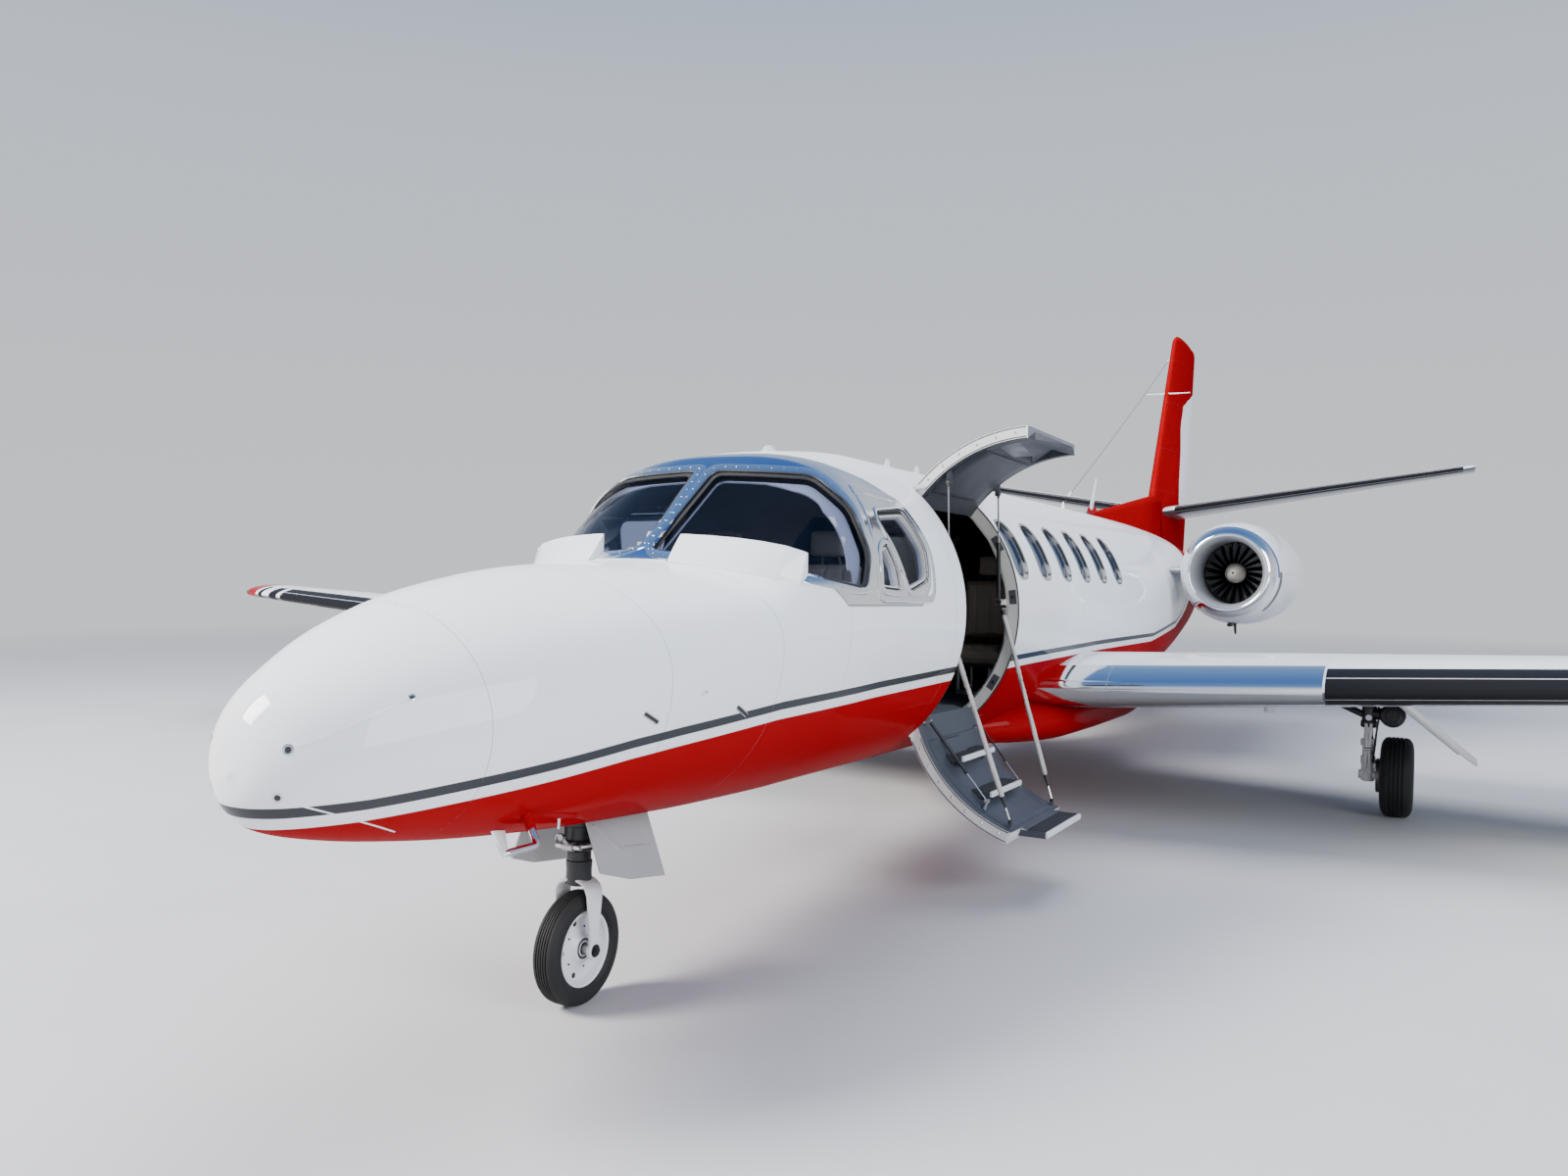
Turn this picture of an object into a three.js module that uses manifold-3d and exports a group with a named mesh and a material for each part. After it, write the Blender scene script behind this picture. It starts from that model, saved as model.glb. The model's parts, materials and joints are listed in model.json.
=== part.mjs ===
// Light twin-engined business jet parked on its gear, with its two-part cabin door standing open.
// Millimetres. The airframe is laid out level, with +X to its left wing, +Z up and its nose towards -Y.
// A station is a distance aft of the nose tip, and heights are from the cabin's centreline.
// The airframe then stands nose-up by a small angle on its wheels, on the ground at z = 0.
import * as THREE from "three";
import { mergeVertices } from "three/addons/utils/BufferGeometryUtils.js";
import Module from "manifold-3d";

const wasm = await Module();
wasm.setup();

// Driving dimensions of the whole aircraft
const LENGTH = 14390;
const HALF_SPAN = 7950;
const BODY_RADIUS = 835;
const WALL = 75;
const NOSE_UP = THREE.MathUtils.degToRad(1.75);
const CENTRELINE_ABOVE_GROUND = 1366;
const GAP = 0.4;
const RUNNING_GAP = 8;
const SLOT_GAP = 20;
const BOTH_SIDES = [
  ["left", 1],
  ["right", -1],
];

// Where the body's panels meet, as stations
const NOSE_JOINT = 560;
const COCKPIT_JOINT = 1850;
const CABIN_JOINT = 3480;
const TAIL_JOINT = 8150;
const TAIL_END = 13960;
const LINING_START = 1920;

// Sizes that several pieces share
const DOOR = { front: 3612, back: 4488, top: 648, bottom: -638, split: 40, skin: 60, openUp: 90, openDown: 109 };
const WINDOW = { first: 4641, pitch: 473, count: 6, length: 250, height: 340, middle: 371 };
const GLASS = { behind: 25, thick: 10, lap: 22 };
const FLOOR = { top: -560, thick: 40, half: 520, front: 1995, back: 8040 };
const NOSE_WHEEL = { station: 1538, radius: 222, width: 112, rim: 148 };
const MAIN_WHEEL = { station: 7100, track: 2710, radius: 275, width: 206, rim: 152 };
const ENGINE = { side: 1310, height: 330, lip: 8790, fan: 480, fanRadius: 268 };

// The body's oval sections, from the nose tip to the tail's end
// Columns: station, top, bottom, waist height, half width and squareness of the upper half, 2 for an ellipse
const BODY_SECTIONS = [
  [0, -418, -442, -430, 12, 2],
  [12, -345, -505, -425, 80, 2],
  [40, -275, -560, -420, 138, 2],
  [95, -200, -608, -410, 205, 2],
  [230, -108, -652, -390, 305, 2],
  [450, 5, -697, -352, 415, 2],
  [800, 112, -746, -290, 545, 2],
  [1250, 182, -786, -205, 655, 2.05],
  [1850, 222, -818, -110, 748, 2.2],
  [1870, 228, -819, -108, 750, 2.2],
  [2500, 690, -834, -30, 815, 2.9],
  [2560, 722, -835, -22, 818, 2.8],
  [3000, 792, -835, 0, 830, 2.2],
  [3560, 835, -835, 0, 835, 2],
  [8150, 835, -835, 0, 835, 2],
  [9300, 830, -770, 15, 812, 2],
  [10600, 808, -545, 65, 715, 2],
  [11900, 755, -215, 160, 545, 2],
  [13000, 680, 110, 300, 320, 2],
  [13700, 600, 370, 450, 125, 2],
  [13960, 545, 460, 500, 40, 2],
];
const BODY_SEGMENTS = 32;

const MATERIALS = {
  whitePaint: [0xf2f3f5, 0.0, 0.25],
  redPaint: [0x8f0d12, 0.0, 0.25],
  polished: [0xd8dade, 1.0, 0.12],
  castWhite: [0xd6d7da, 0.1, 0.45],
  darkMetal: [0x2a2c30, 0.6, 0.5],
  greyTrim: [0x55585e, 0.1, 0.6],
  glass: [0x1b2026, 0.0, 0.05],
  tyre: [0x141415, 0.0, 0.8],
  leather: [0xb9ad98, 0.0, 0.6],
  strap: [0xd9d6cf, 0.0, 0.85],
};

// The whole airframe stands nose-up in this group, and every piece is a mesh of it
const airframe = new THREE.Group();
airframe.position.z = CENTRELINE_ABOVE_GROUND;
airframe.rotation.x = -NOSE_UP;

const at = (x, station, height) => new THREE.Vector3(x, station - LENGTH / 2, height);

// Solids

function toSolid(geometry) {
  const bare = geometry.clone();
  bare.deleteAttribute("normal");
  bare.deleteAttribute("uv");
  const merged = mergeVertices(bare, 1e-3);
  const corners = new Uint32Array(merged.index.array);
  const vertices = merged.attributes.position.array;
  const make = () => {
    return new wasm.Manifold(new wasm.Mesh({ numProp: 3, vertProperties: vertices, triVerts: corners }));
  };
  const solid = make();
  if (solid.volume() >= 0) return solid;
  for (let i = 0; i < corners.length; i += 3) {
    [corners[i + 1], corners[i + 2]] = [corners[i + 2], corners[i + 1]];
  }
  return make();
}

function toGeometry(solid) {
  const { vertProperties, triVerts } = solid.getMesh();
  const geometry = new THREE.BufferGeometry();
  geometry.setAttribute("position", new THREE.BufferAttribute(vertProperties, 3));
  geometry.setIndex(new THREE.BufferAttribute(triVerts, 1));
  geometry.computeVertexNormals();
  return geometry;
}

function turned(solid, pivot, axis, degrees) {
  const geometry = toGeometry(solid).translate(-pivot.x, -pivot.y, -pivot.z);
  const turn = new THREE.Matrix4().makeRotationAxis(axis, THREE.MathUtils.degToRad(degrees));
  return toSolid(geometry.applyMatrix4(turn).translate(pivot.x, pivot.y, pivot.z));
}

const mirrored = (solid, side) => (side > 0 ? solid : toSolid(toGeometry(solid).scale(-1, 1, 1)));
const joined = (solids) => solids.reduce((whole, solid) => whole.add(solid));

function addPiece(name, material, solid) {
  const [color, metalness, roughness] = MATERIALS[material];
  const finish = new THREE.MeshStandardMaterial({ color, metalness, roughness });
  const mesh = new THREE.Mesh(toGeometry(solid), finish);
  mesh.name = name;
  airframe.add(mesh);
}

function box(low, high) {
  const size = high.clone().sub(low);
  const middle = high.clone().add(low).multiplyScalar(0.5);
  return toSolid(new THREE.BoxGeometry(size.x, size.y, size.z).translate(middle.x, middle.y, middle.z));
}

function rod(from, to, radius, endRadius = radius, segments = radius < 25 ? 8 : 12) {
  const run = to.clone().sub(from);
  const middle = to.clone().add(from).multiplyScalar(0.5);
  const turn = new THREE.Quaternion().setFromUnitVectors(new THREE.Vector3(0, 1, 0), run.clone().normalize());
  const geometry = new THREE.CylinderGeometry(endRadius, radius, run.length(), segments);
  return toSolid(geometry.applyQuaternion(turn).translate(middle.x, middle.y, middle.z));
}

// A round piece about a line through centre: profile columns are radius and distance along the axis
function lathe(profile, centre, axis, segments) {
  const points = profile.map(([radius, along]) => new THREE.Vector2(radius, along));
  const geometry = new THREE.LatheGeometry(points, segments);
  if (axis === "x") geometry.rotateZ(-Math.PI / 2);
  return toSolid(geometry.translate(centre.x, centre.y, centre.z));
}

// A closed skin through rings of equal count, with flat ends
// Its four-sided patches are split as mirror images of each other on the two sides of the centre
function loft(rings) {
  const count = rings[0].length;
  const points = rings.flat();
  const corners = [];
  for (let ring = 0; ring < rings.length - 1; ring += 1) {
    for (let i = 0; i < count; i += 1) {
      const a = ring * count + i;
      const b = ring * count + ((i + 1) % count);
      const [c, d] = [b + count, a + count];
      const left = points[a].x + points[b].x > 0;
      corners.push(...(left ? [a, b, c, a, c, d] : [a, b, d, b, c, d]));
    }
  }
  [0, rings.length - 1].forEach((ring) => {
    const middle = new THREE.Vector3();
    rings[ring].forEach((point) => middle.addScaledVector(point, 1 / count));
    const hub = points.push(middle) - 1;
    for (let i = 0; i < count; i += 1) {
      const a = ring * count + i;
      const b = ring * count + ((i + 1) % count);
      corners.push(...(ring === 0 ? [hub, b, a] : [hub, a, b]));
    }
  });
  const geometry = new THREE.BufferGeometry().setFromPoints(points);
  geometry.setIndex(corners);
  return toSolid(geometry);
}

// An outline with its corners rounded, pushed along a direction
function roundedOutline(points, radius) {
  const corners = points.map(([across, up]) => new THREE.Vector2(across, up));
  const shape = new THREE.Shape();
  corners.forEach((corner, i) => {
    const before = corners[(i + corners.length - 1) % corners.length];
    const after = corners[(i + 1) % corners.length];
    const into = before.clone().sub(corner);
    into.setLength(Math.min(radius, into.length() * 0.45)).add(corner);
    const out = after.clone().sub(corner);
    out.setLength(Math.min(radius, out.length() * 0.45)).add(corner);
    if (i === 0) shape.moveTo(into.x, into.y);
    else shape.lineTo(into.x, into.y);
    shape.quadraticCurveTo(corner.x, corner.y, out.x, out.y);
  });
  shape.closePath();
  return shape;
}

// A cutter whose outline is seen along a level direction: heading 0 looks along +X, 90 along +Y
function cutter(shape, heading, near, far) {
  const geometry = new THREE.ExtrudeGeometry(shape, { depth: far - near, bevelEnabled: false, curveSegments: 2 });
  const across = new THREE.Vector3(-Math.sin(heading), Math.cos(heading), 0);
  const along = new THREE.Vector3(Math.cos(heading), Math.sin(heading), 0);
  const frame = new THREE.Matrix4().makeBasis(across, new THREE.Vector3(0, 0, 1), along);
  return toSolid(geometry.translate(0, 0, near).applyMatrix4(frame));
}

// The body's skin

// Slopes that keep a curve through the sections free of waves
function sectionSlopes(column) {
  return BODY_SECTIONS.map((row, i) => {
    if (i === 0 || i === BODY_SECTIONS.length - 1) return 0;
    const before = BODY_SECTIONS[i - 1];
    const after = BODY_SECTIONS[i + 1];
    const rise = (row[column] - before[column]) / (row[0] - before[0]);
    const next = (after[column] - row[column]) / (after[0] - row[0]);
    return rise * next <= 0 ? 0 : (2 * rise * next) / (rise + next);
  });
}
const SECTION_SLOPES = [1, 2, 3, 4, 5].map(sectionSlopes);

function sectionAt(station) {
  let i = BODY_SECTIONS.findIndex((row) => row[0] > station) - 1;
  if (i < 0) i = station < LENGTH / 2 ? 0 : BODY_SECTIONS.length - 2;
  const start = BODY_SECTIONS[i];
  const end = BODY_SECTIONS[i + 1];
  const run = end[0] - start[0];
  const t = (station - start[0]) / run;
  const [top, bottom, waist, half, square] = [1, 2, 3, 4, 5].map((column) => {
    const slopes = SECTION_SLOPES[column - 1];
    const value = start[column] * (1 + 2 * t) * (1 - t) ** 2 + end[column] * t * t * (3 - 2 * t);
    return value + run * (slopes[i] * t * (1 - t) ** 2 + slopes[i + 1] * t * t * (t - 1));
  });
  return { top, bottom, waist, half, square };
}

function bodyRing(station, inset) {
  const { top, bottom, waist, half, square } = sectionAt(station);
  const rounded = (value, power) => Math.sign(value) * Math.abs(value) ** (2 / power);
  return Array.from({ length: BODY_SEGMENTS }, (_, i) => {
    const angle = (i * 2 * Math.PI) / BODY_SEGMENTS;
    const power = angle < Math.PI ? square : 2;
    const reach = (angle < Math.PI ? top - waist : waist - bottom) - inset;
    const across = (half - inset) * rounded(Math.cos(angle), power);
    return at(across, station, waist + reach * rounded(Math.sin(angle), power));
  });
}

// The body between two stations, inside or outside its skin by inset. The lining needs fewer rings.
function bodySolid(from, to, inset = 0) {
  const listed = BODY_SECTIONS.flatMap((row, i) => {
    const next = BODY_SECTIONS[i + 1];
    const curved = inset < WALL && next && next[1] - next[2] !== row[1] - row[2] && next[0] - row[0] > 100;
    return curved ? [row[0], (row[0] + next[0]) / 2] : [row[0]];
  });
  const inside = listed.filter((station) => station > from + 1 && station < to - 1);
  return loft([from, ...inside, to].map((station) => bodyRing(station, inset)));
}

const cabinWindow = (index, lap = 0) => {
  const middle = WINDOW.first + index * WINDOW.pitch - LENGTH / 2;
  const long = WINDOW.length / 2 + lap;
  const tall = WINDOW.height / 2 + lap;
  const corners = [
    [middle - long, WINDOW.middle - tall],
    [middle + long, WINDOW.middle - tall],
    [middle + long, WINDOW.middle + tall],
    [middle - long, WINDOW.middle + tall],
  ];
  return roundedOutline(corners, WINDOW.length * 0.46);
};

// Windscreen and side window outlines. The windscreen's is seen from ahead and outboard, along this heading.
const SCREEN_VIEW = THREE.MathUtils.degToRad(-55);
// Columns: distance off the centre, station and height of each corner
const SCREEN_OUTLINE = [
  [45, 1925, 262],
  [330, 1965, 232],
  [640, 2110, 180],
  [805, 2470, 118],
  [790, 2535, 270],
  [690, 2530, 480],
  [520, 2490, 622],
  [45, 2430, 645],
].map(([x, station, height]) => {
  const across = -x * Math.sin(SCREEN_VIEW) + at(0, station, 0).y * Math.cos(SCREEN_VIEW);
  return [across, height];
});
const sideOutline = (corners) => corners.map(([station, height]) => [at(0, station, 0).y, height]);
const FRONT_PANE = sideOutline([
  [2612, 125],
  [2805, 115],
  [2780, 235],
  [2712, 335],
  [2630, 300],
]);
const REAR_PANE = sideOutline([
  [2900, 110],
  [3135, 165],
  [3190, 330],
  [3120, 500],
  [2745, 470],
  [2725, 420],
  [2800, 300],
]);
const SIDE_GLASS = sideOutline([
  [2590, 90],
  [3165, 90],
  [3225, 330],
  [3150, 530],
  [2735, 505],
  [2605, 330],
]);

// The outline pushed out from its middle
function grown(outline, lap) {
  const middle = new THREE.Vector2();
  outline.forEach(([across, up]) => middle.add(new THREE.Vector2(across, up)));
  middle.divideScalar(outline.length);
  return outline.map(([across, up]) => {
    const out = new THREE.Vector2(across, up).sub(middle);
    return out.setLength(out.length() + lap).add(middle).toArray();
  });
}

function skinSlice(from, to, nearInset, farInset) {
  return bodySolid(from, to, nearInset).subtract(bodySolid(from - 20, to + 20, farInset));
}

const screenCutter = (lap) => cutter(roundedOutline(grown(SCREEN_OUTLINE, lap), 45), SCREEN_VIEW, 3820, 6500);
const sideCutter = (outline, radius) => cutter(roundedOutline(outline, radius), 0, 300, 1000);

function noseSection() {
  const well = box(at(-135, 1400, -1000), at(135, 1790, -500));
  return bodySolid(NOSE_JOINT + GAP, COCKPIT_JOINT).subtract(well);
}

function cockpitSection() {
  let shell = bodySolid(COCKPIT_JOINT + GAP, CABIN_JOINT);
  shell = shell.subtract(bodySolid(LINING_START, CABIN_JOINT + 5, WALL));
  const pocket = bodySolid(COCKPIT_JOINT + 30, CABIN_JOINT - 50, GLASS.behind - GAP);
  BOTH_SIDES.forEach(([, side]) => {
    shell = shell.subtract(mirrored(pocket.intersect(screenCutter(GLASS.lap + 2)), side));
    shell = shell.subtract(mirrored(screenCutter(0), side));
    shell = shell.subtract(mirrored(pocket.intersect(sideCutter(grown(SIDE_GLASS, 2), 60)), side));
    shell = shell.subtract(mirrored(sideCutter(FRONT_PANE, 30), side));
    shell = shell.subtract(mirrored(sideCutter(REAR_PANE, 40), side));
  });
  return shell;
}

function screenGlass(side) {
  const layer = skinSlice(COCKPIT_JOINT + 32, CABIN_JOINT - 60, GLASS.behind, GLASS.behind + GLASS.thick);
  const half = box(at(GAP, COCKPIT_JOINT, 0), at(BODY_RADIUS, CABIN_JOINT, BODY_RADIUS));
  const pane = layer.intersect(screenCutter(GLASS.lap)).intersect(half);
  return mirrored(pane.subtract(sideCutter(grown(SIDE_GLASS, 3), 60)), side);
}

// Fairings that stand over the foot of each windscreen
// Columns: distance off the centre, front station, and the rear edge's station and height
const SCREEN_FAIRING = [
  [196, 1812, 1943, 333],
  [350, 1838, 1973, 326],
  [490, 1874, 2006, 315],
  [621, 1944, 2058, 294],
  [720, 2044, 2117, 260],
];

function skinHeight(x, station) {
  const { top, waist, half, square } = sectionAt(station);
  return waist + (top - waist) * (1 - (x / half) ** square) ** (1 / square);
}

function screenFairing(side) {
  const rings = SCREEN_FAIRING.map(([x, front, rear, height]) => {
    const [foot, under] = [skinHeight(x, front), skinHeight(x, rear)];
    return [
      at(x, front, foot - 40),
      at(x, rear, under - 40),
      at(x, rear, height),
      at(x, (front + rear) / 2, (foot + height) / 2 + 14),
      at(x, front, foot + 5),
    ];
  });
  return mirrored(loft(rings).subtract(bodySolid(NOSE_JOINT, CABIN_JOINT, -GAP)), side);
}

function sideGlass(side) {
  const layer = skinSlice(2500, 3300, GLASS.behind, GLASS.behind + GLASS.thick);
  return mirrored(layer.intersect(sideCutter(SIDE_GLASS, 60)), side);
}

const STRIP = { front: 4502, back: 7160, bottom: 175, top: 565 };

function cabinSection() {
  let shell = bodySolid(CABIN_JOINT + GAP, TAIL_JOINT);
  shell = shell.subtract(bodySolid(CABIN_JOINT - 5, TAIL_JOINT - 60, WALL));
  const pocket = bodySolid(STRIP.front, STRIP.back, GLASS.behind - GAP);
  const pocketBox = box(at(400, STRIP.front, STRIP.bottom), at(900, STRIP.back, STRIP.top));
  BOTH_SIDES.forEach(([, side]) => {
    shell = shell.subtract(mirrored(pocket.intersect(pocketBox), side));
    for (let i = 0; i < WINDOW.count; i += 1) {
      shell = shell.subtract(mirrored(cutter(cabinWindow(i), 0, 400, 1000), side));
    }
  });
  const opening = roundedOutline(
    [
      [at(0, DOOR.front, 0).y, DOOR.bottom],
      [at(0, DOOR.back, 0).y, DOOR.bottom],
      [at(0, DOOR.back, 0).y, DOOR.top],
      [at(0, DOOR.front, 0).y, DOOR.top],
    ],
    20,
  );
  shell = shell.subtract(cutter(opening, 0, 100, 1000));
  const brackets = GAS_STRUT_PLACES.map(([, station, inward]) => {
    const { x, z } = GAS_STRUT.foot;
    const outer = station - inward * 44;
    const inner = station - inward * (6 + GAP);
    const [low, high] = [Math.min(outer, inner), Math.max(outer, inner)];
    return box(at(x - 18, low, z - 14), at(x + 36, high, z + 18));
  });
  const anchors = STRAPS.map(([, station, , x, height]) => {
    const near = station < DOOR.back - 400 ? DOOR.front - 16 : DOOR.back;
    return box(at(x - 14, near, height - 16), at(x + 16, near + 16, height + 16));
  });
  const pins = [DOOR.top, DOOR.bottom].map((height) => doorPin(height, GAP));
  return pins.reduce((rest, groove) => rest.subtract(groove), joined([shell, ...brackets, ...anchors]));
}

// The tail cone is a shell with a baggage space, shut off by the cabin's rear bulkhead
function tailCone() {
  return bodySolid(TAIL_JOINT + GAP, TAIL_END).subtract(bodySolid(TAIL_JOINT - 5, 13000, WALL));
}

function cabinGlass(side) {
  const layer = skinSlice(STRIP.front + 1, STRIP.back - 1, GLASS.behind, GLASS.behind + GLASS.thick);
  const band = box(at(400, STRIP.front, STRIP.bottom + 1), at(900, STRIP.back, STRIP.top - 1));
  return mirrored(layer.intersect(band), side);
}

// Doors

// Gas struts of the upper door: the foot on the door frame, the eye on the open door, and the stroke on closing
const GAS_STRUT = {
  foot: new THREE.Vector3(725, 0, 60),
  eye: new THREE.Vector3(704, 0, 682),
  barrel: 11,
  rod: 5,
};
// Columns: name, station, and the way that leads from the door frame into the opening
const GAS_STRUT_PLACES = [
  ["front", 3652, 1],
  ["rear", 8100 - 3652, -1],
];

const doorHinge = (height) => at(Math.sqrt(BODY_RADIUS ** 2 - height ** 2), (DOOR.front + DOOR.back) / 2, height);
const ALONG = new THREE.Vector3(0, 1, 0);
const DOOR_GAP = 6;
const DOOR_PIN = 9;

// A door's hinge pin along its edge of the doorway, or the groove that it lies in
function doorPin(height, clearance = 0) {
  const hinge = doorHinge(height);
  const low = hinge.clone().setY(DOOR.front + GAP - clearance - LENGTH / 2);
  const high = hinge.clone().setY(DOOR.back - GAP + clearance - LENGTH / 2);
  const radius = DOOR_PIN + clearance;
  return rod(low, high, radius, radius, 16);
}

function doorLeaf(bottom, top) {
  const leaf = bodySolid(DOOR.front + DOOR_GAP, DOOR.back - DOOR_GAP);
  const hollow = bodySolid(DOOR.front - 10, DOOR.back + 10, DOOR.skin);
  return leaf.subtract(hollow).intersect(box(at(200, DOOR.front, bottom), at(900, DOOR.back, top)));
}

// Open-door steps: columns are the tread's inboard edge, nosing, top, front and back stations
const STEPS = [
  [610, 775, -752, 3800, 4290],
  [760, 935, -922, 3800, 4290],
  [960, 1240, -1092, 3780, 4400],
];
const TREAD = 26;

// Ears at the foot of the lower door, where the stay straps end
const STRAP_EAR = { inboard: 1010, outboard: 1080, bottom: -1110, top: -1050 };

function lowerDoor() {
  const hinge = doorHinge(DOOR.bottom);
  const leaf = turned(doorLeaf(DOOR.bottom + DOOR_GAP, DOOR.split - 4), hinge, ALONG, DOOR.openDown);
  const treads = STEPS.map(([inboard, nosing, top, front, back]) => {
    const tread = box(at(inboard, front, top - TREAD), at(nosing, back, top));
    const risers = [front + 40, back - 70].map((station) => {
      return box(at(inboard, station, top - 120), at(inboard + 120, station + 30, top - 1));
    });
    return joined([tread, ...risers]);
  });
  const ears = STRAPS.map(([, , station]) => {
    const { inboard, outboard, bottom, top } = STRAP_EAR;
    return box(at(inboard, station - 9, bottom), at(outboard, station + 9, top));
  });
  const inside = turned(bodySolid(DOOR.front - 50, DOOR.back + 50, 24), hinge, ALONG, DOOR.openDown);
  return joined([leaf, doorPin(DOOR.bottom), ...[...treads, ...ears].map((piece) => piece.intersect(inside))]);
}

function upperDoor() {
  const hinge = doorHinge(DOOR.top);
  const stepRecess = box(at(300, 3740, 0), at(900, 4430, 270)).intersect(bodySolid(3700, 4480, 15));
  const strutPockets = GAS_STRUT_PLACES.map(([, station]) => {
    return box(at(470, station - 16, 440), at(660, station + 16, 610)).intersect(bodySolid(3600, 4500, 40));
  });
  const leaf = doorLeaf(DOOR.split + 4, DOOR.top - DOOR_GAP).subtract(joined([stepRecess, ...strutPockets]));
  const { eye } = GAS_STRUT;
  const lugs = GAS_STRUT_PLACES.map(([, station, inward]) => {
    const near = station + inward * (6 + GAP);
    const far = near + inward * 12;
    const [low, high] = [Math.min(near, far), Math.max(near, far)];
    return box(at(eye.x - 14, low, eye.z - 14), at(eye.x + 14, high, eye.z + 120));
  });
  const inside = turned(bodySolid(DOOR.front - 50, DOOR.back + 50, 3), hinge, ALONG, -DOOR.openUp);
  const open = turned(leaf, hinge, ALONG, -DOOR.openUp);
  return joined([open, doorPin(DOOR.top), ...lugs.map((lug) => lug.intersect(inside))]);
}

function gasStrut(station) {
  const { foot, eye, barrel, rod: rodRadius } = GAS_STRUT;
  const low = at(foot.x, station, foot.z);
  const high = at(eye.x, station, eye.z);
  const along = (distance) => low.clone().add(high.clone().sub(low).setLength(distance));
  const eyeAt = (place, radius) => rod(place.clone().setY(place.y - 6), place.clone().setY(place.y + 6), radius);
  const bore = rod(along(90), along(400), rodRadius + 1);
  const cylinder = joined([eyeAt(low, 14), rod(low, along(40), 6), rod(along(26), along(340), barrel)]).subtract(bore);
  const piston = joined([eyeAt(high, 14), rod(along(295), high, rodRadius)]);
  return { cylinder, piston };
}

// Stay straps from the door frame to the lower door
// Columns: name, station of the anchor, station of the ear, anchor's distance off the centre and its height
const STRAPS = [
  ["front", 3640, 3690, 746, -110],
  ["rear", 4462, 4430, 746, 12],
];

function strap([, anchorStation, earStation, x, height]) {
  const anchor = at(x, anchorStation, height);
  const ear = at(STRAP_EAR.outboard - 12, earStation, STRAP_EAR.top + GAP);
  const shank = ear.clone().setZ(ear.z + 14);
  const frame = anchorStation < (DOOR.front + DOOR.back) / 2 ? DOOR.front + GAP : DOOR.back - GAP;
  const pin = rod(anchor.clone().setY(frame - LENGTH / 2), anchor, 8);
  const run = shank.clone().sub(anchor);
  const along = (share) => anchor.clone().addScaledVector(run, share);
  const sleeve = rod(along(0.02), along(0.88), 17);
  return joined([pin, sleeve, rod(anchor, shank, 6), rod(ear, shank.clone().setZ(shank.z + 6), 8)]);
}

// Wings and tail

const aerofoilHalf = (c, { thickness, edge }) => {
  const shape = 0.2969 * Math.sqrt(c) - 0.126 * c - 0.3516 * c ** 2 + 0.2843 * c ** 3 - 0.1036 * c ** 4;
  return Math.max(5 * thickness * shape, edge);
};
const CAMBER_AT = 0.4;
const camberLine = (c, camber) => {
  const ahead = c < CAMBER_AT;
  const base = ahead ? CAMBER_AT ** 2 : (1 - CAMBER_AT) ** 2;
  const rise = ahead ? 2 * CAMBER_AT * c - c ** 2 : 1 - 2 * CAMBER_AT + 2 * CAMBER_AT * c - c ** 2;
  return (camber / base) * rise;
};
const FOIL_STEPS = 11;

// Chord fractions from one to another, closer together towards the leading edge
function chordSteps(from, to) {
  return Array.from({ length: FOIL_STEPS + 1 }, (_, i) => {
    const spread = (1 - Math.cos((Math.PI * i) / FOIL_STEPS)) / 2;
    return from + (to - from) * (from > 0 ? i / FOIL_STEPS : spread);
  });
}

// Outlines in fractions of the chord: distance aft, distance off the chord line
function foilOutline(panel) {
  const steps = chordSteps(0, 1);
  const point = (c, sign) => [c, camberLine(c, panel.camber) + sign * aerofoilHalf(c, panel)];
  const upper = [...steps].reverse().map((c) => point(c, 1));
  const lower = steps.slice(1).map((c) => point(c, -1));
  return [...upper, ...lower];
}

function surfaceOutline(panel, fraction) {
  const radius = aerofoilHalf(fraction, panel) * 0.98;
  const middle = camberLine(fraction, panel.camber);
  const steps = [0.15, 0.5, 1].map((t) => fraction + (1 - fraction) * t);
  const point = (c, sign) => [c, camberLine(c, panel.camber) + sign * aerofoilHalf(c, panel)];
  const nose = Array.from({ length: 9 }, (_, i) => {
    const angle = Math.PI / 2 + (Math.PI * i) / 8;
    return [fraction + radius * Math.cos(angle), middle + radius * Math.sin(angle)];
  });
  return [...[...steps].reverse().map((c) => point(c, 1)), ...nose, ...steps.map((c) => point(c, -1))];
}

function slotOutline(panel, fraction, chord) {
  const radius = aerofoilHalf(fraction, panel) * 0.98 + SLOT_GAP / chord;
  const middle = camberLine(fraction, panel.camber);
  const nose = Array.from({ length: 9 }, (_, i) => {
    const angle = Math.PI / 2 + (Math.PI * i) / 8;
    return [fraction + radius * Math.cos(angle), middle + radius * Math.sin(angle)];
  });
  return [[1.3, middle + radius], ...nose, [1.3, middle - radius]];
}

// A straight tapered panel. Its chord runs aft, and off is the direction of its thickness.
function panelPoint(panel, t, along, off) {
  const chord = THREE.MathUtils.lerp(panel.rootChord, panel.tipChord, t);
  const twist = THREE.MathUtils.degToRad(THREE.MathUtils.lerp(panel.rootTwist, panel.tipTwist, t));
  const edge = new THREE.Vector3().lerpVectors(panel.rootEdge, panel.tipEdge, t);
  const aft = new THREE.Vector3(0, Math.cos(twist), 0).addScaledVector(panel.off, -Math.sin(twist));
  const out = panel.off.clone().multiplyScalar(Math.cos(twist)).add(new THREE.Vector3(0, Math.sin(twist), 0));
  return edge.addScaledVector(aft, along * chord).addScaledVector(out, off * chord);
}
const chordAt = (panel, t) => THREE.MathUtils.lerp(panel.rootChord, panel.tipChord, t);
const panelRing = (panel, t, outline) => outline.map(([along, off]) => panelPoint(panel, t, along, off));

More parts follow.
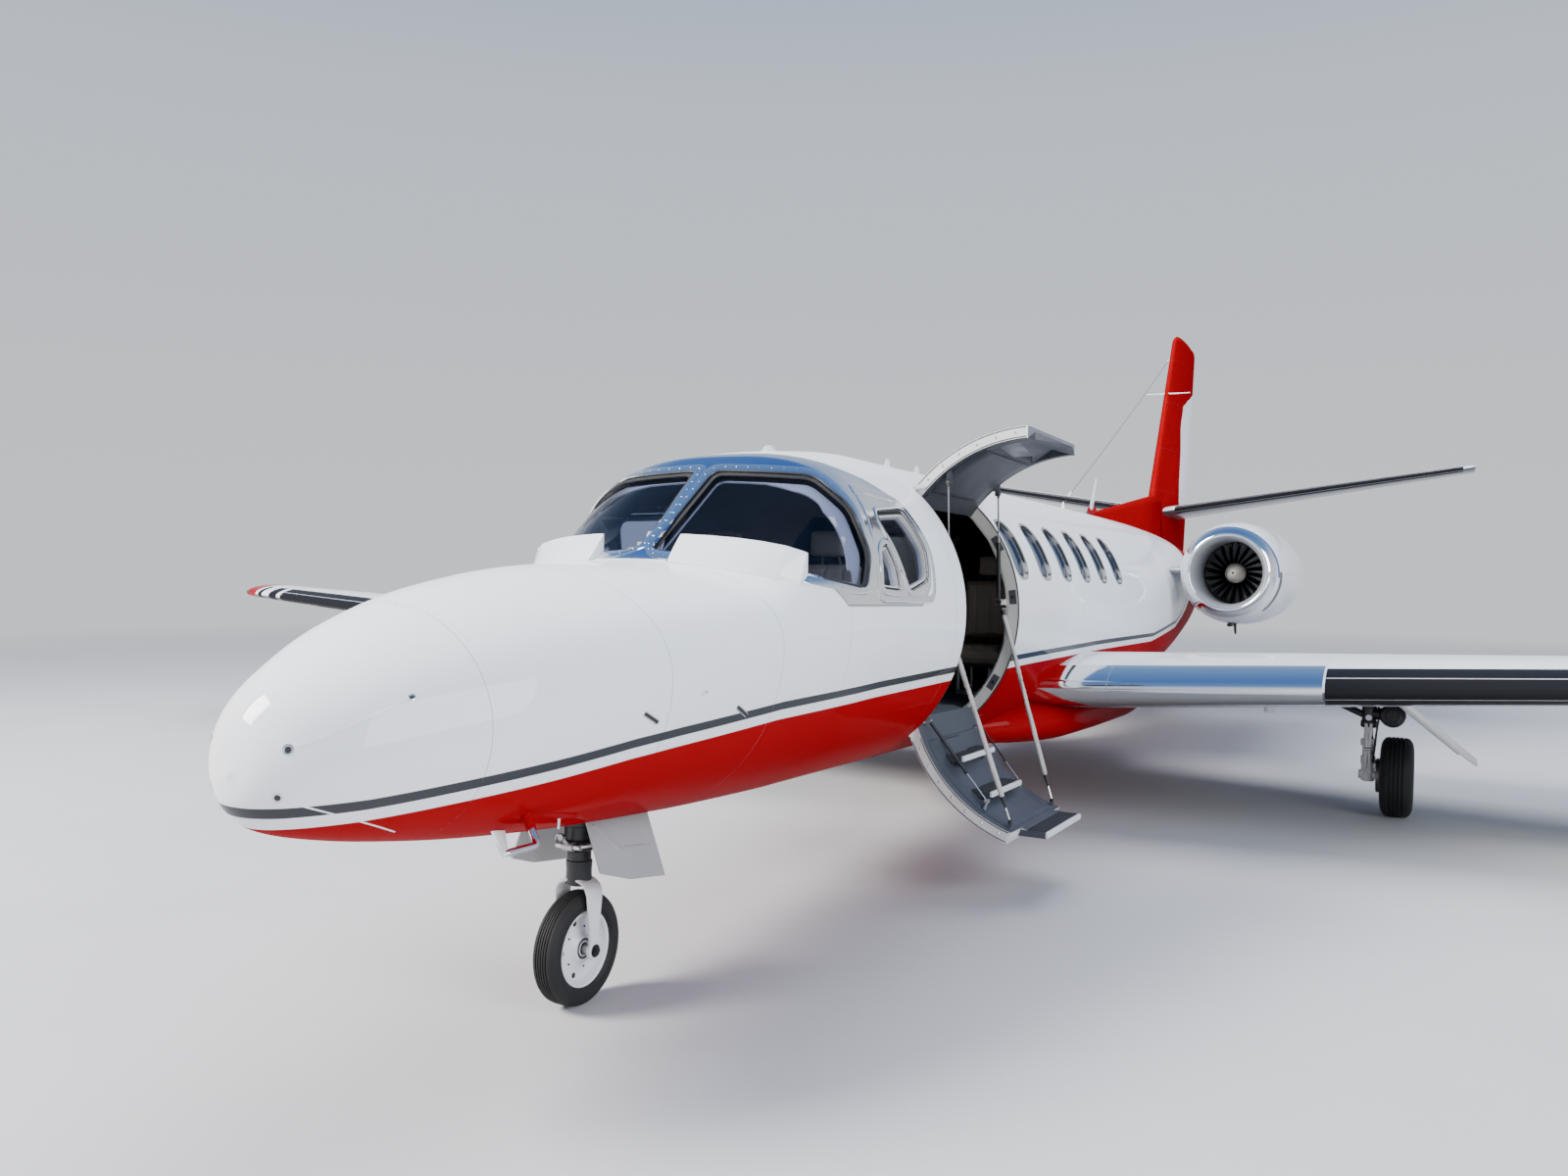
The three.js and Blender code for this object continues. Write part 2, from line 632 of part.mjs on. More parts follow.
function panelSolid(panel, from = 0, to = 1, roundTip = true) {
  const outline = foilOutline(panel);
  const rings = [from, to].map((t) => panelRing(panel, t, outline));
  if (roundTip) {
    const thick = panel.thickness * chordAt(panel, 1);
    const run = panel.rootEdge.distanceTo(panel.tipEdge);
    [0.5, 0.85].forEach((share) => {
      const squeeze = Math.sqrt(1 - share ** 2);
      const shrunk = outline.map(([along, off]) => [0.5 + (along - 0.5) * (0.75 + 0.25 * squeeze), off * squeeze]);
      rings.push(panelRing(panel, to + (share * thick * 0.7) / run, shrunk));
    });
  }
  return loft(rings);
}

// A slab square to the hinge line between two places on it
function hingeSlab(start, end, extra) {
  const run = end.clone().sub(start);
  const middle = end.clone().add(start).multiplyScalar(0.5);
  const turn = new THREE.Quaternion().setFromUnitVectors(new THREE.Vector3(1, 0, 0), run.clone().normalize());
  const geometry = new THREE.BoxGeometry(run.length() + 2 * extra, 4000, 4000);
  return toSolid(geometry.applyQuaternion(turn).translate(middle.x, middle.y, middle.z));
}

// A hinged surface on its pin, and the space that it needs in its panel
const HINGE_PIN = 6;

function controlSurface(panel, fraction, from, to) {
  const middle = camberLine(fraction, panel.camber);
  const start = panelPoint(panel, from, fraction, middle);
  const end = panelPoint(panel, to, fraction, middle);
  const margin = 0.08;
  const ends = [from - margin, to + margin];
  const surface = loft(ends.map((t) => panelRing(panel, t, surfaceOutline(panel, fraction))));
  const slot = loft(ends.map((t) => panelRing(panel, t, slotOutline(panel, fraction, chordAt(panel, t)))));
  const reach = end.clone().sub(start).setLength(RUNNING_GAP / 2 - GAP);
  const pin = rod(start.clone().sub(reach), end.clone().add(reach), HINGE_PIN);
  return {
    moving: surface.intersect(hingeSlab(start, end, -RUNNING_GAP)).add(pin),
    space: slot.intersect(hingeSlab(start, end, RUNNING_GAP / 2)),
  };
}

const UP = new THREE.Vector3(0, 0, 1);
const wingPanel = (side) => ({
  rootEdge: at(0, 5345, -540),
  tipEdge: at(side * (HALF_SPAN - 60), 6040, -105),
  rootChord: 3030,
  tipChord: 970,
  rootTwist: 2.5,
  tipTwist: -0.5,
  thickness: 0.135,
  edge: 0.0015,
  camber: 0.018,
  off: UP,
});
const tailPanel = (side) => ({
  rootEdge: at(0, 12080, 1065),
  tipEdge: at(side * 3200, 12900, 1590),
  rootChord: 1430,
  tipChord: 700,
  rootTwist: 0,
  tipTwist: 0,
  thickness: 0.1,
  edge: 0.0015,
  camber: 0,
  off: UP,
});
const FIN_PANEL = {
  rootEdge: at(0, 11560, 560),
  tipEdge: at(0, 12990, 3225),
  rootChord: 2320,
  tipChord: 1340,
  rootTwist: 0,
  tipTwist: 0,
  thickness: 0.1,
  edge: 0.0015,
  camber: 0,
  off: new THREE.Vector3(1, 0, 0),
};
const onSpan = (panel, x) => Math.abs(x) / Math.abs(panel.tipEdge.x);

// A jacking pad under each wing
const JACK_PAD = { x: 1950, station: 6500, face: -650 };

// A panel a little larger all round, to cut what meets it
const larger = (panel) => ({
  ...panel,
  rootEdge: panel.rootEdge.clone().setY(panel.rootEdge.y - 0.5),
  tipEdge: panel.tipEdge.clone().setY(panel.tipEdge.y - 0.5),
  rootChord: panel.rootChord + 1,
  tipChord: panel.tipChord + 1,
  thickness: panel.thickness + 0.0004,
  edge: panel.edge + 0.0002,
});
const wingSpace = (side) => panelSolid(larger(wingPanel(side)), onSpan(wingPanel(side), 400), 1);

// Hinged surfaces. Columns: chord fraction of the hinge, inboard and outboard ends across the span
const FLAP = [0.76, 1120, 4760];
const AILERON = [0.77, 4900, 7420];
const ELEVATOR = [0.66, 330, 3080];
const RUDDER = { fraction: 0.68, from: 0.1, to: 0.985 };

function wingPieces(side) {
  const panel = wingPanel(side);
  const [flap, aileron] = [FLAP, AILERON].map(([fraction, inboard, outboard]) => {
    return controlSurface(panel, fraction, onSpan(panel, inboard), onSpan(panel, outboard));
  });
  const clearBody = bodySolid(CABIN_JOINT, 9500, -GAP);
  const padFace = at(side * JACK_PAD.x, JACK_PAD.station, JACK_PAD.face);
  const pad = rod(padFace, padFace.clone().setZ(-480), 32);
  const wing = panelSolid(panel, onSpan(panel, 500)).subtract(clearBody).add(pad);
  return { wing: wing.subtract(flap.space).subtract(aileron.space), flap: flap.moving, aileron: aileron.moving };
}

function finPieces() {
  const rudder = controlSurface(FIN_PANEL, RUDDER.fraction, RUDDER.from, RUDDER.to);
  const dorsalRing = (t) => {
    const half = THREE.MathUtils.lerp(18, 92, t);
    const top = THREE.MathUtils.lerp(870, 1260, t);
    return [
      at(half * 1.3, 9150 + 2850 * t, 600),
      at(half, 9150 + 2850 * t, top - half * 0.9),
      at(half * 0.5, 9150 + 2850 * t, top - half * 0.2),
      at(0, 9150 + 2850 * t, top),
      at(-half * 0.5, 9150 + 2850 * t, top - half * 0.2),
      at(-half, 9150 + 2850 * t, top - half * 0.9),
      at(-half * 1.3, 9150 + 2850 * t, 600),
    ];
  };
  const dorsal = loft([0, 0.35, 0.7, 1].map(dorsalRing));
  const fin = panelSolid(FIN_PANEL, 0, 1).add(dorsal);
  return { fin: fin.subtract(bodySolid(8600, TAIL_END, -GAP)).subtract(rudder.space), rudder: rudder.moving };
}

const finSpace = () => panelSolid(larger(FIN_PANEL), -0.02, 1);

function tailPieces(side) {
  const panel = tailPanel(side);
  const [fraction, inboard, outboard] = ELEVATOR;
  const elevator = controlSurface(panel, fraction, onSpan(panel, inboard), onSpan(panel, outboard));
  const body = bodySolid(10600, TAIL_END, -GAP);
  const rudderSweep = box(at(-330, 13200, 800), at(330, 14500, 1700));
  const fixed = panelSolid(panel, onSpan(panel, 20)).subtract(body).subtract(finSpace());
  return { fixed: fixed.subtract(elevator.space).subtract(rudderSweep), elevator: elevator.moving };
}

// The fairing under the wing's middle. Columns: station, half width, top and bottom
const FAIRING_SECTIONS = [
  [4950, 300, -700, -842],
  [5250, 560, -620, -878],
  [5700, 800, -600, -905],
  [7400, 840, -600, -905],
  [8300, 740, -600, -880],
  [8850, 480, -640, -835],
  [9150, 300, -690, -800],
];

function bellyFairing() {
  const rings = FAIRING_SECTIONS.map(([station, half, top, bottom]) => {
    const middle = (top + bottom) / 2;
    return Array.from({ length: 20 }, (_, i) => {
      const angle = (i * 2 * Math.PI) / 20;
      const squash = (value) => Math.sign(value) * Math.abs(value) ** 0.7;
      return at(half * squash(Math.cos(angle)), station, middle + ((top - bottom) / 2) * squash(Math.sin(angle)));
    });
  });
  const whole = loft(rings).subtract(bodySolid(CABIN_JOINT, 9700, -GAP));
  return whole.subtract(wingSpace(1)).subtract(wingSpace(-1));
}

// Engines

// Nacelle walls as distance aft of the lip and radius: outside going aft, then the duct going forward
const NACELLE_PROFILE = [
  [0, 326],
  [12, 352],
  [45, 378],
  [140, 412],
  [400, 452],
  [900, 472],
  [1500, 460],
  [2400, 392],
  [3180, 312],
  [3180, 300],
  [2400, 352],
  [620, 352],
  [560, 285],
  [110, 278],
  [30, 296],
  [0, 326],
];
const enginePlace = (side, along = 0) => at(side * ENGINE.side, ENGINE.lip + along, ENGINE.height);

function nacelle(side) {
  const shell = lathe(NACELLE_PROFILE.map(([along, radius]) => [radius, along]), enginePlace(side), "y", 32);
  const pylonOutline = [
    [0, 0],
    [260, 52],
    [1100, 62],
    [1900, 4],
    [1900, -4],
    [1100, -62],
    [260, -52],
  ];
  const pylonRing = (x, shift) => pylonOutline.map(([along, off]) => at(side * x, 9180 + shift + along, 345 + off));
  const pylon = loft([pylonRing(560, 0), pylonRing(ENGINE.side - 330, 60)]);
  const core = lathe([[0, 300], [400, 300], [400, 2350], [0, 2350]], enginePlace(side), "y", 32);
  return shell.add(pylon.subtract(core).subtract(bodySolid(8600, 12600, -GAP)));
}

function engineBlock(side) {
  const profile = [
    [0, 590],
    [351.6, 622],
    [351.6, 2300],
    [230, 2500],
    [150, 3050],
    [0, 3120],
  ];
  return lathe(profile, enginePlace(side), "y", 32);
}

const BLADES = 20;

function fan(side) {
  const face = ENGINE.fan;
  const spinner = [
    [0, face - 130],
    [40, face - 105],
    [84, face - 30],
    [92, face + 80],
    [0, face + 110 - GAP],
  ];
  const hub = lathe(spinner, enginePlace(side), "y", 20);
  const blade = new THREE.BoxGeometry(14, 70, ENGINE.fanRadius - 80).rotateZ(0.6);
  blade.translate(0, face + 35, (ENGINE.fanRadius + 80) / 2);
  const blades = Array.from({ length: BLADES }, (_, i) => {
    const turn = blade.clone().rotateY((i * 2 * Math.PI) / BLADES);
    const place = enginePlace(side);
    return toSolid(turn.translate(place.x, place.y, place.z));
  });
  return joined([hub, ...blades]);
}

// Landing gear

// A place on the level ground under the airframe, in the airframe's own frame
function fromGround(x, station, height) {
  const level = new THREE.Vector3(x, station - (LENGTH / 2) * Math.cos(NOSE_UP), height);
  level.z -= CENTRELINE_ABOVE_GROUND;
  return level.applyAxisAngle(new THREE.Vector3(1, 0, 0), NOSE_UP);
}

const noseAxle = fromGround(0, NOSE_WHEEL.station, NOSE_WHEEL.radius);
const mainAxle = (side) => fromGround(side * MAIN_WHEEL.track, MAIN_WHEEL.station, MAIN_WHEEL.radius);

// A wheel standing on the ground: the tyre's round shoulders, then the dished rim on both faces
function wheel(size, axle) {
  const half = size.width / 2;
  const { radius, rim } = size;
  const profile = [
    [0, -half * 0.62],
    [rim * 0.35, -half * 0.62],
    [rim * 0.45, -half * 0.35],
    [rim * 0.88, -half * 0.35],
    [rim, -half * 0.72],
    [radius - half * 0.75, -half],
    [radius - half * 0.3, -half * 0.86],
    [radius, -half * 0.42],
    [radius, half * 0.42],
    [radius - half * 0.3, half * 0.86],
    [radius - half * 0.75, half],
    [rim, half * 0.72],
    [rim * 0.88, half * 0.35],
    [rim * 0.45, half * 0.35],
    [rim * 0.35, half * 0.62],
    [0, half * 0.62],
  ];
  const points = profile.map(([r, along]) => new THREE.Vector2(r, along));
  const geometry = new THREE.LatheGeometry(points, 28).rotateZ(-Math.PI / 2).rotateX(NOSE_UP);
  return toSolid(geometry.translate(axle.x, axle.y, axle.z));
}

const NOSE_STRUT = { half: 46, top: -500, collar: -985 };

function noseLeg() {
  const top = noseAxle.clone().setZ(NOSE_STRUT.top - GAP);
  const bottom = noseAxle.clone().setZ(NOSE_STRUT.collar + GAP);
  const strut = rod(bottom, top, NOSE_STRUT.half);
  const sleeve = rod(bottom.clone().setZ(bottom.z + 60), bottom.clone().setZ(bottom.z + 190), 62);
  const braceTop = at(0, 1745, NOSE_STRUT.top - 40);
  const brace = rod(noseAxle.clone().setZ(-800), braceTop, 24);
  const pin = rod(at(-134.6, 1745, NOSE_STRUT.top - 40), at(134.6, 1745, NOSE_STRUT.top - 40), 18);
  return joined([strut, sleeve, brace, pin]);
}

function noseFork() {
  const collarTop = noseAxle.clone().setZ(NOSE_STRUT.collar);
  const crown = noseAxle.z + NOSE_WHEEL.radius + 26;
  const collar = rod(noseAxle.clone().setZ(crown), collarTop, 52);
  const reach = NOSE_WHEEL.width / 2 + 16;
  const arch = new THREE.Shape();
  arch.moveTo(-reach - 14, noseAxle.z - 22);
  arch.lineTo(-reach - 14, crown - 34);
  arch.quadraticCurveTo(-reach - 14, crown + 34, -reach + 46, crown + 34);
  arch.lineTo(reach - 46, crown + 34);
  arch.quadraticCurveTo(reach + 14, crown + 34, reach + 14, crown - 34);
  arch.lineTo(reach + 14, noseAxle.z - 22);
  arch.lineTo(reach, noseAxle.z - 22);
  arch.lineTo(reach, crown - 34);
  arch.quadraticCurveTo(reach, crown + 16, reach - 46, crown + 16);
  arch.lineTo(-reach + 46, crown + 16);
  arch.quadraticCurveTo(-reach, crown + 16, -reach, crown - 34);
  arch.lineTo(-reach, noseAxle.z - 22);
  const geometry = new THREE.ExtrudeGeometry(arch, { depth: 76, bevelEnabled: false, curveSegments: 6 });
  const blades = toSolid(geometry.rotateX(Math.PI / 2).translate(0, noseAxle.y + 38, 0));
  const lobes = [-1, 1].map((side) => {
    const place = side * (reach + 7);
    return rod(noseAxle.clone().setX(place - 9), noseAxle.clone().setX(place + 9), 36);
  });
  const stubs = [-1, 1].map((side) => {
    const inner = side * (NOSE_WHEEL.width * 0.31 + GAP);
    return rod(noseAxle.clone().setX(inner), noseAxle.clone().setX(side * (reach + 4)), 20);
  });
  return joined([collar, blades, ...lobes, ...stubs]);
}

const NOSE_DOOR = { front: 1430, back: 1815, hinge: 142, top: -770, foot: 250, bottom: -1045 };

function noseGearDoor(side) {
  const top = at(side * NOSE_DOOR.hinge, NOSE_DOOR.front, NOSE_DOOR.top);
  const foot = at(side * NOSE_DOOR.foot, NOSE_DOOR.front, NOSE_DOOR.bottom);
  const ring = (station, drop) => {
    const low = top.clone().lerp(foot, drop).setY(station - LENGTH / 2);
    const high = top.clone().setY(station - LENGTH / 2);
    const thick = new THREE.Vector3(-side * 8, 0, 3);
    return [high, low, low.clone().add(thick), high.clone().add(thick)];
  };
  const door = loft([ring(NOSE_DOOR.front, 0.72), ring(NOSE_DOOR.front + 160, 0.9), ring(NOSE_DOOR.back, 1)]);
  return door.subtract(bodySolid(NOSE_JOINT, COCKPIT_JOINT, -GAP));
}

const MAIN_LEG = { inset: 182, radius: 46, piston: 34, top: -420 };

function mainLeg(side) {
  const axle = mainAxle(side);
  const legX = axle.x - side * MAIN_LEG.inset;
  const foot = axle.clone().setX(legX);
  const top = foot.clone().setZ(MAIN_LEG.top);
  const middle = foot.clone().setZ(foot.z + 330);
  const cylinder = rod(middle, top, MAIN_LEG.radius);
  const piston = rod(foot.clone().setZ(foot.z - 40), middle, MAIN_LEG.piston);
  const off = (place, x, along, up) => place.clone().add(new THREE.Vector3(side * x, along, up));
  const wheelFace = axle.clone().setX(axle.x - side * (MAIN_WHEEL.width * 0.31 + GAP));
  const lug = rod(off(foot, -60, 0, 0), wheelFace, 30);
  const brake = rod(off(axle, -130, 0, 0), off(axle, -104, 0, 0), 118, 118, 20);
  const link = rod(off(foot, 0, -70, 40), off(middle, 0, -52, 20), 15);
  const linkLow = rod(off(foot, 0, 0, 30), off(foot, 0, -78, 44), 15);
  const linkTop = rod(off(middle, 0, 0, 30), off(middle, 0, -58, 26), 15);
  const brace = rod(foot.clone().setZ(foot.z + 400), off(top, -620, 0, 0), 26);
  const trunnion = rod(off(top, 0, -170, -150), off(top, 0, 170, -150), 52);
  const leg = joined([cylinder, piston, lug, brake, link, linkLow, linkTop, brace, trunnion]);
  return leg.subtract(wingSpace(side));
}

const MAIN_DOOR = { front: 6900, back: 7330, hinge: 2625, top: -501, foot: 3180, bottom: -960 };

function mainGearDoor(side) {
  const ring = (station, reach) => {
    const top = at(side * MAIN_DOOR.hinge, station, MAIN_DOOR.top);
    const foot = at(side * MAIN_DOOR.foot, station, MAIN_DOOR.bottom);
    const low = top.clone().lerp(foot, reach);
    const thick = new THREE.Vector3(side * 9, 0, 13);
    return [top, low, low.clone().add(thick), top.clone().add(thick)];
  };
  const door = loft([ring(MAIN_DOOR.front, 0.9), ring(MAIN_DOOR.front + 90, 1), ring(MAIN_DOOR.back, 1)]);
  return door.subtract(wingSpace(side));
}

// Inside the cabin

const insideBody = (from, to) => bodySolid(from, to, WALL + GAP);

function cabinFloor() {
  const slab = box(at(-FLOOR.half, FLOOR.front, FLOOR.top - FLOOR.thick), at(FLOOR.half, FLOOR.back, FLOOR.top));
  const doorway = box(at(330, DOOR.front - 40, -700), at(700, DOOR.back + 40, -400));
  return slab.intersect(insideBody(LINING_START, 8060)).subtract(doorway);
}

// The instrument panel in side view: station and height
const PANEL_OUTLINE = [
  [2020, 95],
  [2020, -20],
  [2180, -40],
  [2230, -330],
  [2290, -330],
  [2330, 60],
  [2380, 130],
  [2360, 160],
  [2120, 165],
].map(([station, height]) => [at(0, station, 0).y, height]);

function instrumentPanel() {
  const shape = new THREE.Shape(PANEL_OUTLINE.map(([along, up]) => new THREE.Vector2(along, up)));
  const panel = cutter(shape, 0, -700, 700).intersect(insideBody(LINING_START, 2500));
  const pedestal = box(at(-110, 2200, FLOOR.top + GAP), at(110, 2560, -300));
  const slope = box(at(-110, 2200, -310), at(110, 2280, -180));
  return joined([panel, pedestal, slope]);
}

// A seat facing forward: places are measured from the middle of its front edge on the floor
function seat(x, station, width, backTop) {
  const floor = FLOOR.top + GAP;
  const half = width / 2;
  const base = box(at(x - half * 0.6, station + 80, floor), at(x + half * 0.6, station + 400, floor + 210));
  const cushion = box(at(x - half, station, floor + 200), at(x + half, station + 480, floor + 330));
  const back = box(at(x - half, station + 410, floor + 320), at(x + half, station + 520, backTop));
  const head = box(at(x - half * 0.5, station + 425, backTop - 10), at(x + half * 0.5, station + 505, backTop + 150));
  return joined([base, cushion, back, head]);
}

// Cabin seats along the left wall, by the station of the front edge
const SEAT_STATIONS = [5050, 6150];

// A patient's bed along the right wall
function stretcher() {
  const floor = FLOOR.top + GAP;
  const base = box(at(-640, 4780, floor), at(-220, 6560, floor + 330)).intersect(insideBody(4700, 6700));
  const bed = box(at(-640, 4700, floor + 320), at(-180, 6640, floor + 400)).intersect(insideBody(4650, 6700));
  return joined([base, bed]);
}

// Assembly

addPiece("radome", "whitePaint", bodySolid(0, NOSE_JOINT));
addPiece("nose_section", "whitePaint", noseSection());
addPiece("cockpit_section", "whitePaint", cockpitSection());
addPiece("cabin_section", "whitePaint", cabinSection());
addPiece("tail_cone", "whitePaint", tailCone());
addPiece("door_upper", "whitePaint", upperDoor());
addPiece("door_lower", "whitePaint", lowerDoor());
GAS_STRUT_PLACES.forEach(([name, station]) => {
  const { cylinder, piston } = gasStrut(station);
  addPiece("gas_strut_" + name, "darkMetal", cylinder);
  addPiece("gas_strut_rod_" + name, "polished", piston);
});
STRAPS.forEach((row) => addPiece("door_strap_" + row[0], "strap", strap(row)));
addPiece("cabin_floor", "greyTrim", cabinFloor());
addPiece("instrument_panel", "greyTrim", instrumentPanel());
addPiece("stretcher", "leather", stretcher());
BOTH_SIDES.forEach(([name, side]) => addPiece("pilot_seat_" + name, "leather", seat(side * 300, 2640, 400, 260)));
SEAT_STATIONS.forEach((station, i) => addPiece("cabin_seat_" + (i + 1), "leather", seat(330, station, 420, 210)));
BOTH_SIDES.forEach(([name, side]) => {
  addPiece("windscreen_" + name, "glass", screenGlass(side));
  addPiece("screen_fairing_" + name, "whitePaint", screenFairing(side));
  addPiece("side_window_" + name, "glass", sideGlass(side));
  addPiece("cabin_windows_" + name, "glass", cabinGlass(side));
  const { wing, flap, aileron } = wingPieces(side);
  addPiece("wing_" + name, "whitePaint", wing);
  addPiece("flap_" + name, "whitePaint", flap);
  addPiece("aileron_" + name, "whitePaint", aileron);
  const { fixed, elevator } = tailPieces(side);
  addPiece("tailplane_" + name, "whitePaint", fixed);
  addPiece("elevator_" + name, "whitePaint", elevator);
  addPiece("nacelle_" + name, "whitePaint", nacelle(side));
  addPiece("engine_" + name, "darkMetal", engineBlock(side));
  addPiece("fan_" + name, "darkMetal", fan(side));
  addPiece("main_wheel_" + name, "tyre", wheel(MAIN_WHEEL, mainAxle(side)));
  addPiece("main_leg_" + name, "darkMetal", mainLeg(side));
  addPiece("main_gear_door_" + name, "whitePaint", mainGearDoor(side));
  addPiece("nose_gear_door_" + name, "greyTrim", noseGearDoor(side));
});
addPiece("belly_fairing", "redPaint", bellyFairing());
const { fin, rudder } = finPieces();
addPiece("fin", "redPaint", fin);
addPiece("rudder", "whitePaint", rudder);
addPiece("nose_leg", "darkMetal", noseLeg());
addPiece("nose_fork", "castWhite", noseFork());
addPiece("nose_wheel", "tyre", wheel(NOSE_WHEEL, noseAxle));

const aircraft = new THREE.Group();
aircraft.add(airframe);
export default aircraft;
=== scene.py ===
"""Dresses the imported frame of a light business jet, parked on its gear with its cabin door open.

Sizes in the classes are millimetres on the level airframe: x towards the left wing, station aft
of the nose tip, and height above the cabin's centreline. The frame is in metres and stands
slightly nose-up on its wheels. Levelled points go to it through in_frame().
"""

from __future__ import annotations

import json
import logging
import math
from dataclasses import dataclass, field, replace
from enum import IntEnum
from functools import lru_cache
from typing import Callable, Iterable, Sequence

import bmesh
import bpy
import numpy as np
from mathutils import Matrix, Vector

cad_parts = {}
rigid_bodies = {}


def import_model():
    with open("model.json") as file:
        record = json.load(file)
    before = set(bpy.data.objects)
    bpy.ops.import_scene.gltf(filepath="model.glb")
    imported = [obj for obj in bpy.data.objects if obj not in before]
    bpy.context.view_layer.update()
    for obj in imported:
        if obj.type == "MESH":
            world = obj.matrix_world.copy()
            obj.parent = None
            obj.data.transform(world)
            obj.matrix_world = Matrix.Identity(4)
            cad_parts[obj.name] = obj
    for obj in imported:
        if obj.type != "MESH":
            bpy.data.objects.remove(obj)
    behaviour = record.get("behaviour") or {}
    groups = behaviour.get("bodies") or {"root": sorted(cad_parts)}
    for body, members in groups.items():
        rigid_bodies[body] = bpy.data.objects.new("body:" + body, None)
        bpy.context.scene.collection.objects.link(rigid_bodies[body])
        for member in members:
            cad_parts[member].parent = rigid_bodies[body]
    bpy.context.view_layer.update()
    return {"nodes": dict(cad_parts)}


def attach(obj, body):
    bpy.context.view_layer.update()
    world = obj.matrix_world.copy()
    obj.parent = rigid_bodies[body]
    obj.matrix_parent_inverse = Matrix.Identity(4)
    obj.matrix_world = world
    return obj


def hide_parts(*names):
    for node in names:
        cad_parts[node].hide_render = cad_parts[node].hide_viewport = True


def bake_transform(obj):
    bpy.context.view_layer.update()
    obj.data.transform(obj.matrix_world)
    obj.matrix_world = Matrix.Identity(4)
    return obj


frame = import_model()
log = logging.getLogger("jet")

NOSE_UP = math.radians(1.75)
RISE, RUN = math.sin(NOSE_UP), math.cos(NOSE_UP)
HALF_LENGTH = 7195.0
CENTRELINE = 1366.0

Point = Sequence[float]
Colour = tuple[float, float, float]


class Side(IntEnum):
    """A side of the aircraft, by the sign of its x."""

    LEFT = 1
    RIGHT = -1

    @property
    def label(self) -> str:
        """The side's name, as the names of nodes and pieces end."""
        return self.name.lower()


# Places

def in_frame(points: np.ndarray) -> np.ndarray:
    """Points on the level airframe, in millimetres, as the frame's metres.

    Args:
        points: rows of x, station and height.

    Returns:
        Rows of X, Y and Z in metres.
    """
    x, station, height = np.asarray(points, float).reshape(-1, 3).T
    along = station - HALF_LENGTH
    rows = [x, along * RUN + height * RISE, CENTRELINE - along * RISE + height * RUN]
    return np.stack(rows, 1) / 1000


def on_airframe(points: np.ndarray) -> np.ndarray:
    """The frame's metres as x, station and height in millimetres.

    Args:
        points: rows of X, Y and Z in metres.

    Returns:
        Rows of x, station and height.
    """
    x, y, z = np.asarray(points, float).reshape(-1, 3).T * 1000
    up = z - CENTRELINE
    return np.stack([x, y * RUN - up * RISE + HALF_LENGTH, y * RISE + up * RUN], 1)


def headings_in_frame(headings: np.ndarray) -> np.ndarray:
    """Directions on the level airframe as directions in the frame."""
    x, along, up = np.asarray(headings, float).reshape(-1, 3).T
    return np.stack([x, along * RUN + up * RISE, up * RUN - along * RISE], 1)


def unit(rows: np.ndarray) -> np.ndarray:
    """Rows scaled to length one."""
    return rows / np.maximum(np.linalg.norm(rows, axis=1, keepdims=True), 1e-12)


def between(start: Point, end: Point, share: float) -> np.ndarray:
    """The place at a share of the way from start to end."""
    return start + (end - start) * share


def signed_power(values: np.ndarray, power: float) -> np.ndarray:
    """The values to a power, with their signs kept."""
    return np.sign(values) * np.abs(values) ** power


def smoothed(path: Sequence[Point], rounds: int = 3) -> np.ndarray:
    """A path with its corners cut, ends kept."""
    path = np.array(path, float)
    for _ in range(rounds):
        cut = [path[0]]
        for a, b in zip(path, path[1:]):
            cut += [a * 0.75 + b * 0.25, a * 0.25 + b * 0.75]
        cut.append(path[-1])
        path = np.array(cut)
    return path


def first_guide(way: np.ndarray) -> np.ndarray:
    """The upward direction, or the aft one where way points up."""
    return np.array([0.0, 0, 1]) if abs(way[2]) < 0.9 else np.array([0.0, 1, 0])


def spokes(way: np.ndarray, guide: np.ndarray, count: int) -> tuple[np.ndarray, np.ndarray]:
    """Unit spokes round a heading.

    Args:
        way: the heading.
        guide: a direction that the spokes are numbered from.
        count: how many.

    Returns:
        The spokes, and the direction square to way nearest the guide.
    """
    across = np.cross(way, guide)
    across /= np.linalg.norm(across)
    up = np.cross(across, way)
    angle = np.linspace(0, 2 * math.pi, count, endpoint=False)[:, None]
    return np.cos(angle) * across + np.sin(angle) * up, up


def placed(name: str, data: bpy.types.ID) -> bpy.types.Object:
    """A new object in the scene."""
    made = bpy.data.objects.new(name, data)
    bpy.context.scene.collection.objects.link(made)
    return made


def read(items: bpy.types.bpy_prop_collection, what: str, width: int = 1,
         kind: type = float) -> np.ndarray:
    """An attribute of every item, as numbers or as rows of width."""
    values = np.zeros(len(items) * width, kind)
    items.foreach_get(what, values)
    return values if width == 1 else values.reshape(-1, width)


# Node trees

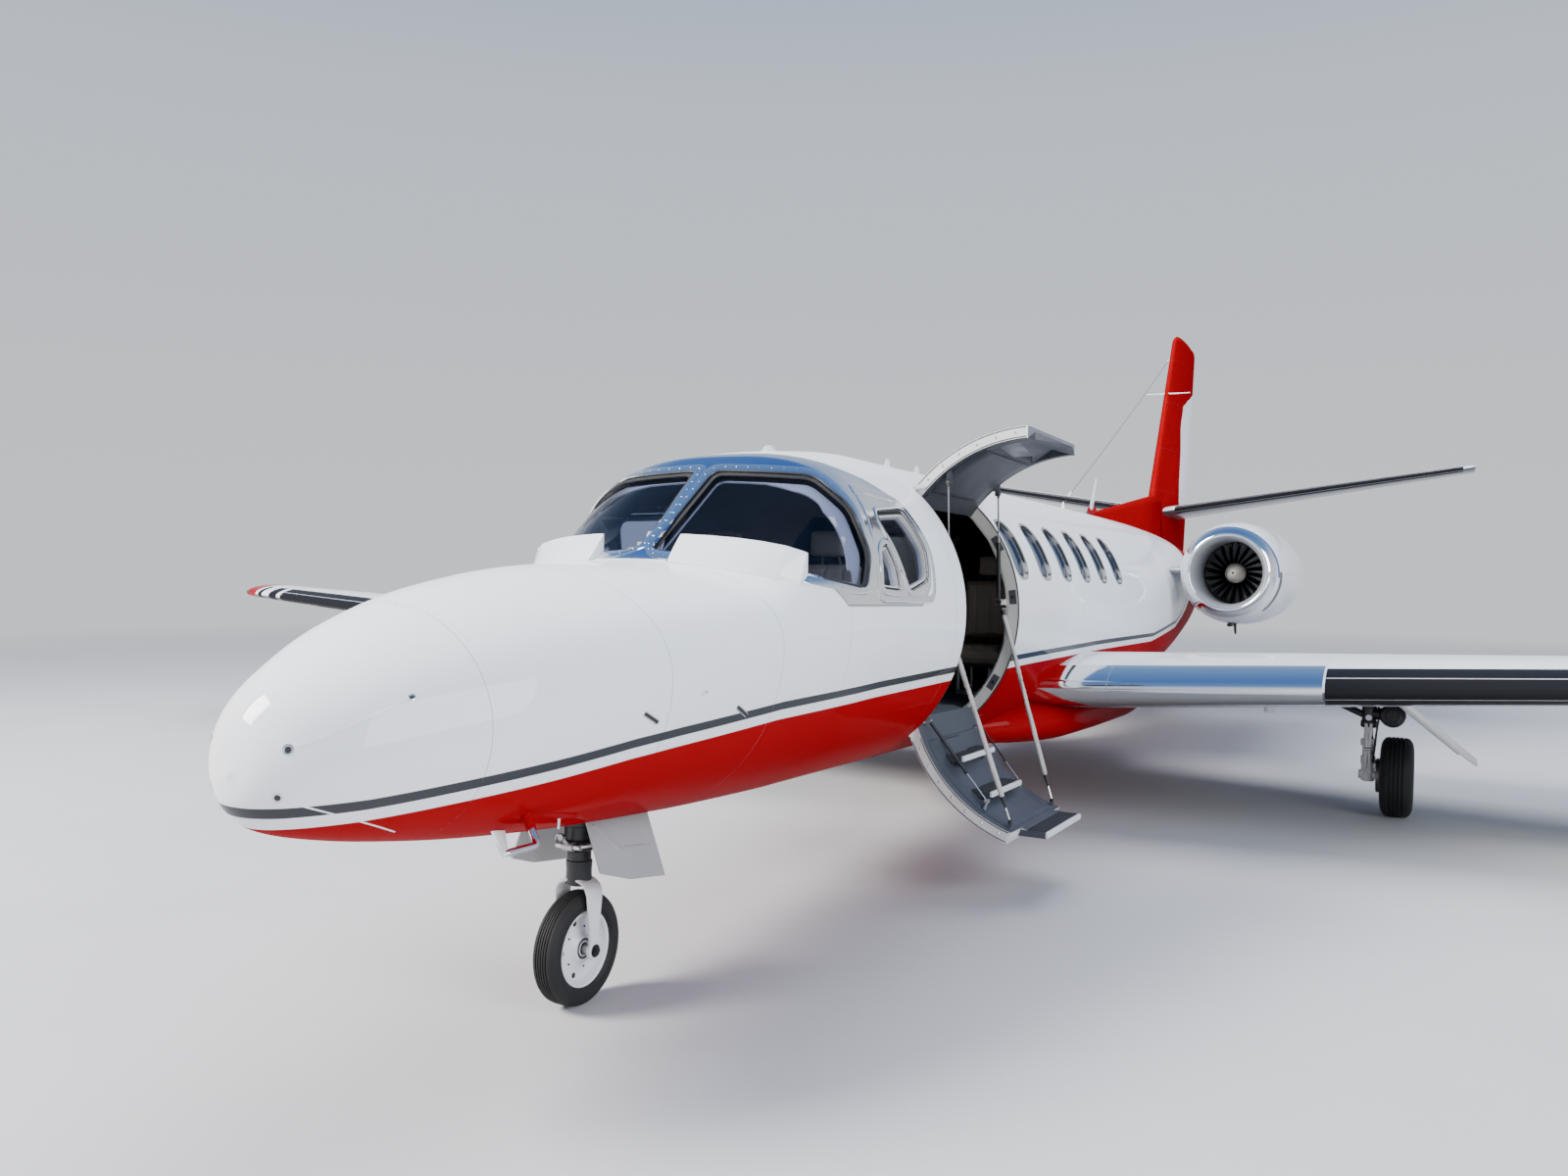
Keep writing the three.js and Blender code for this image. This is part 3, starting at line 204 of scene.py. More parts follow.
class Tree:
    """A node tree, and the one way to add nodes to it."""

    def __init__(self, tree: bpy.types.NodeTree) -> None:
        """Empties the tree."""
        self.tree = tree
        self.tree.nodes.clear()

    def node(self, kind: str, values: dict | None = None, **settings: object) -> bpy.types.Node:
        """Adds a node.

        Args:
            kind: the node's type.
            values: numbers, colours or links, by socket name or number.
            settings: attributes set first, with a ramp's stops as (place, colour) pairs.

        Returns:
            The node.
        """
        node = self.tree.nodes.new(kind)
        for number, (place, colour) in enumerate(settings.pop("stops", ())):
            elements = node.color_ramp.elements
            element = elements[number] if number < 2 else elements.new(place)
            element.position, element.color = place, (*colour, 1)
        for key, setting in settings.items():
            setattr(node, key, setting)
        for key, value in (values or {}).items():
            socket = node.inputs[key]
            value = value.socket if isinstance(value, Value) else value
            if isinstance(value, bpy.types.NodeSocket):
                self.tree.links.new(value, socket)
            elif socket.type == "RGBA":
                socket.default_value = (*value[:3], 1)
            else:
                socket.default_value = value
        return node


class Value:
    """A number that varies over a surface. Sums written on it add Math nodes."""

    def __init__(self, coat: Coat, socket: bpy.types.NodeSocket) -> None:
        """Keeps the socket that gives the number, and the coat that it is part of."""
        self.coat = coat
        self.socket = socket

    def __add__(self, other: Value | float) -> Value:
        """Self plus other."""
        return self.coat.sum("ADD", self, other)

    def __sub__(self, other: Value | float) -> Value:
        """Self less other."""
        return self.coat.sum("SUBTRACT", self, other)

    def __mul__(self, other: Value | float) -> Value:
        """Self times other."""
        return self.coat.sum("MULTIPLY", self, other)

    def __truediv__(self, other: Value | float) -> Value:
        """Self over other."""
        return self.coat.sum("DIVIDE", self, other)

    def __rsub__(self, other: float) -> Value:
        """Other less self."""
        return self.coat.sum("SUBTRACT", other, self)

    def __abs__(self) -> Value:
        """The size without the sign."""
        return self.coat.sum("ABSOLUTE", self)

    __radd__ = __add__
    __rmul__ = __mul__

    def most(self, other: Value | float) -> Value:
        """The larger of the two."""
        return self.coat.sum("MAXIMUM", self, other)

    def power(self, other: float) -> Value:
        """Self to a power."""
        return self.coat.sum("POWER", self, other)

    def wave(self) -> Value:
        """The sine of self."""
        return self.coat.sum("SINE", self)

    def over(self, limit: Value | float, blur: float = 1.0) -> Value:
        """1 where self is over the limit and 0 where it is under, across a blurred edge."""
        return self.coat.sum("ADD", (self - limit) / blur, 0.5, clamp=True)

    def under(self, limit: Value | float, blur: float = 1.0) -> Value:
        """1 where self is under the limit and 0 where it is over, across a blurred edge."""
        return self.coat.sum("SUBTRACT", 0.5, (self - limit) / blur, clamp=True)

    def within(self, low: Value | float, high: Value | float, blur: float = 1.0) -> Value:
        """1 where self is between the two limits."""
        return self.over(low, blur) * self.under(high, blur)


Input = Value | float | Sequence[float] | bpy.types.NodeSocket


class Coat(Tree):
    """One material and what its tree is put together from."""

    def __init__(self, name: str) -> None:
        """Starts an empty tree with its output.

        Args:
            name: the material's name.
        """
        self.material = bpy.data.materials.new(name)
        self.material.use_nodes = True
        super().__init__(self.material.node_tree)
        self.end = self.tree.nodes.new("ShaderNodeOutputMaterial")
        self._place: tuple[Value, Value, Value] | None = None

    def sum(self, operation: str, *terms: Value | float, clamp: bool = False) -> Value:
        """One Math node on the terms."""
        node = self.node("ShaderNodeMath", dict(enumerate(terms)), operation=operation, use_clamp=clamp)
        return Value(self, node.outputs[0])

    def place(self) -> tuple[Value, Value, Value]:
        """The surface's x, station and height in millimetres on the level airframe."""
        if self._place is None:
            coords = self.node("ShaderNodeTexCoord")
            split = self.node("ShaderNodeSeparateXYZ", {0: coords.outputs["Object"]})
            x, y, z = (Value(self, socket) * 1000 for socket in split.outputs)
            up = z - CENTRELINE
            self._place = (x, y * RUN - up * RISE + HALF_LENGTH, y * RISE + up * RUN)
        return self._place

    def noise(self, size: float, detail: float = 2.0, stretch: Point = (1, 1, 1)) -> Value:
        """Soft noise about 0.5.

        Args:
            size: the grain's size in millimetres.
            detail: finer layers on it.
            stretch: how much longer the grain is along X, Y and Z.

        Returns:
            The noise.
        """
        coords = self.node("ShaderNodeTexCoord")
        scale = [1 / s for s in stretch]
        mapped = self.node("ShaderNodeMapping", {0: coords.outputs["Object"], 3: scale})
        values = {"Vector": mapped.outputs[0], "Scale": 1000 / size, "Detail": detail}
        return Value(self, self.node("ShaderNodeTexNoise", values).outputs[0])

    def mix(self, share: Value | float, low: Input, high: Input) -> bpy.types.NodeSocket:
        """The colour low, going to high as share goes to 1."""
        return self.node("ShaderNodeMix", {0: share, 6: low, 7: high}, data_type="RGBA").outputs[2]

    def mottled(self, patches: Value, colour: Colour, darker: float = 0.95) -> bpy.types.NodeSocket:
        """The colour, going halfway to a darker share of itself in the patches."""
        return self.mix(patches * 0.5, colour, tuple(c * darker for c in colour))

    def lines(self, value: Value, places: Iterable[float], width: float) -> Value:
        """1 on thin lines at the listed places."""
        found: Value | None = None
        for spot in places:
            line = abs(value - spot).under(width / 2, width / 2)
            found = line if found is None else found.most(line)
        return found

    def bump(self, height: Value, depth: float) -> bpy.types.NodeSocket:
        """A bumped normal, raised by depth millimetres where height is 1."""
        values = {"Strength": 1.0, "Distance": depth / 1000, "Height": height}
        return self.node("ShaderNodeBump", values).outputs[0]

    def shade(self, values: dict) -> bpy.types.Material:
        """Ends the tree in a Principled surface.

        Args:
            values: the surface's numbers and links by socket name.

        Returns:
            The material.
        """
        surface = self.node("ShaderNodeBsdfPrincipled", values)
        self.tree.links.new(surface.outputs[0], self.end.inputs[0])
        return self.material


@dataclass(frozen=True)
class Finish:
    """A plain finish with a little mottling, wear in its gloss and a fine grain.

    Attributes:
        name: the material's name.
        colour: linear colour.
        roughness: middle roughness.
        metal: 1 for bare metal.
        mottle: how much the colour varies.
        grain: the grain's size in millimetres.
        stretch: how much longer the grain is along X, Y and Z.
        relief: the grain's depth in millimetres.
        coat: clear coat weight.
        shine: how strongly the surface under the coat mirrors.
    """

    name: str
    colour: Colour
    roughness: float = 0.4
    metal: float = 0.0
    mottle: float = 0.12
    grain: float = 6.0
    stretch: tuple[float, float, float] = (1, 1, 1)
    relief: float = 0.05
    coat: float = 0.0
    shine: float = 0.5

    def surface(self, coat: Coat) -> dict:
        """The values of the finish's Principled surface."""
        patches = coat.noise(180, 3)
        grain = coat.noise(self.grain, 2, self.stretch)
        shade = self.mottle * (0.6 * patches + 0.4 * grain)
        darker = tuple(c * (1 - self.mottle * 1.6) for c in self.colour)
        return {
            "Base Color": coat.mix(shade / max(self.mottle, 1e-3), self.colour, darker),
            "Roughness": self.roughness * (0.85 + 0.3 * patches),
            "Metallic": self.metal,
            "Coat Weight": self.coat,
            "Coat Roughness": 0.06,
            "Specular IOR Level": self.shine,
            "Normal": coat.bump(grain, self.relief),
        }

    def material(self) -> bpy.types.Material:
        """The finish's material, made once."""
        return made_once(self)


@lru_cache(maxsize=None)
def made_once(finish: Finish) -> bpy.types.Material:
    """Builds a finish's material the first time that it is asked for."""
    coat = Coat(finish.name)
    return coat.shade(finish.surface(coat))


WHITE: Colour = (0.83, 0.84, 0.86)
RED: Colour = (0.3, 0.002, 0.005)
GREY: Colour = (0.035, 0.037, 0.042)

WHITE_GLOSS = Finish("white_gloss", WHITE, 0.2, mottle=0.03, grain=40, relief=0.02, coat=0.6)
RED_GLOSS = Finish("red_gloss", RED, 0.16, mottle=0.08, grain=40, relief=0.02, coat=0.12, shine=0.0)
GEAR_DOOR_GREY = Finish("gear_door_grey", (0.36, 0.36, 0.37), 0.38, mottle=0.15, grain=3, coat=0.2)
POLISHED = Finish("polished_metal", (0.86, 0.87, 0.88), 0.09, 1.0, 0.03, 30, relief=0.02)
BRIGHT = Finish("bright_steel", (0.7, 0.71, 0.72), 0.18, 1.0, 0.06, 2, (1, 1, 8), 0.01)
ALUMINIUM = Finish("worn_aluminium", (0.5, 0.51, 0.52), 0.36, 1.0, 0.12, 1.5, (6, 1, 1), 0.02)
ROD_STEEL = Finish("rod_steel", (0.2, 0.2, 0.21), 0.25, 1.0, 0.1, 6)
DARK_STEEL = Finish("dark_steel", (0.022, 0.023, 0.026), 0.38, 0.3, 0.2, 2, relief=0.04)
BLACK_RUBBER = Finish("black_rubber", (0.012, 0.012, 0.013), 0.55, grain=1.5, relief=0.06)
TYRE = Finish("tyre_rubber", (0.008, 0.008, 0.009), 0.72, mottle=0.35, grain=1.2, relief=0.12)
WHEEL_WHITE = Finish("wheel_paint", (0.74, 0.75, 0.77), 0.32, mottle=0.08, grain=2, coat=0.2)
CAST_WHITE = Finish("white_casting", (0.76, 0.76, 0.77), 0.42, mottle=0.1, grain=2.5, relief=0.15)
# The cabin's inner lining, painted dark grey as the shade inside the cabin; the lining itself is cream.
LINING = Finish("cabin_lining", (0.13, 0.13, 0.145), 0.75, grain=2.2, relief=0.2)
DOOR_LINING = Finish("door_lining", (0.016, 0.018, 0.027), 0.5, grain=2.5, relief=0.15)
REVEAL = Finish("edge_paint", (0.5, 0.47, 0.43), 0.5, grain=3)
SEAL = Finish("door_seal", (0.02, 0.02, 0.022), 0.6, grain=2, relief=0.1)
BLADE = Finish("fan_blade", (0.2, 0.205, 0.22), 0.26, 1.0, 0.1, 1.2, (1, 1, 9), 0.01)
DUCT = Finish("duct_paint", (0.32, 0.33, 0.35), 0.38, 0.2, grain=4)
SOOTY = Finish("heated_metal", (0.16, 0.14, 0.125), 0.42, 1.0, 0.35, 5, (1, 6, 1), 0.05)
CARPET = Finish("carpet", (0.045, 0.05, 0.065), 0.95, mottle=0.3, grain=1.6, relief=0.9)
PANEL_BLACK = Finish("panel_black", (0.02, 0.02, 0.022), 0.55, grain=1.5, relief=0.08)
LEATHER = Finish("seat_leather", (0.42, 0.35, 0.27), 0.55, mottle=0.15, grain=3.2, relief=0.35)
BED_CLOTH = Finish("bed_cloth", (0.55, 0.57, 0.6), 0.85, mottle=0.1, grain=1.4, relief=0.3)
SPINNER = Finish("spinner_paint", (0.58, 0.54, 0.47), 0.36, mottle=0.08, grain=4)
DOOR_FRAME = Finish("door_frame_paint", (0.66, 0.66, 0.64), 0.38, grain=5, relief=0.06, coat=0.2)
END_GREY = Finish("door_end_grey", (0.13, 0.14, 0.165), 0.42, grain=5, relief=0.06, coat=0.2)
DOOR_SLATE = Finish("door_slate", (0.05, 0.057, 0.074), 0.48, mottle=0.15, grain=3, relief=0.12)
TREAD_METAL = Finish("tread_metal", (0.06, 0.066, 0.08), 0.5, 0.2, 0.2, 3, relief=0.1)
TREAD_MAT = Finish("tread_mat", (0.03, 0.032, 0.037), 0.85, mottle=0.25, grain=1.5, relief=0.5)
BLACK_PAINT = Finish("black_paint", (0.006, 0.006, 0.007), 0.4, mottle=0.1, grain=2.5, coat=0.1)
KNOB_ORANGE = Finish("orange_knob", (0.75, 0.12, 0.02), 0.35, grain=1, coat=0.3)
SLEEVE_CLOTH = Finish("sleeve_cloth", (0.5, 0.47, 0.44), 0.9, mottle=0.16, grain=1.1, relief=0.5)
LINING_CREAM = Finish("lining_cream", (0.66, 0.62, 0.61), 0.6, mottle=0.1, grain=6, relief=0.05)
JAMB_CREAM = Finish("jamb_paint", (0.6, 0.58, 0.52), 0.42, mottle=0.08, grain=6, relief=0.05)
PLATE_GREY = Finish("bare_plate", (0.1, 0.1, 0.105), 0.45, 0.4, 0.15, 2)
SILL_GREY = Finish("sill_paint", (0.16, 0.175, 0.2), 0.4, 0.2, 0.1, 4, relief=0.08)
BRAKE_STEEL = Finish("brake_steel", (0.2, 0.19, 0.18), 0.4, 1.0, 0.2, 2, (8, 1, 1), 0.03)
HOSE_GREY = Finish("braided_hose", (0.2, 0.21, 0.22), 0.5, 0.5, 0.25, 0.8, relief=0.3)
BELT_WEB = Finish("belt_webbing", (0.05, 0.055, 0.07), 0.85, mottle=0.2, grain=0.8, relief=0.4)
CABINET_GREY = Finish("cabinet_grey", (0.3, 0.31, 0.33), 0.5, grain=4, relief=0.05)
BLANKET = Finish("blanket_cloth", (0.55, 0.5, 0.42), 0.92, mottle=0.14, grain=1.6, relief=0.6)
SCREEN_FACE = Finish("display_face", (0.008, 0.01, 0.014), 0.12, grain=8, coat=0.5)
DIAL_FACE = Finish("dial_face", (0.03, 0.032, 0.036), 0.35, mottle=0.4, grain=6)
LAMP_CLEAR = Finish("lamp_lens", (0.6, 0.62, 0.64), 0.1, grain=5, coat=0.8)
LAMP_RED = Finish("red_lens", (0.4, 0.01, 0.008), 0.12, grain=5, coat=0.8)
LAMP_GREEN = Finish("green_lens", (0.01, 0.25, 0.06), 0.12, grain=5, coat=0.8)


# Smooth forms that the frame's faceted skins were cut from

class Form:
    """A smooth surface, with the distance from it and its normals."""

    def distance(self, points: np.ndarray) -> np.ndarray:
        """How far each point is outside the surface, in millimetres."""
        raise NotImplementedError

    def normals(self, points: np.ndarray, facing: np.ndarray) -> np.ndarray:
        """Unit normals at points.

        Args:
            points: rows of x, station and height.
            facing: the faceted faces' own normals, which tell the two sides apart.

        Returns:
            Rows of unit normals.
        """
        raise NotImplementedError

    def settled(self, points: np.ndarray, depth: float) -> np.ndarray:
        """The points moved onto the surface, or to a depth under it."""
        for _ in range(3):
            out = self.normals(points, np.zeros_like(points))
            points = points - out * (self.distance(points) + depth)[:, None]
        return points


# Columns: station, top, bottom, waist height, half width and squareness of the upper half
BODY_SECTIONS = np.array([
    [0, -418, -442, -430, 12, 2],
    [12, -345, -505, -425, 80, 2],
    [40, -275, -560, -420, 138, 2],
    [95, -200, -608, -410, 205, 2],
    [230, -108, -652, -390, 305, 2],
    [450, 5, -697, -352, 415, 2],
    [800, 112, -746, -290, 545, 2],
    [1250, 182, -786, -205, 655, 2.05],
    [1850, 222, -818, -110, 748, 2.2],
    [1870, 228, -819, -108, 750, 2.2],
    [2500, 690, -834, -30, 815, 2.9],
    [2560, 722, -835, -22, 818, 2.8],
    [3000, 792, -835, 0, 830, 2.2],
    [3560, 835, -835, 0, 835, 2],
    [8150, 835, -835, 0, 835, 2],
    [9300, 830, -770, 15, 812, 2],
    [10600, 808, -545, 65, 715, 2],
    [11900, 755, -215, 160, 545, 2],
    [13000, 680, 110, 300, 320, 2],
    [13700, 600, 370, 450, 125, 2],
    [13960, 545, 460, 500, 40, 2],
])
NOSE_JOINT, TAIL_END = 560, 13960


class BodyForm(Form):
    """The body's oval skin."""

    def __init__(self) -> None:
        """Works out the slopes that keep the curves through the sections free of waves."""
        rises = np.diff(BODY_SECTIONS[:, 1:], axis=0) / np.diff(BODY_SECTIONS[:, :1], axis=0)
        before, after = rises[:-1], rises[1:]
        level = before * after <= 0
        total = np.where(level, 1, before + after)
        self.slopes = np.zeros_like(BODY_SECTIONS[:, 1:])
        self.slopes[1:-1] = np.where(level, 0, 2 * before * after / total)

    def section(self, station: np.ndarray) -> tuple[np.ndarray, ...]:
        """Top, bottom, waist height, half width and squareness at stations."""
        s = np.clip(station, 0, TAIL_END)
        i = np.clip(np.searchsorted(BODY_SECTIONS[:, 0], s, "right") - 1, 0, len(BODY_SECTIONS) - 2)
        run = BODY_SECTIONS[i + 1, 0] - BODY_SECTIONS[i, 0]
        t = ((s - BODY_SECTIONS[i, 0]) / run)[..., None]
        start, end = BODY_SECTIONS[i, 1:], BODY_SECTIONS[i + 1, 1:]
        value = start * (1 + 2 * t) * (1 - t) ** 2 + end * t * t * (3 - 2 * t)
        bend = self.slopes[i] * t * (1 - t) ** 2 + self.slopes[i + 1] * t * t * (t - 1)
        return tuple(np.moveaxis(value + run[..., None] * bend, -1, 0))

    def oval(self, station: np.ndarray, height: np.ndarray) -> tuple[np.ndarray, ...]:
        """Waist height, half width, reach above or below the waist, and squareness."""
        top, bottom, waist, half, square = self.section(station)
        upper = height > waist
        return waist, half, np.where(upper, top - waist, waist - bottom), np.where(upper, square, 2.0)

    def level(self, points: np.ndarray) -> np.ndarray:
        """How many times further out than the skin each point is."""
        x, station, height = points.T
        waist, half, reach, power = self.oval(station, height)
        across, up = np.abs(x) / half, np.abs(height - waist) / reach
        return (across**power + up**power) ** (1 / power)

    def slope(self, points: np.ndarray) -> np.ndarray:
        """How the level changes over a millimetre along each axis."""
        steps = np.eye(3) / 2
        return np.stack([self.level(points + step) - self.level(points - step) for step in steps], 1)

    def normals(self, points: np.ndarray, facing: np.ndarray) -> np.ndarray:
        """Unit normals, from how the level changes about each point."""
        return unit(self.slope(points))

    def distance(self, points: np.ndarray) -> np.ndarray:
        """How far each point is outside the skin."""
        steep = np.linalg.norm(self.slope(points), axis=1)
        return (self.level(points) - 1) / np.maximum(steep, 1e-9)

    def side(self, station: np.ndarray, height: np.ndarray, proud: float = 0.0) -> np.ndarray:
        """Rows of points on the left side at stations and heights, raised off the skin by proud."""
        station, height = np.broadcast_arrays(np.asarray(station, float), height)
        waist, half, reach, power = self.oval(station, height)
        left = 1 - np.clip(np.abs(height - waist) / reach, 0, 1) ** power
        points = np.stack([half * left ** (1 / power), station, height], -1).reshape(-1, 3)
        return points + self.normals(points, points) * proud

    def struck(self, start: np.ndarray, heading: Point, proud: float = 0.0) -> np.ndarray:
        """Where lines from outside points meet the skin.

        Args:
            start: rows of points outside the body.
            heading: the lines' common direction.
            proud: how far the result is raised off the skin.

        Returns:
            Rows of points.
        """
        way = unit(np.array([heading], float))
        near = np.zeros(len(start))
        for _ in range(60):
            near = near + np.maximum(self.distance(start + way * near[:, None]), 0.02) * 0.6
        points = start + way * near[:, None]
        return points + self.normals(points, points) * proud

    def roof(self, x: float, station: float) -> float:
        """The skin's height above the waist at a place."""
        top, _, waist, half, square = (float(v[0]) for v in self.section(np.array([station])))
        return waist + (top - waist) * (1 - (abs(x) / half) ** square) ** (1 / square)

    def ring(self, station: float, count: int, inset: float = 0.0) -> np.ndarray:
        """Points round the body at one station."""
        top, bottom, waist, half, square = (float(v) for v in self.section(np.array(station)))
        angle = np.linspace(0, 2 * math.pi, count, endpoint=False)
        power = np.where(angle < math.pi, square, 2.0)
        reach = np.where(angle < math.pi, top - waist, waist - bottom) - inset
        across, up = (signed_power(turn(angle), 2 / power) for turn in (np.cos, np.sin))
        return np.stack([(half - inset) * across, np.full(count, float(station)), waist + reach * up], 1)

    def outward(self, spot: np.ndarray) -> np.ndarray:
        """The way out of the skin at one place."""
        return self.normals(spot[None], spot[None])[0]


BODY = BodyForm()


@dataclass(frozen=True)
class FoilForm(Form):
    """A straight tapered wing, tailplane or fin panel.

    Attributes:
        root: the leading edge's root end, as x, station and height.
        tip: its other end.
        chords: root and tip chord.
        twists: root and tip twist in degrees.
        thickness: share of the chord.
        camber: share of the chord.
        upright: whether the panel stands up, as a fin.
    """

    root: tuple[float, float, float]
    tip: tuple[float, float, float]
    chords: tuple[float, float]
    twists: tuple[float, float] = (0.0, 0.0)
    thickness: float = 0.1
    camber: float = 0.0
    upright: bool = False

    def frame_at(self, points: np.ndarray) -> tuple[np.ndarray, ...]:
        """Span share, chord share, offset share and chord at each point."""
        root, tip = np.array(self.root), np.array(self.tip)
        axis = 2 if self.upright else 0
        t = (points[:, axis] - root[axis]) / (tip[axis] - root[axis])
        chord = between(*self.chords, t)
        twist = np.radians(between(*self.twists, t))
        edge = between(root, tip, t[:, None])
        aft = points[:, 1] - edge[:, 1]
        off = points[:, 0] - edge[:, 0] if self.upright else points[:, 2] - edge[:, 2]
        c = (aft * np.cos(twist) - off * np.sin(twist)) / chord
        return t, c, (off * np.cos(twist) + aft * np.sin(twist)) / chord, chord

    def half(self, c: np.ndarray) -> np.ndarray:
        """Half thickness at chord shares, as a share of the chord."""
        c = np.clip(c, 0, 1)
        shape = 0.2969 * np.sqrt(c) - 0.126 * c - 0.3516 * c**2 + 0.2843 * c**3 - 0.1036 * c**4
        return np.maximum(5 * self.thickness * shape, 0.0015 * np.clip(c * 400, 0, 1))

    def middle(self, c: np.ndarray) -> np.ndarray:
        """The camber line's offset at chord shares."""
        c = np.clip(c, 0, 1)
        front = (0.8 * c - c**2) / 0.16
        rear = (0.2 + 0.8 * c - c**2) / 0.36
        return self.camber * np.where(c < 0.4, front, rear)

    def distance(self, points: np.ndarray) -> np.ndarray:
        """How far each point is outside the surface, across the chord."""
        t, c, off, chord = self.frame_at(points)
        away = (np.abs(off - self.middle(c)) - self.half(c)) * chord
        return np.where((t > 1.0004) | (c > 1.0005), 999.0, away)

    def normals(self, points: np.ndarray, facing: np.ndarray) -> np.ndarray:
        """Unit normals, with the side taken from the faces where it is known."""
        t, c, off, chord = self.frame_at(points)
        known = facing[:, 0 if self.upright else 2]
        side = np.where(np.abs(known) > 0.05, known, off - self.middle(c))
        side = np.where(side >= 0, 1.0, -1.0)
        step = 0.0004
        low, high = np.clip(c - step, 0, 1), np.clip(c + step, 0, 1)
        rise = self.middle(high) - self.middle(low) + side * (self.half(high) - self.half(low))
        slope = rise / np.maximum(high - low, 1e-6)
        aft, out = -slope * side, np.ones_like(slope)
        twist = np.radians(between(*self.twists, t))
        along = aft * np.cos(twist) + side * out * np.sin(twist)
        away = side * out * np.cos(twist) - aft * np.sin(twist)
        span = np.array(self.tip) - np.array(self.root)
        span = span / np.linalg.norm(span)
        if self.upright:
            rows = np.stack([away, along, np.zeros_like(along)], 1)
        else:
            rows = np.stack([np.zeros_like(along), along, away], 1)
        return unit(rows - (rows @ span)[:, None] * span)

    def settled(self, points: np.ndarray, depth: float) -> np.ndarray:
        """The points moved across the chord onto the surface."""
        t, c, off, chord = self.frame_at(points)
        side = np.where(off >= self.middle(c), 1.0, -1.0)
        move = (self.middle(c) + side * self.half(c) - off) * chord
        moved = points.copy()
        moved[:, 0 if self.upright else 2] += np.where((c > 0.0005) & (t <= 1.0004), move, 0)
        return moved


WINGS = {side: FoilForm((0, 5345, -540), (side * 7890, 6040, -105), (3030, 970), (2.5, -0.5), 0.135,
                        0.018) for side in Side}
TAILPLANES = {side: FoilForm((0, 12080, 1065), (side * 3200, 12900, 1590), (1430, 700)) for side in Side}
FIN = FoilForm((0, 11560, 560), (0, 12990, 3225), (2320, 1340), upright=True)


# Pieces

# Points nearer than this, in metres, are merged
MERGED = 2e-5
# A skin deeper than this under its form faces inwards
INWARD = 50.0


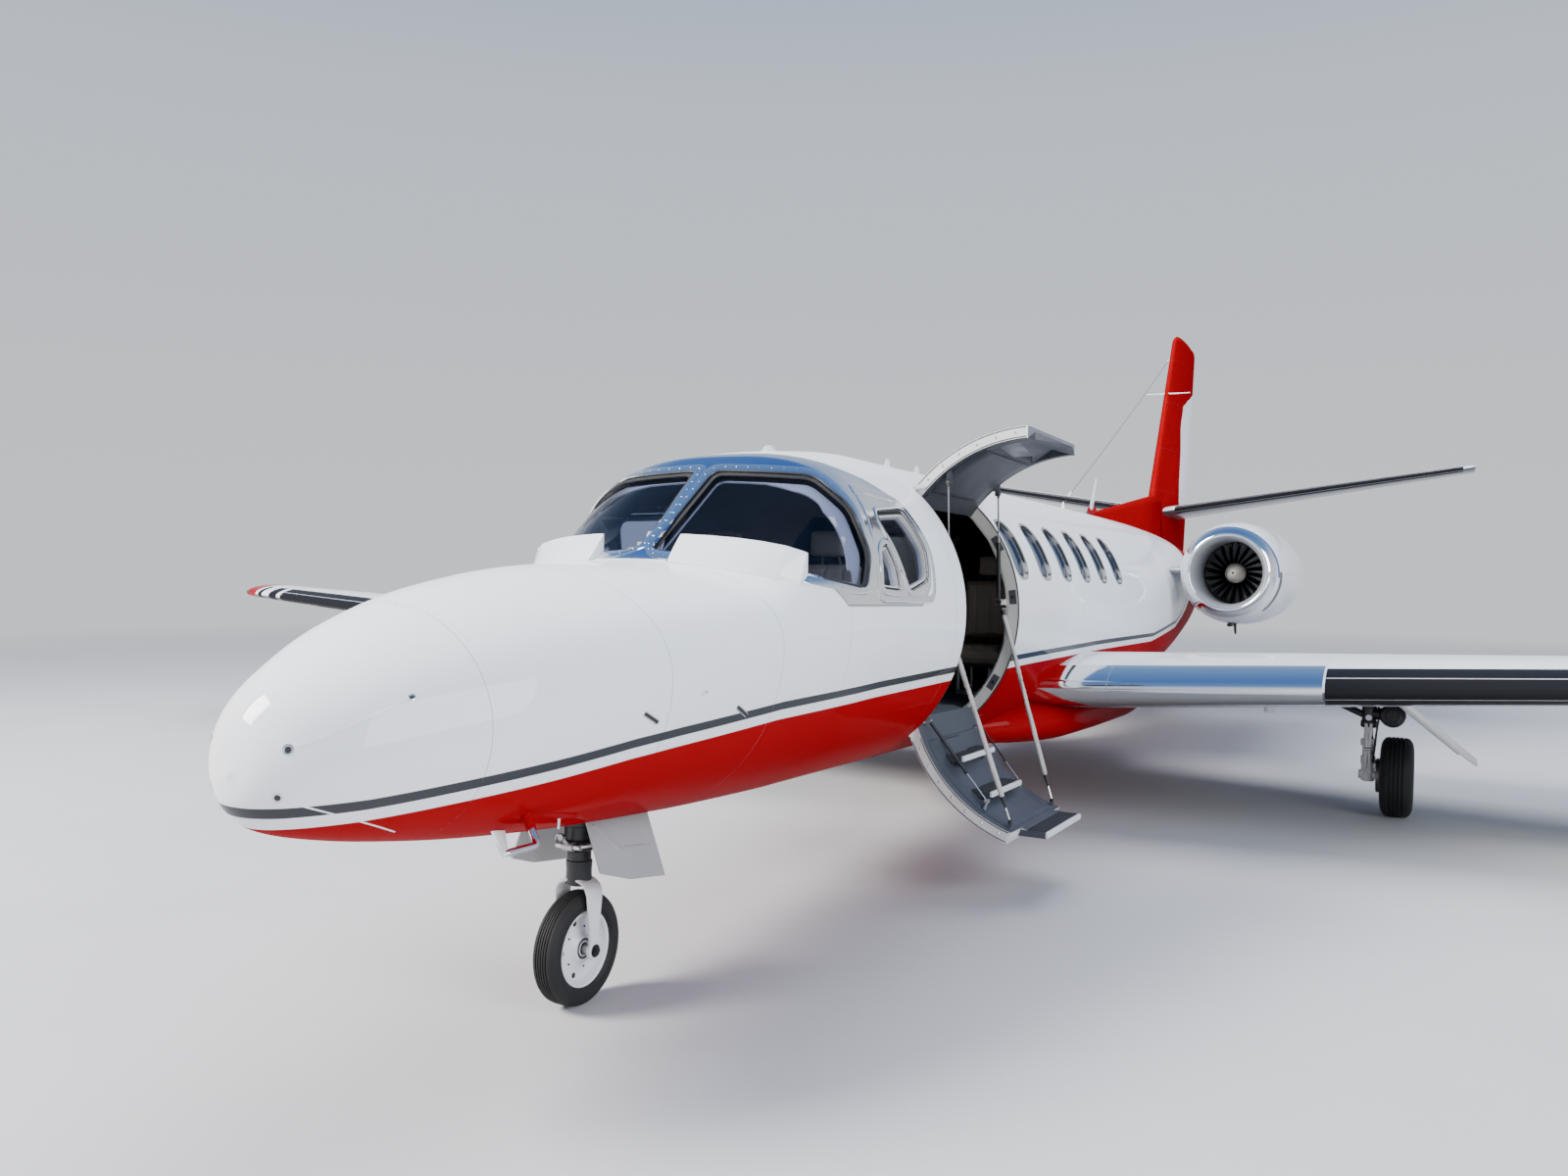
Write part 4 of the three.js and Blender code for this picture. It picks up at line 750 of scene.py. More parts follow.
@dataclass
class Piece:
    """A mesh being put together on the level airframe, in millimetres.

    Attributes:
        name: the piece's name.
        points: blocks of points so far.
        faces: faces by point number.
        finishes: the number in materials of each face's finish.
        count: how many points there are so far.
    """

    name: str
    points: list[np.ndarray] = field(default_factory=list)
    faces: list[tuple[int, ...]] = field(default_factory=list)
    finishes: list[int] = field(default_factory=list)
    count: int = 0

    def add(self, points: np.ndarray, faces: Iterable[Sequence[int]], finish: int = 0) -> None:
        """Adds a block of points and its faces.

        Args:
            points: rows of x, station and height.
            faces: faces numbered within the block.
            finish: the faces' finish.
        """
        points = np.asarray(points, float).reshape(-1, 3)
        for face in faces:
            self.faces.append(tuple(int(i) + self.count for i in face))
            self.finishes.append(finish)
        self.points.append(points)
        self.count += len(points)

    def grid(self, rows: np.ndarray, finish: int = 0, around: bool = True, looped: bool = False,
             caps: bool = True) -> None:
        """Adds a skin through rows of points.

        Args:
            rows: an array of rows, points and three.
            finish: the skin's finish.
            around: whether each row closes on itself.
            looped: whether the last row joins the first.
            caps: whether the ends of an open tube are closed.
        """
        rows = np.asarray(rows, float)
        lines, count = rows.shape[:2]
        faces = []
        for i in range(lines if looped else lines - 1):
            for j in range(count if around else count - 1):
                a, b = i * count + j, i * count + (j + 1) % count
                c, d = ((i + 1) % lines) * count + (j + 1) % count, ((i + 1) % lines) * count + j
                faces.append((a, b, c, d))
        points = rows.reshape(-1, 3)
        if around and caps and not looped:
            hubs = [rows[0].mean(0), rows[-1].mean(0)]
            start, last = len(points), (lines - 1) * count
            points = np.vstack([points, hubs])
            for j in range(count):
                faces.append((start, (j + 1) % count, j))
                faces.append((start + 1, last + j, last + (j + 1) % count))
        self.add(points, faces, finish)

    def box(self, low: Point, high: Point, finish: int = 0, soft: float = 2.0) -> None:
        """Adds a box with its edges eased by soft."""
        low, high = np.array(low, float), np.array(high, float)
        ease = min(soft, float((high - low).min()) * 0.3)
        rows = []
        for height, inset in ((low[2], ease), (low[2] + ease, 0), (high[2] - ease, 0), (high[2], ease)):
            x0, x1, y0, y1 = low[0] + inset, high[0] - inset, low[1] + inset, high[1] - inset
            cut = ease * 0.8
            ring = [(x0 + cut, y0), (x1 - cut, y0), (x1, y0 + cut), (x1, y1 - cut),
                    (x1 - cut, y1), (x0 + cut, y1), (x0, y1 - cut), (x0, y0 + cut)]
            rows.append([(x, y, height) for x, y in ring])
        self.grid(np.array(rows), finish)

    def tube(self, path: np.ndarray, radius: float | Sequence[float], sides: int = 12,
             finish: int = 0) -> None:
        """Adds a round tube along a path.

        Args:
            path: rows of points.
            radius: one radius, or one for each point.
            sides: faces round it.
            finish: its finish.
        """
        path = np.asarray(path, float).reshape(-1, 3)
        radii = np.broadcast_to(np.asarray(radius, float), len(path))
        ways = unit(np.gradient(path, axis=0))
        guide = first_guide(ways[0])
        rows = []
        for spot, way, r in zip(path, ways, radii):
            ring, guide = spokes(way, guide, sides)
            rows.append(spot + r * ring)
        self.grid(np.array(rows), finish)

    def lathe(self, profile: Sequence[Point], centre: Point, axis: Point, segments: int = 48,
              finish: int = 0, ring: bool = False, caps: bool = True) -> None:
        """Adds a turned form.

        Args:
            profile: pairs of distance along the axis and radius.
            centre: where the axis starts.
            axis: the axis's direction.
            segments: faces round it.
            finish: its finish.
            ring: whether the profile closes on itself, as a tyre's does.
            caps: whether the ends of any other profile are closed.
        """
        way = np.array(axis, float) / np.linalg.norm(axis)
        round_it, _ = spokes(way, first_guide(way), segments)
        rows = [np.array(centre, float) + way * a + round_it * max(r, 0.01) for a, r in profile]
        self.grid(np.array(rows), finish, looped=ring, caps=caps and not ring)

    def plate(self, outline: np.ndarray, thick: Point, finish: int = 0) -> None:
        """Adds a flat plate: an outline, and the same moved by thick."""
        self.grid(np.array([outline, outline + np.array(thick, float)]), finish)

    def pair(self, rows: np.ndarray, finish: int = 0, looped: bool = False) -> None:
        """Adds a skin on the left side and its mirror image on the right."""
        for side in Side:
            self.grid(rows * (side, 1, 1), finish, looped=looped)

    def done(self, body: str, slot: str, finishes: Sequence[Finish], replaces: Sequence[str] = (),
             sharp: float = 35.0, fix: bool = True) -> bpy.types.Object:
        """Makes the object, on its CAD body.

        Args:
            body: the body that it rides on, or nothing where it joins two.
            slot: the record's material slot. Not used.
            finishes: the finishes that face numbers mean.
            replaces: CAD nodes that it stands for.
            sharp: edges sharper than this, in degrees, stay sharp.
            fix: whether its faces are turned outwards here.

        Returns:
            The object.
        """
        mesh = bpy.data.meshes.new(self.name)
        mesh.from_pydata(in_frame(np.vstack(self.points)).tolist(), [], self.faces)
        mesh.polygons.foreach_set("material_index", self.finishes)
        bm = bmesh.new()
        bm.from_mesh(mesh)
        bmesh.ops.remove_doubles(bm, verts=bm.verts, dist=MERGED)
        if fix:
            bmesh.ops.recalc_face_normals(bm, faces=bm.faces)
        bm.to_mesh(mesh)
        bm.free()
        mesh.shade_smooth()
        mesh.set_sharp_from_angle(angle=math.radians(sharp))
        return set_out(self.name, mesh, body, finishes, replaces)


def set_out(name: str, mesh: bpy.types.Mesh, body: str, finishes: Sequence[Finish],
            replaces: Sequence[str] = ()) -> bpy.types.Object:
    """Puts a finished mesh in the scene on its body, and reports it."""
    for finish in finishes:
        mesh.materials.append(finish.material())
    piece = placed(name, mesh)
    if body:
        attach(piece, body)
    if replaces:
        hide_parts(*replaces)
    log.info("%s: %d faces", name, len(mesh.polygons))
    return piece


class Copy:
    """A merged copy of a CAD node, refined onto the smooth form that it was cut from."""

    def __init__(self, node: str) -> None:
        """Copies the node's mesh and merges its loose triangles.

        Args:
            node: the CAD node's name.
        """
        self.node = node
        self.bm = bmesh.new()
        self.bm.from_mesh(frame["nodes"][node].data)
        bmesh.ops.remove_doubles(self.bm, verts=self.bm.verts, dist=MERGED)
        bmesh.ops.dissolve_degenerate(self.bm, edges=self.bm.edges, dist=1e-6)
        for vertex in self.bm.verts:
            vertex.co = Vector(on_airframe(np.array(vertex.co))[0])
        for face in self.bm.faces:
            face.material_index = 0
        self.bm.normal_update()

    def centres(self) -> tuple[np.ndarray, np.ndarray]:
        """The faces' middles and normals."""
        faces = self.bm.faces
        middles = np.array([f.calc_center_median()[:] for f in faces])
        return middles, np.array([f.normal[:] for f in faces])

    def on_form(self, form: Form, reach: float, depth: float = 0.0) -> np.ndarray:
        """Which faces lie on the form, or at a depth under it."""
        middles, facing = self.centres()
        near = np.abs(form.distance(middles) + depth) < reach
        agree = (form.normals(middles, facing) * facing).sum(1)
        return near & ((agree > 0.5) if depth < INWARD else (agree < -0.5))

    def refine(self, form: Form, reach: float, close: float = 0.6, passes: int = 4,
               depth: float = 0.0, longest: float = 1e9) -> None:
        """Splits the edges that leave the form, and settles the new points on it.

        Args:
            form: the smooth surface.
            reach: how far off it the faceted skin may be.
            close: the most that an edge may leave it by.
            passes: how often the edges are halved.
            depth: how far under the form this skin lies.
            longest: edges longer than this are halved too.
        """
        for _ in range(passes):
            chosen = self.on_form(form, reach, depth)
            edges = list(dict.fromkeys(e for f, on in zip(self.bm.faces, chosen) if on for e in f.edges))
            if not edges:
                return
            middles = np.array([((e.verts[0].co + e.verts[1].co) / 2)[:] for e in edges])
            lengths = np.array([e.calc_length() for e in edges])
            off = np.linalg.norm(form.settled(middles, depth) - middles, axis=1)
            split = [e for e, d, run in zip(edges, off, lengths)
                     if (close < d < reach) or (run > longest and d < reach)]
            if not split:
                return
            made = bmesh.ops.subdivide_edges(self.bm, edges=split, cuts=1)
            fresh = [v for v in made["geom_inner"] if isinstance(v, bmesh.types.BMVert)]
            places = form.settled(np.array([v.co[:] for v in fresh]), depth)
            for vertex, spot in zip(fresh, places):
                vertex.co = Vector(spot)
            bmesh.ops.triangulate(self.bm, faces=self.bm.faces)
            self.bm.normal_update()

    def done(self, name: str, body: str, slot: str, finishes: Sequence[Finish],
             forms: Sequence[tuple[Form, float, float]] = (), sharp: float = 30.0,
             paint: Callable[[np.ndarray, np.ndarray, np.ndarray], np.ndarray] | None = None,
             ) -> bpy.types.Object:
        """Makes the object that stands for the node.

        Args:
            name: the piece's name.
            body: the body that it rides on.
            slot: the record's material slot. Not used.
            finishes: the finishes that face numbers mean.
            forms: smooth forms with their reach and depth, whose normals the faces take.
            sharp: edges sharper than this stay sharp elsewhere.
            paint: gives each face's finish from middles, normals and the form that it is on.

        Returns:
            The object.
        """
        self.bm.normal_update()
        self.bm.faces.ensure_lookup_table()
        middles, facing = self.centres()
        which = np.full(len(middles), -1)
        for number, (form, reach, depth) in enumerate(forms):
            on = self.on_form(form, reach, depth)
            which = np.where((which < 0) & on, number, which)
        kinds = paint(middles, facing, which) if paint else np.zeros(len(middles), int)
        for face, kind in zip(self.bm.faces, kinds):
            face.material_index = int(kind)
        mesh = bpy.data.meshes.new(name)
        for vertex in self.bm.verts:
            vertex.co = Vector(in_frame(np.array(vertex.co))[0])
        self.bm.to_mesh(mesh)
        self.bm.free()
        mesh.shade_smooth()
        mesh.set_sharp_from_angle(angle=math.radians(sharp))
        if len(forms):
            corner = read(mesh.corner_normals, "vector", 3, np.float32)
            sizes = read(mesh.polygons, "loop_total", kind=int)
            owner = np.repeat(np.arange(len(sizes)), sizes)
            places = on_airframe(read(mesh.vertices, "co", 3))[read(mesh.loops, "vertex_index", kind=int)]
            for number, (form, _, depth) in enumerate(forms):
                mine = which[owner] == number
                if not mine.any():
                    continue
                smooth = form.normals(places[mine], facing[owner[mine]])
                flip = -1.0 if depth >= INWARD else 1.0
                corner[mine] = headings_in_frame(smooth * flip)
            mesh.normals_split_custom_set(corner.tolist())
        return set_out(name, mesh, body, finishes, [self.node])


# Paint schemes

# An engine's distance off the centreline, its height and the station of its inlet's lip
NACELLE_OFFSET, NACELLE_HEIGHT, INLET_LIP = 1310.0, 330.0, 8790.0
# Upper edge of the body's dark stripe: columns are station and height
STRIPE_EDGE = (
    (0, -529), (38, -526), (254, -509), (575, -468), (847, -433), (1116, -395), (1328, -373),
    (1914, -322), (2716, -286), (3593, -263), (4998, -236), (6576, -213), (8300, -205),
    (9300, -110), (10300, 190), (11100, 560), (11800, 1100),
)
GREY_BAND, WHITE_BAND = 33.0, 41.0
# Lower edge of the polished window frame: columns are station and height
FRAME_LOW = ((1850, 232), (1905, 214), (2115, 190), (2224, 122), (2312, 52), (3040, 51), (3150, 110),
             (3200, 220))
# Its upper and rear edge: columns are height and station
FRAME_BACK = ((51, 3050), (143, 3155), (356, 3192), (557, 3150), (646, 2985), (692, 2807), (744, 2650),
              (800, 2610))


def broken_line(value: Value, corners: Sequence[tuple[float, float]]) -> Value:
    """A line through corners, as a sum of clamped slopes.

    Args:
        value: what the line runs along.
        corners: pairs of value and result.

    Returns:
        The line's result.
    """
    total: Value | float = corners[0][1]
    for (start, low), (end, high) in zip(corners, corners[1:]):
        share = value.coat.sum("DIVIDE", value - start, end - start, clamp=True)
        total = share * (high - low) + total
    return total


@dataclass(frozen=True)
class BodyPaint(Finish):
    """White above a dark stripe and a white band, and red below, with panel joints."""

    name: str = "body_paint"
    colour: Colour = WHITE
    joints: tuple[float, ...] = (560, 1236, 1850, 2335, 3480, 4560, 5900, 7300, 8150, 9600, 11000)
    rivet_pitch: float = 34.0
    # Blue of the polished window frame: a painted reflection of the sky.
    metal: Colour = (0.3, 0.47, 0.74)

    def where(self, coat: Coat) -> tuple[Value, Value, Value]:
        """The place that the paint goes by."""
        return coat.place()

    def surface(self, coat: Coat) -> dict:
        """The body's paint by station and height."""
        x, station, height = self.where(coat)
        edge = broken_line(station, STRIPE_EDGE)
        under = edge - height
        grey = under.within(0, GREY_BAND, 1.5)
        red = under.over(GREY_BAND + WHITE_BAND, 1.5)
        patches = coat.noise(420, 3)
        colour = coat.mottled(patches, self.colour, 0.955)
        colour = coat.mix(red, colour, RED)
        colour = coat.mix(grey, colour, GREY)
        frame_low = broken_line(station, FRAME_LOW)
        frame_back = broken_line(height, FRAME_BACK)
        bare = height.over(frame_low, 1.5) * station.under(frame_back, 1.5) * station.over(1852, 1.5)
        edge = abs(height - frame_low).under(5, 1) * station.within(1852, frame_back, 1)
        edge = edge.most(abs(station - frame_back).under(5, 1) * height.over(frame_low, 1))
        seams = coat.lines(station, self.joints, 3.0) * (1 - bare)
        rows = coat.lines(abs(station - 3480), (15.0,), 5.0)
        for place in (5900, 7300, 8150, 9600, 11000):
            rows = rows.most(coat.lines(abs(station - place), (15.0,), 5.0))
        dots = ((height * (2 * math.pi / self.rivet_pitch)).wave() - 0.86).over(0, 0.1)
        rivets = rows * dots * (1 - bare)
        # Inboard, the polished frame takes the blue of the painted sky reflection; outboard it is plain
        # polished metal.
        metal = coat.mix(abs(x).over(560, 150), self.metal, POLISHED.colour)
        colour = coat.mix(bare, colour, metal)
        colour = coat.mix(seams * 0.4 + rivets * 0.25 + edge * 0.5, colour, (0.03, 0.03, 0.035))
        relief = rivets - seams + bare + 0.15 * coat.noise(60, 2)
        return {
            "Base Color": colour,
            "Roughness": (0.2 + 0.08 * patches) * (1 - bare) + 0.12 * bare + 0.3 * seams,
            "Metallic": bare,
            "Coat Weight": 0.55 * (1 - bare) * (1 - red * 0.86),
            "Coat Roughness": 0.05,
            "Specular IOR Level": 0.0,
            "Normal": coat.bump(relief, 0.35),
        }


@dataclass(frozen=True)
class WingPaint(Finish):
    """White with a polished inboard leading edge, black boots outboard with a painted highlight line along
    them, and a banded tip.

    Attributes:
        root: the leading edge's root, as x and station.
        sweep: how much further aft the edge is for each millimetre outboard.
        boots: where the boots start and end, off the centreline.
        boot: the boots' depth aft of the edge.
        polished: depth of the polished edge inboard of the boots.
        red_from: where the red tip starts.
        line: where the painted highlight line runs along the boots, as a share of their depth.
        spars: seams aft of the edge.
    """

    name: str = "wing_paint"
    colour: Colour = WHITE
    root: tuple[float, float] = (0, 5345)
    sweep: float = 695 / 7890
    boots: tuple[float, float] = (2360, 7330)
    boot: float = 165.0
    polished: float = 215.0
    red_from: float = 7745.0
    line: float = 0.3
    spars: tuple[float, ...] = (420, 980)

    def surface(self, coat: Coat) -> dict:
        """The panel's paint by distance off the centreline and aft of the leading edge."""
        x, station, height = coat.place()
        out = abs(x)
        aft = station - (out * self.sweep + (self.root[1] - self.root[0] * self.sweep))
        rubber = out.within(*self.boots, 2.0) * aft.under(self.boot, 1.5)
        for start, end in ((7395.0, 7520.0), (7640.0, 7700.0)):
            patch = out.within(start, end, 2.0) * aft.under(self.boot, 1.5)
            rubber = rubber.most(patch * (self.red_from < 8000))
        # A pale line along the boots: a painted highlight, standing for the sun's reflection on the rubber.
        line = abs(aft - self.boot * self.line).under(2.6, 1.0) * out.within(*self.boots, 2.0)
        bare = out.under(self.boots[0] - 12, 1.5) * aft.under(self.polished, 1.5)
        tip = out.over(self.red_from, 3.0)
        patches = coat.noise(350, 3)
        colour = coat.mottled(patches, self.colour)
        colour = coat.mix(tip, colour, RED)
        colour = coat.mix(bare, colour, POLISHED.colour)
        colour = coat.mix(rubber, colour, (0.012, 0.012, 0.014))
        colour = coat.mix(line * 0.85, colour, (0.75, 0.76, 0.78))
        seams = coat.lines(aft, self.spars, 2.5).most(coat.lines(out, (1105, 2352, 4830, 6300), 2.5))
        seams = seams * (1 - rubber)
        colour = coat.mix(seams * 0.5, colour, (0.2, 0.2, 0.21))
        shine = 0.22 * (1 - bare) + 0.07
        return {
            "Base Color": colour,
            "Roughness": shine + 0.1 * rubber + 0.04 * patches,
            "Metallic": bare * (1 - rubber),
            "Coat Weight": 0.6 * (1 - bare.most(rubber)),
            "Coat Roughness": 0.06,
            "Specular IOR Level": 0.08,
            "Normal": coat.bump(0.15 * coat.noise(70, 2) - seams - rubber * 0.6, 0.4),
        }


@dataclass(frozen=True)
class FinPaint(Finish):
    """Red ahead and over the top, white behind."""

    name: str = "fin_paint"
    colour: Colour = WHITE

    def surface(self, coat: Coat) -> dict:
        """The fin's paint by height and distance aft of its leading edge."""
        x, station, height = coat.place()
        _, foot, low = FIN.root
        _, head, high = FIN.tip
        aft = station - ((height - low) * ((head - foot) / (high - low)) + foot)
        edge = broken_line(height, ((900, 1900), (1250, 1150), (2150, 690), (2450, 640), (2800, 1700)))
        ragged = (coat.noise(420, 1) - 0.5) * 160
        white = (aft + ragged).over(edge, 6.0) * height.under(2830, 6.0) * height.over(1180, 6.0)
        patches = coat.noise(350, 3)
        colour = coat.mottled(patches, RED, 0.9)
        colour = coat.mix(white, colour, self.colour)
        seams = coat.lines(height, (1320, 1830, 2410, 2960), 2.5)
        colour = coat.mix(seams * 0.4, colour, (0.1, 0.1, 0.11))
        return {
            "Base Color": colour,
            "Roughness": 0.18 + 0.06 * patches,
            "Coat Weight": 0.5 * white,
            "Coat Roughness": 0.05,
            "Specular IOR Level": 0.0,
            "Normal": coat.bump(0.15 * coat.noise(60, 2) - seams, 0.4),
        }


@dataclass(frozen=True)
class NacellePaint(Finish):
    """White, with a stripe that curves round behind the inlet's lip.

    Attributes:
        side: the nacelle's side.
    """

    name: str = "nacelle_paint"
    colour: Colour = WHITE
    side: Side = Side.LEFT

    def surface(self, coat: Coat) -> dict:
        """The nacelle's paint by distance behind the lip and place round it."""
        x, station, height = coat.place()
        aft, up = station - INLET_LIP, height - NACELLE_HEIGHT
        out = (x - self.side * NACELLE_OFFSET) * self.side
        arc = up * 0.16 + out * 0.05
        blue = (aft + arc).within(128, 168, 1.5) * up.over(-40, 4)
        black = (aft + up * 0.12).within(150, 215, 1.5) * up.within(-330, 10, 4) * out.over(60, 4)
        lean = abs(out * 0.74 - up * 0.67 + 20)
        red = (aft * 0.42 - lean).over(26, 1.5) * aft.under(165, 1.5)
        red = red * out.under(-150, 4) * up.under(-150, 4)
        seams = coat.lines(aft, (62.0, 318.0, 1180.0, 2260.0), 2.6)
        seams = seams.most(coat.lines(abs(up), (4.0,), 2.2) * aft.over(318, 2))
        patches = coat.noise(300, 3)
        colour = coat.mottled(patches, self.colour)
        colour = coat.mix(blue, colour, (0.03, 0.06, 0.24))
        colour = coat.mix(black, colour, (0.012, 0.013, 0.016))
        colour = coat.mix(red, colour, RED)
        soot = (aft - 2700).over(0, 600) * coat.noise(160, 3)
        colour = coat.mix(seams * 0.55 + soot * 0.3, colour, (0.1, 0.1, 0.11))
        return {
            "Base Color": colour,
            "Roughness": 0.2 + 0.08 * patches + 0.2 * seams,
            "Coat Weight": 0.6,
            "Coat Roughness": 0.05,
            "Normal": coat.bump(0.15 * coat.noise(60, 2) - seams, 0.4),
        }


@dataclass(frozen=True)
class Glass(Finish):
    """Dark tinted glass, clear enough to show what is close behind it.

    Attributes:
        clear: the share that light goes straight through.
        tint: the colour of what is seen through it.
    """

    clear: float = 0.3
    tint: Colour = (0.5, 0.54, 0.6)

    def material(self) -> bpy.types.Material:
        """The glass, a thin tinted pane: partly see-through and glossy."""
        return made_glass(self)


@lru_cache(maxsize=None)
def made_glass(glass: Glass) -> bpy.types.Material:
    """Builds a glass material once."""
    coat = Coat(glass.name)
    surface = coat.node("ShaderNodeBsdfPrincipled", {
        "Base Color": coat.mix(coat.noise(300, 2), glass.colour, tuple(c * 0.8 for c in glass.colour)),
        "Roughness": 0.03 + 0.02 * coat.noise(90, 2),
        "Coat Weight": 0.5,
        "Coat Roughness": 0.02,
    })
    clear = coat.node("ShaderNodeBsdfTransparent", {0: glass.tint})
    grazing = Value(coat, coat.node("ShaderNodeLayerWeight", {"Blend": 0.5}).outputs["Facing"])
    share = (0.96 - grazing.power(5) * 0.96) * glass.clear
    blend = coat.node("ShaderNodeMixShader", {0: share, 1: surface.outputs[0], 2: clear.outputs[0]})
    coat.tree.links.new(blend.outputs[0], coat.end.inputs[0])
    return coat.material


BODY_PAINT = BodyPaint()
WING_PAINT = WingPaint()
TAILPLANE_PAINT = WingPaint(name="tailplane_paint", root=(0, 12080), sweep=820 / 3200, boots=(215, 3120),
                            boot=88.0, polished=-50.0, red_from=9000.0, spars=(300,))
# Darker copies for the undersides of the wings and the tailplane: painted shade, in part over a grey
# underside paint.
WING_UNDERSIDE_SHADE = replace(WING_PAINT, name="wing_under_paint", colour=(0.13, 0.135, 0.15))
TAILPLANE_UNDERSIDE_SHADE = replace(TAILPLANE_PAINT, name="tailplane_under_paint", colour=(0.1, 0.105, 0.12))
FIN_PAINT = FinPaint()
SCREEN_GLASS = Glass("screen_glass", (0.008, 0.012, 0.02), clear=0.96, tint=(0.78, 0.82, 0.91))
# The cabin glass's blue stands partly for the sky's reflection, painted into its dark tint.
CABIN_GLASS = Glass("cabin_glass", (0.016, 0.042, 0.1), clear=0.15)


# Body

@dataclass
class Fuselage:
    """The nose, cockpit, cabin and tail of the body.

    Attributes:
        reach: how far the faceted skin may lie off the smooth one.
        wall: depth of the lining under the skin.
    """

    reach: float = 26.0
    wall: float = 75.0

    def radome(self) -> None:
        """The nose cap, as its own smooth loft."""
        piece = Piece("radome_skin")
        steps = NOSE_JOINT * np.linspace(0.02, 1, 40) ** 1.9
        rows = [BODY.ring(s, 96) for s in steps]
        piece.grid(np.array(rows))
        piece.done("airframe", "white_paint", [BODY_PAINT], ["radome"], sharp=60)

    def section(self, node: str, slot: str = "white_paint") -> None:
        """One part of the hull: its skin, its lining and the edges of its openings."""
        copy = Copy(node)
        copy.refine(BODY, self.reach)

        def paint(middles: np.ndarray, facing: np.ndarray, which: np.ndarray) -> np.ndarray:
            """Skin, lining or edge."""
            return np.where(which == 0, 0, np.where(which == 1, 1, 2))

        forms = ((BODY, self.reach, 0.0), (BODY, self.reach, self.wall))
        copy.done(node + "_skin", "airframe", slot, [BODY_PAINT, LINING, REVEAL], forms, 30, paint)

    def build(self) -> None:
        """Builds the whole hull."""
        self.radome()
        for node in ("nose_section", "cockpit_section", "cabin_section", "tail_cone"):
            self.section(node)


# Corners of the windscreen as x, station and height, and of the side panes as station and height
SCREEN_CORNERS = (
    (45, 1925, 262), (330, 1965, 232), (640, 2110, 180), (805, 2470, 118),
    (790, 2535, 270), (690, 2530, 480), (520, 2490, 622), (45, 2430, 645),
)
# Fairings over the foot of each windscreen: x, front station, and the rear edge's station and height
SCREEN_FAIRING = ((196, 1842, 1943, 333), (330, 1866, 1969, 327), (440, 1893, 1994, 319),
                  (540, 1935, 2026, 307), (630, 1990, 2063, 291), (704, 2062, 2113, 266))
FRONT_PANE = ((2612, 125), (2805, 115), (2780, 235), (2712, 335), (2630, 300))
REAR_PANE = ((2900, 110), (3135, 165), (3190, 330), (3120, 500), (2745, 470), (2725, 420), (2800, 300))
# The frame round both side panes
SIDE_FRAME = ((2560, 62), (3195, 62), (3262, 330), (3175, 572), (2640, 600), (2560, 330))
SCREEN_VIEW = math.radians(-55)


def rounded(corners: Sequence[tuple[float, float]], radius: float, each: int = 6) -> np.ndarray:
    """A closed outline with its corners rounded and its sides divided.

    Args:
        corners: pairs in order.
        radius: the rounding.
        each: points on a corner.

    Returns:
        Rows of pairs.
    """
    corners = np.array(corners, float)
    outline = []
    for i, corner in enumerate(corners):
        before, after = corners[i - 1], corners[(i + 1) % len(corners)]
        back = min(radius, np.linalg.norm(before - corner) * 0.45)
        on = min(radius, np.linalg.norm(after - corner) * 0.45)
        start = corner + (before - corner) / np.linalg.norm(before - corner) * back
        end = corner + (after - corner) / np.linalg.norm(after - corner) * on
        for t in np.linspace(0, 1, each):
            outline.append(start * (1 - t) ** 2 + 2 * corner * t * (1 - t) + end * t * t)
        nxt = after + (corner - after) / np.linalg.norm(after - corner) * on
        for t in (0.25, 0.5, 0.75):
            outline.append(end * (1 - t) + nxt * t)
    return np.array(outline)


def widened(outline: np.ndarray, amount: float) -> np.ndarray:
    """An outline pushed out square to itself by an amount."""
    run = np.roll(outline, -1, 0) - np.roll(outline, 1, 0)
    out = unit(np.stack([run[:, 1], -run[:, 0]], 1))
    middle = outline.mean(0)
    if ((outline - middle) * out).sum() < 0:
        out = -out
    return outline + out * amount


def screen_outline(radius: float) -> np.ndarray:
    """The windscreen's outline seen along its heading, with its corners rounded."""
    flat = [(-x * math.sin(SCREEN_VIEW) + (s - HALF_LENGTH) * math.cos(SCREEN_VIEW), h)
            for x, s, h in SCREEN_CORNERS]
    return rounded(flat, radius)


def on_side(outline: np.ndarray, proud: float) -> np.ndarray:
    """An outline of stations and heights, laid on the left side."""
    return BODY.side(outline[:, 0], outline[:, 1], proud)


def on_screen(outline: np.ndarray, proud: float) -> np.ndarray:
    """An outline seen along the windscreen's heading, laid on the skin."""
    way = np.array([math.cos(SCREEN_VIEW), math.sin(SCREEN_VIEW), 0])
    across = np.array([-math.sin(SCREEN_VIEW), math.cos(SCREEN_VIEW), 0])
    start = outline[:, :1] * across + outline[:, 1:] * np.array([0, 0, 1.0])
    start = start + way * 6400 + np.array([0, HALF_LENGTH, 0])
    return BODY.struck(start, -way, proud)


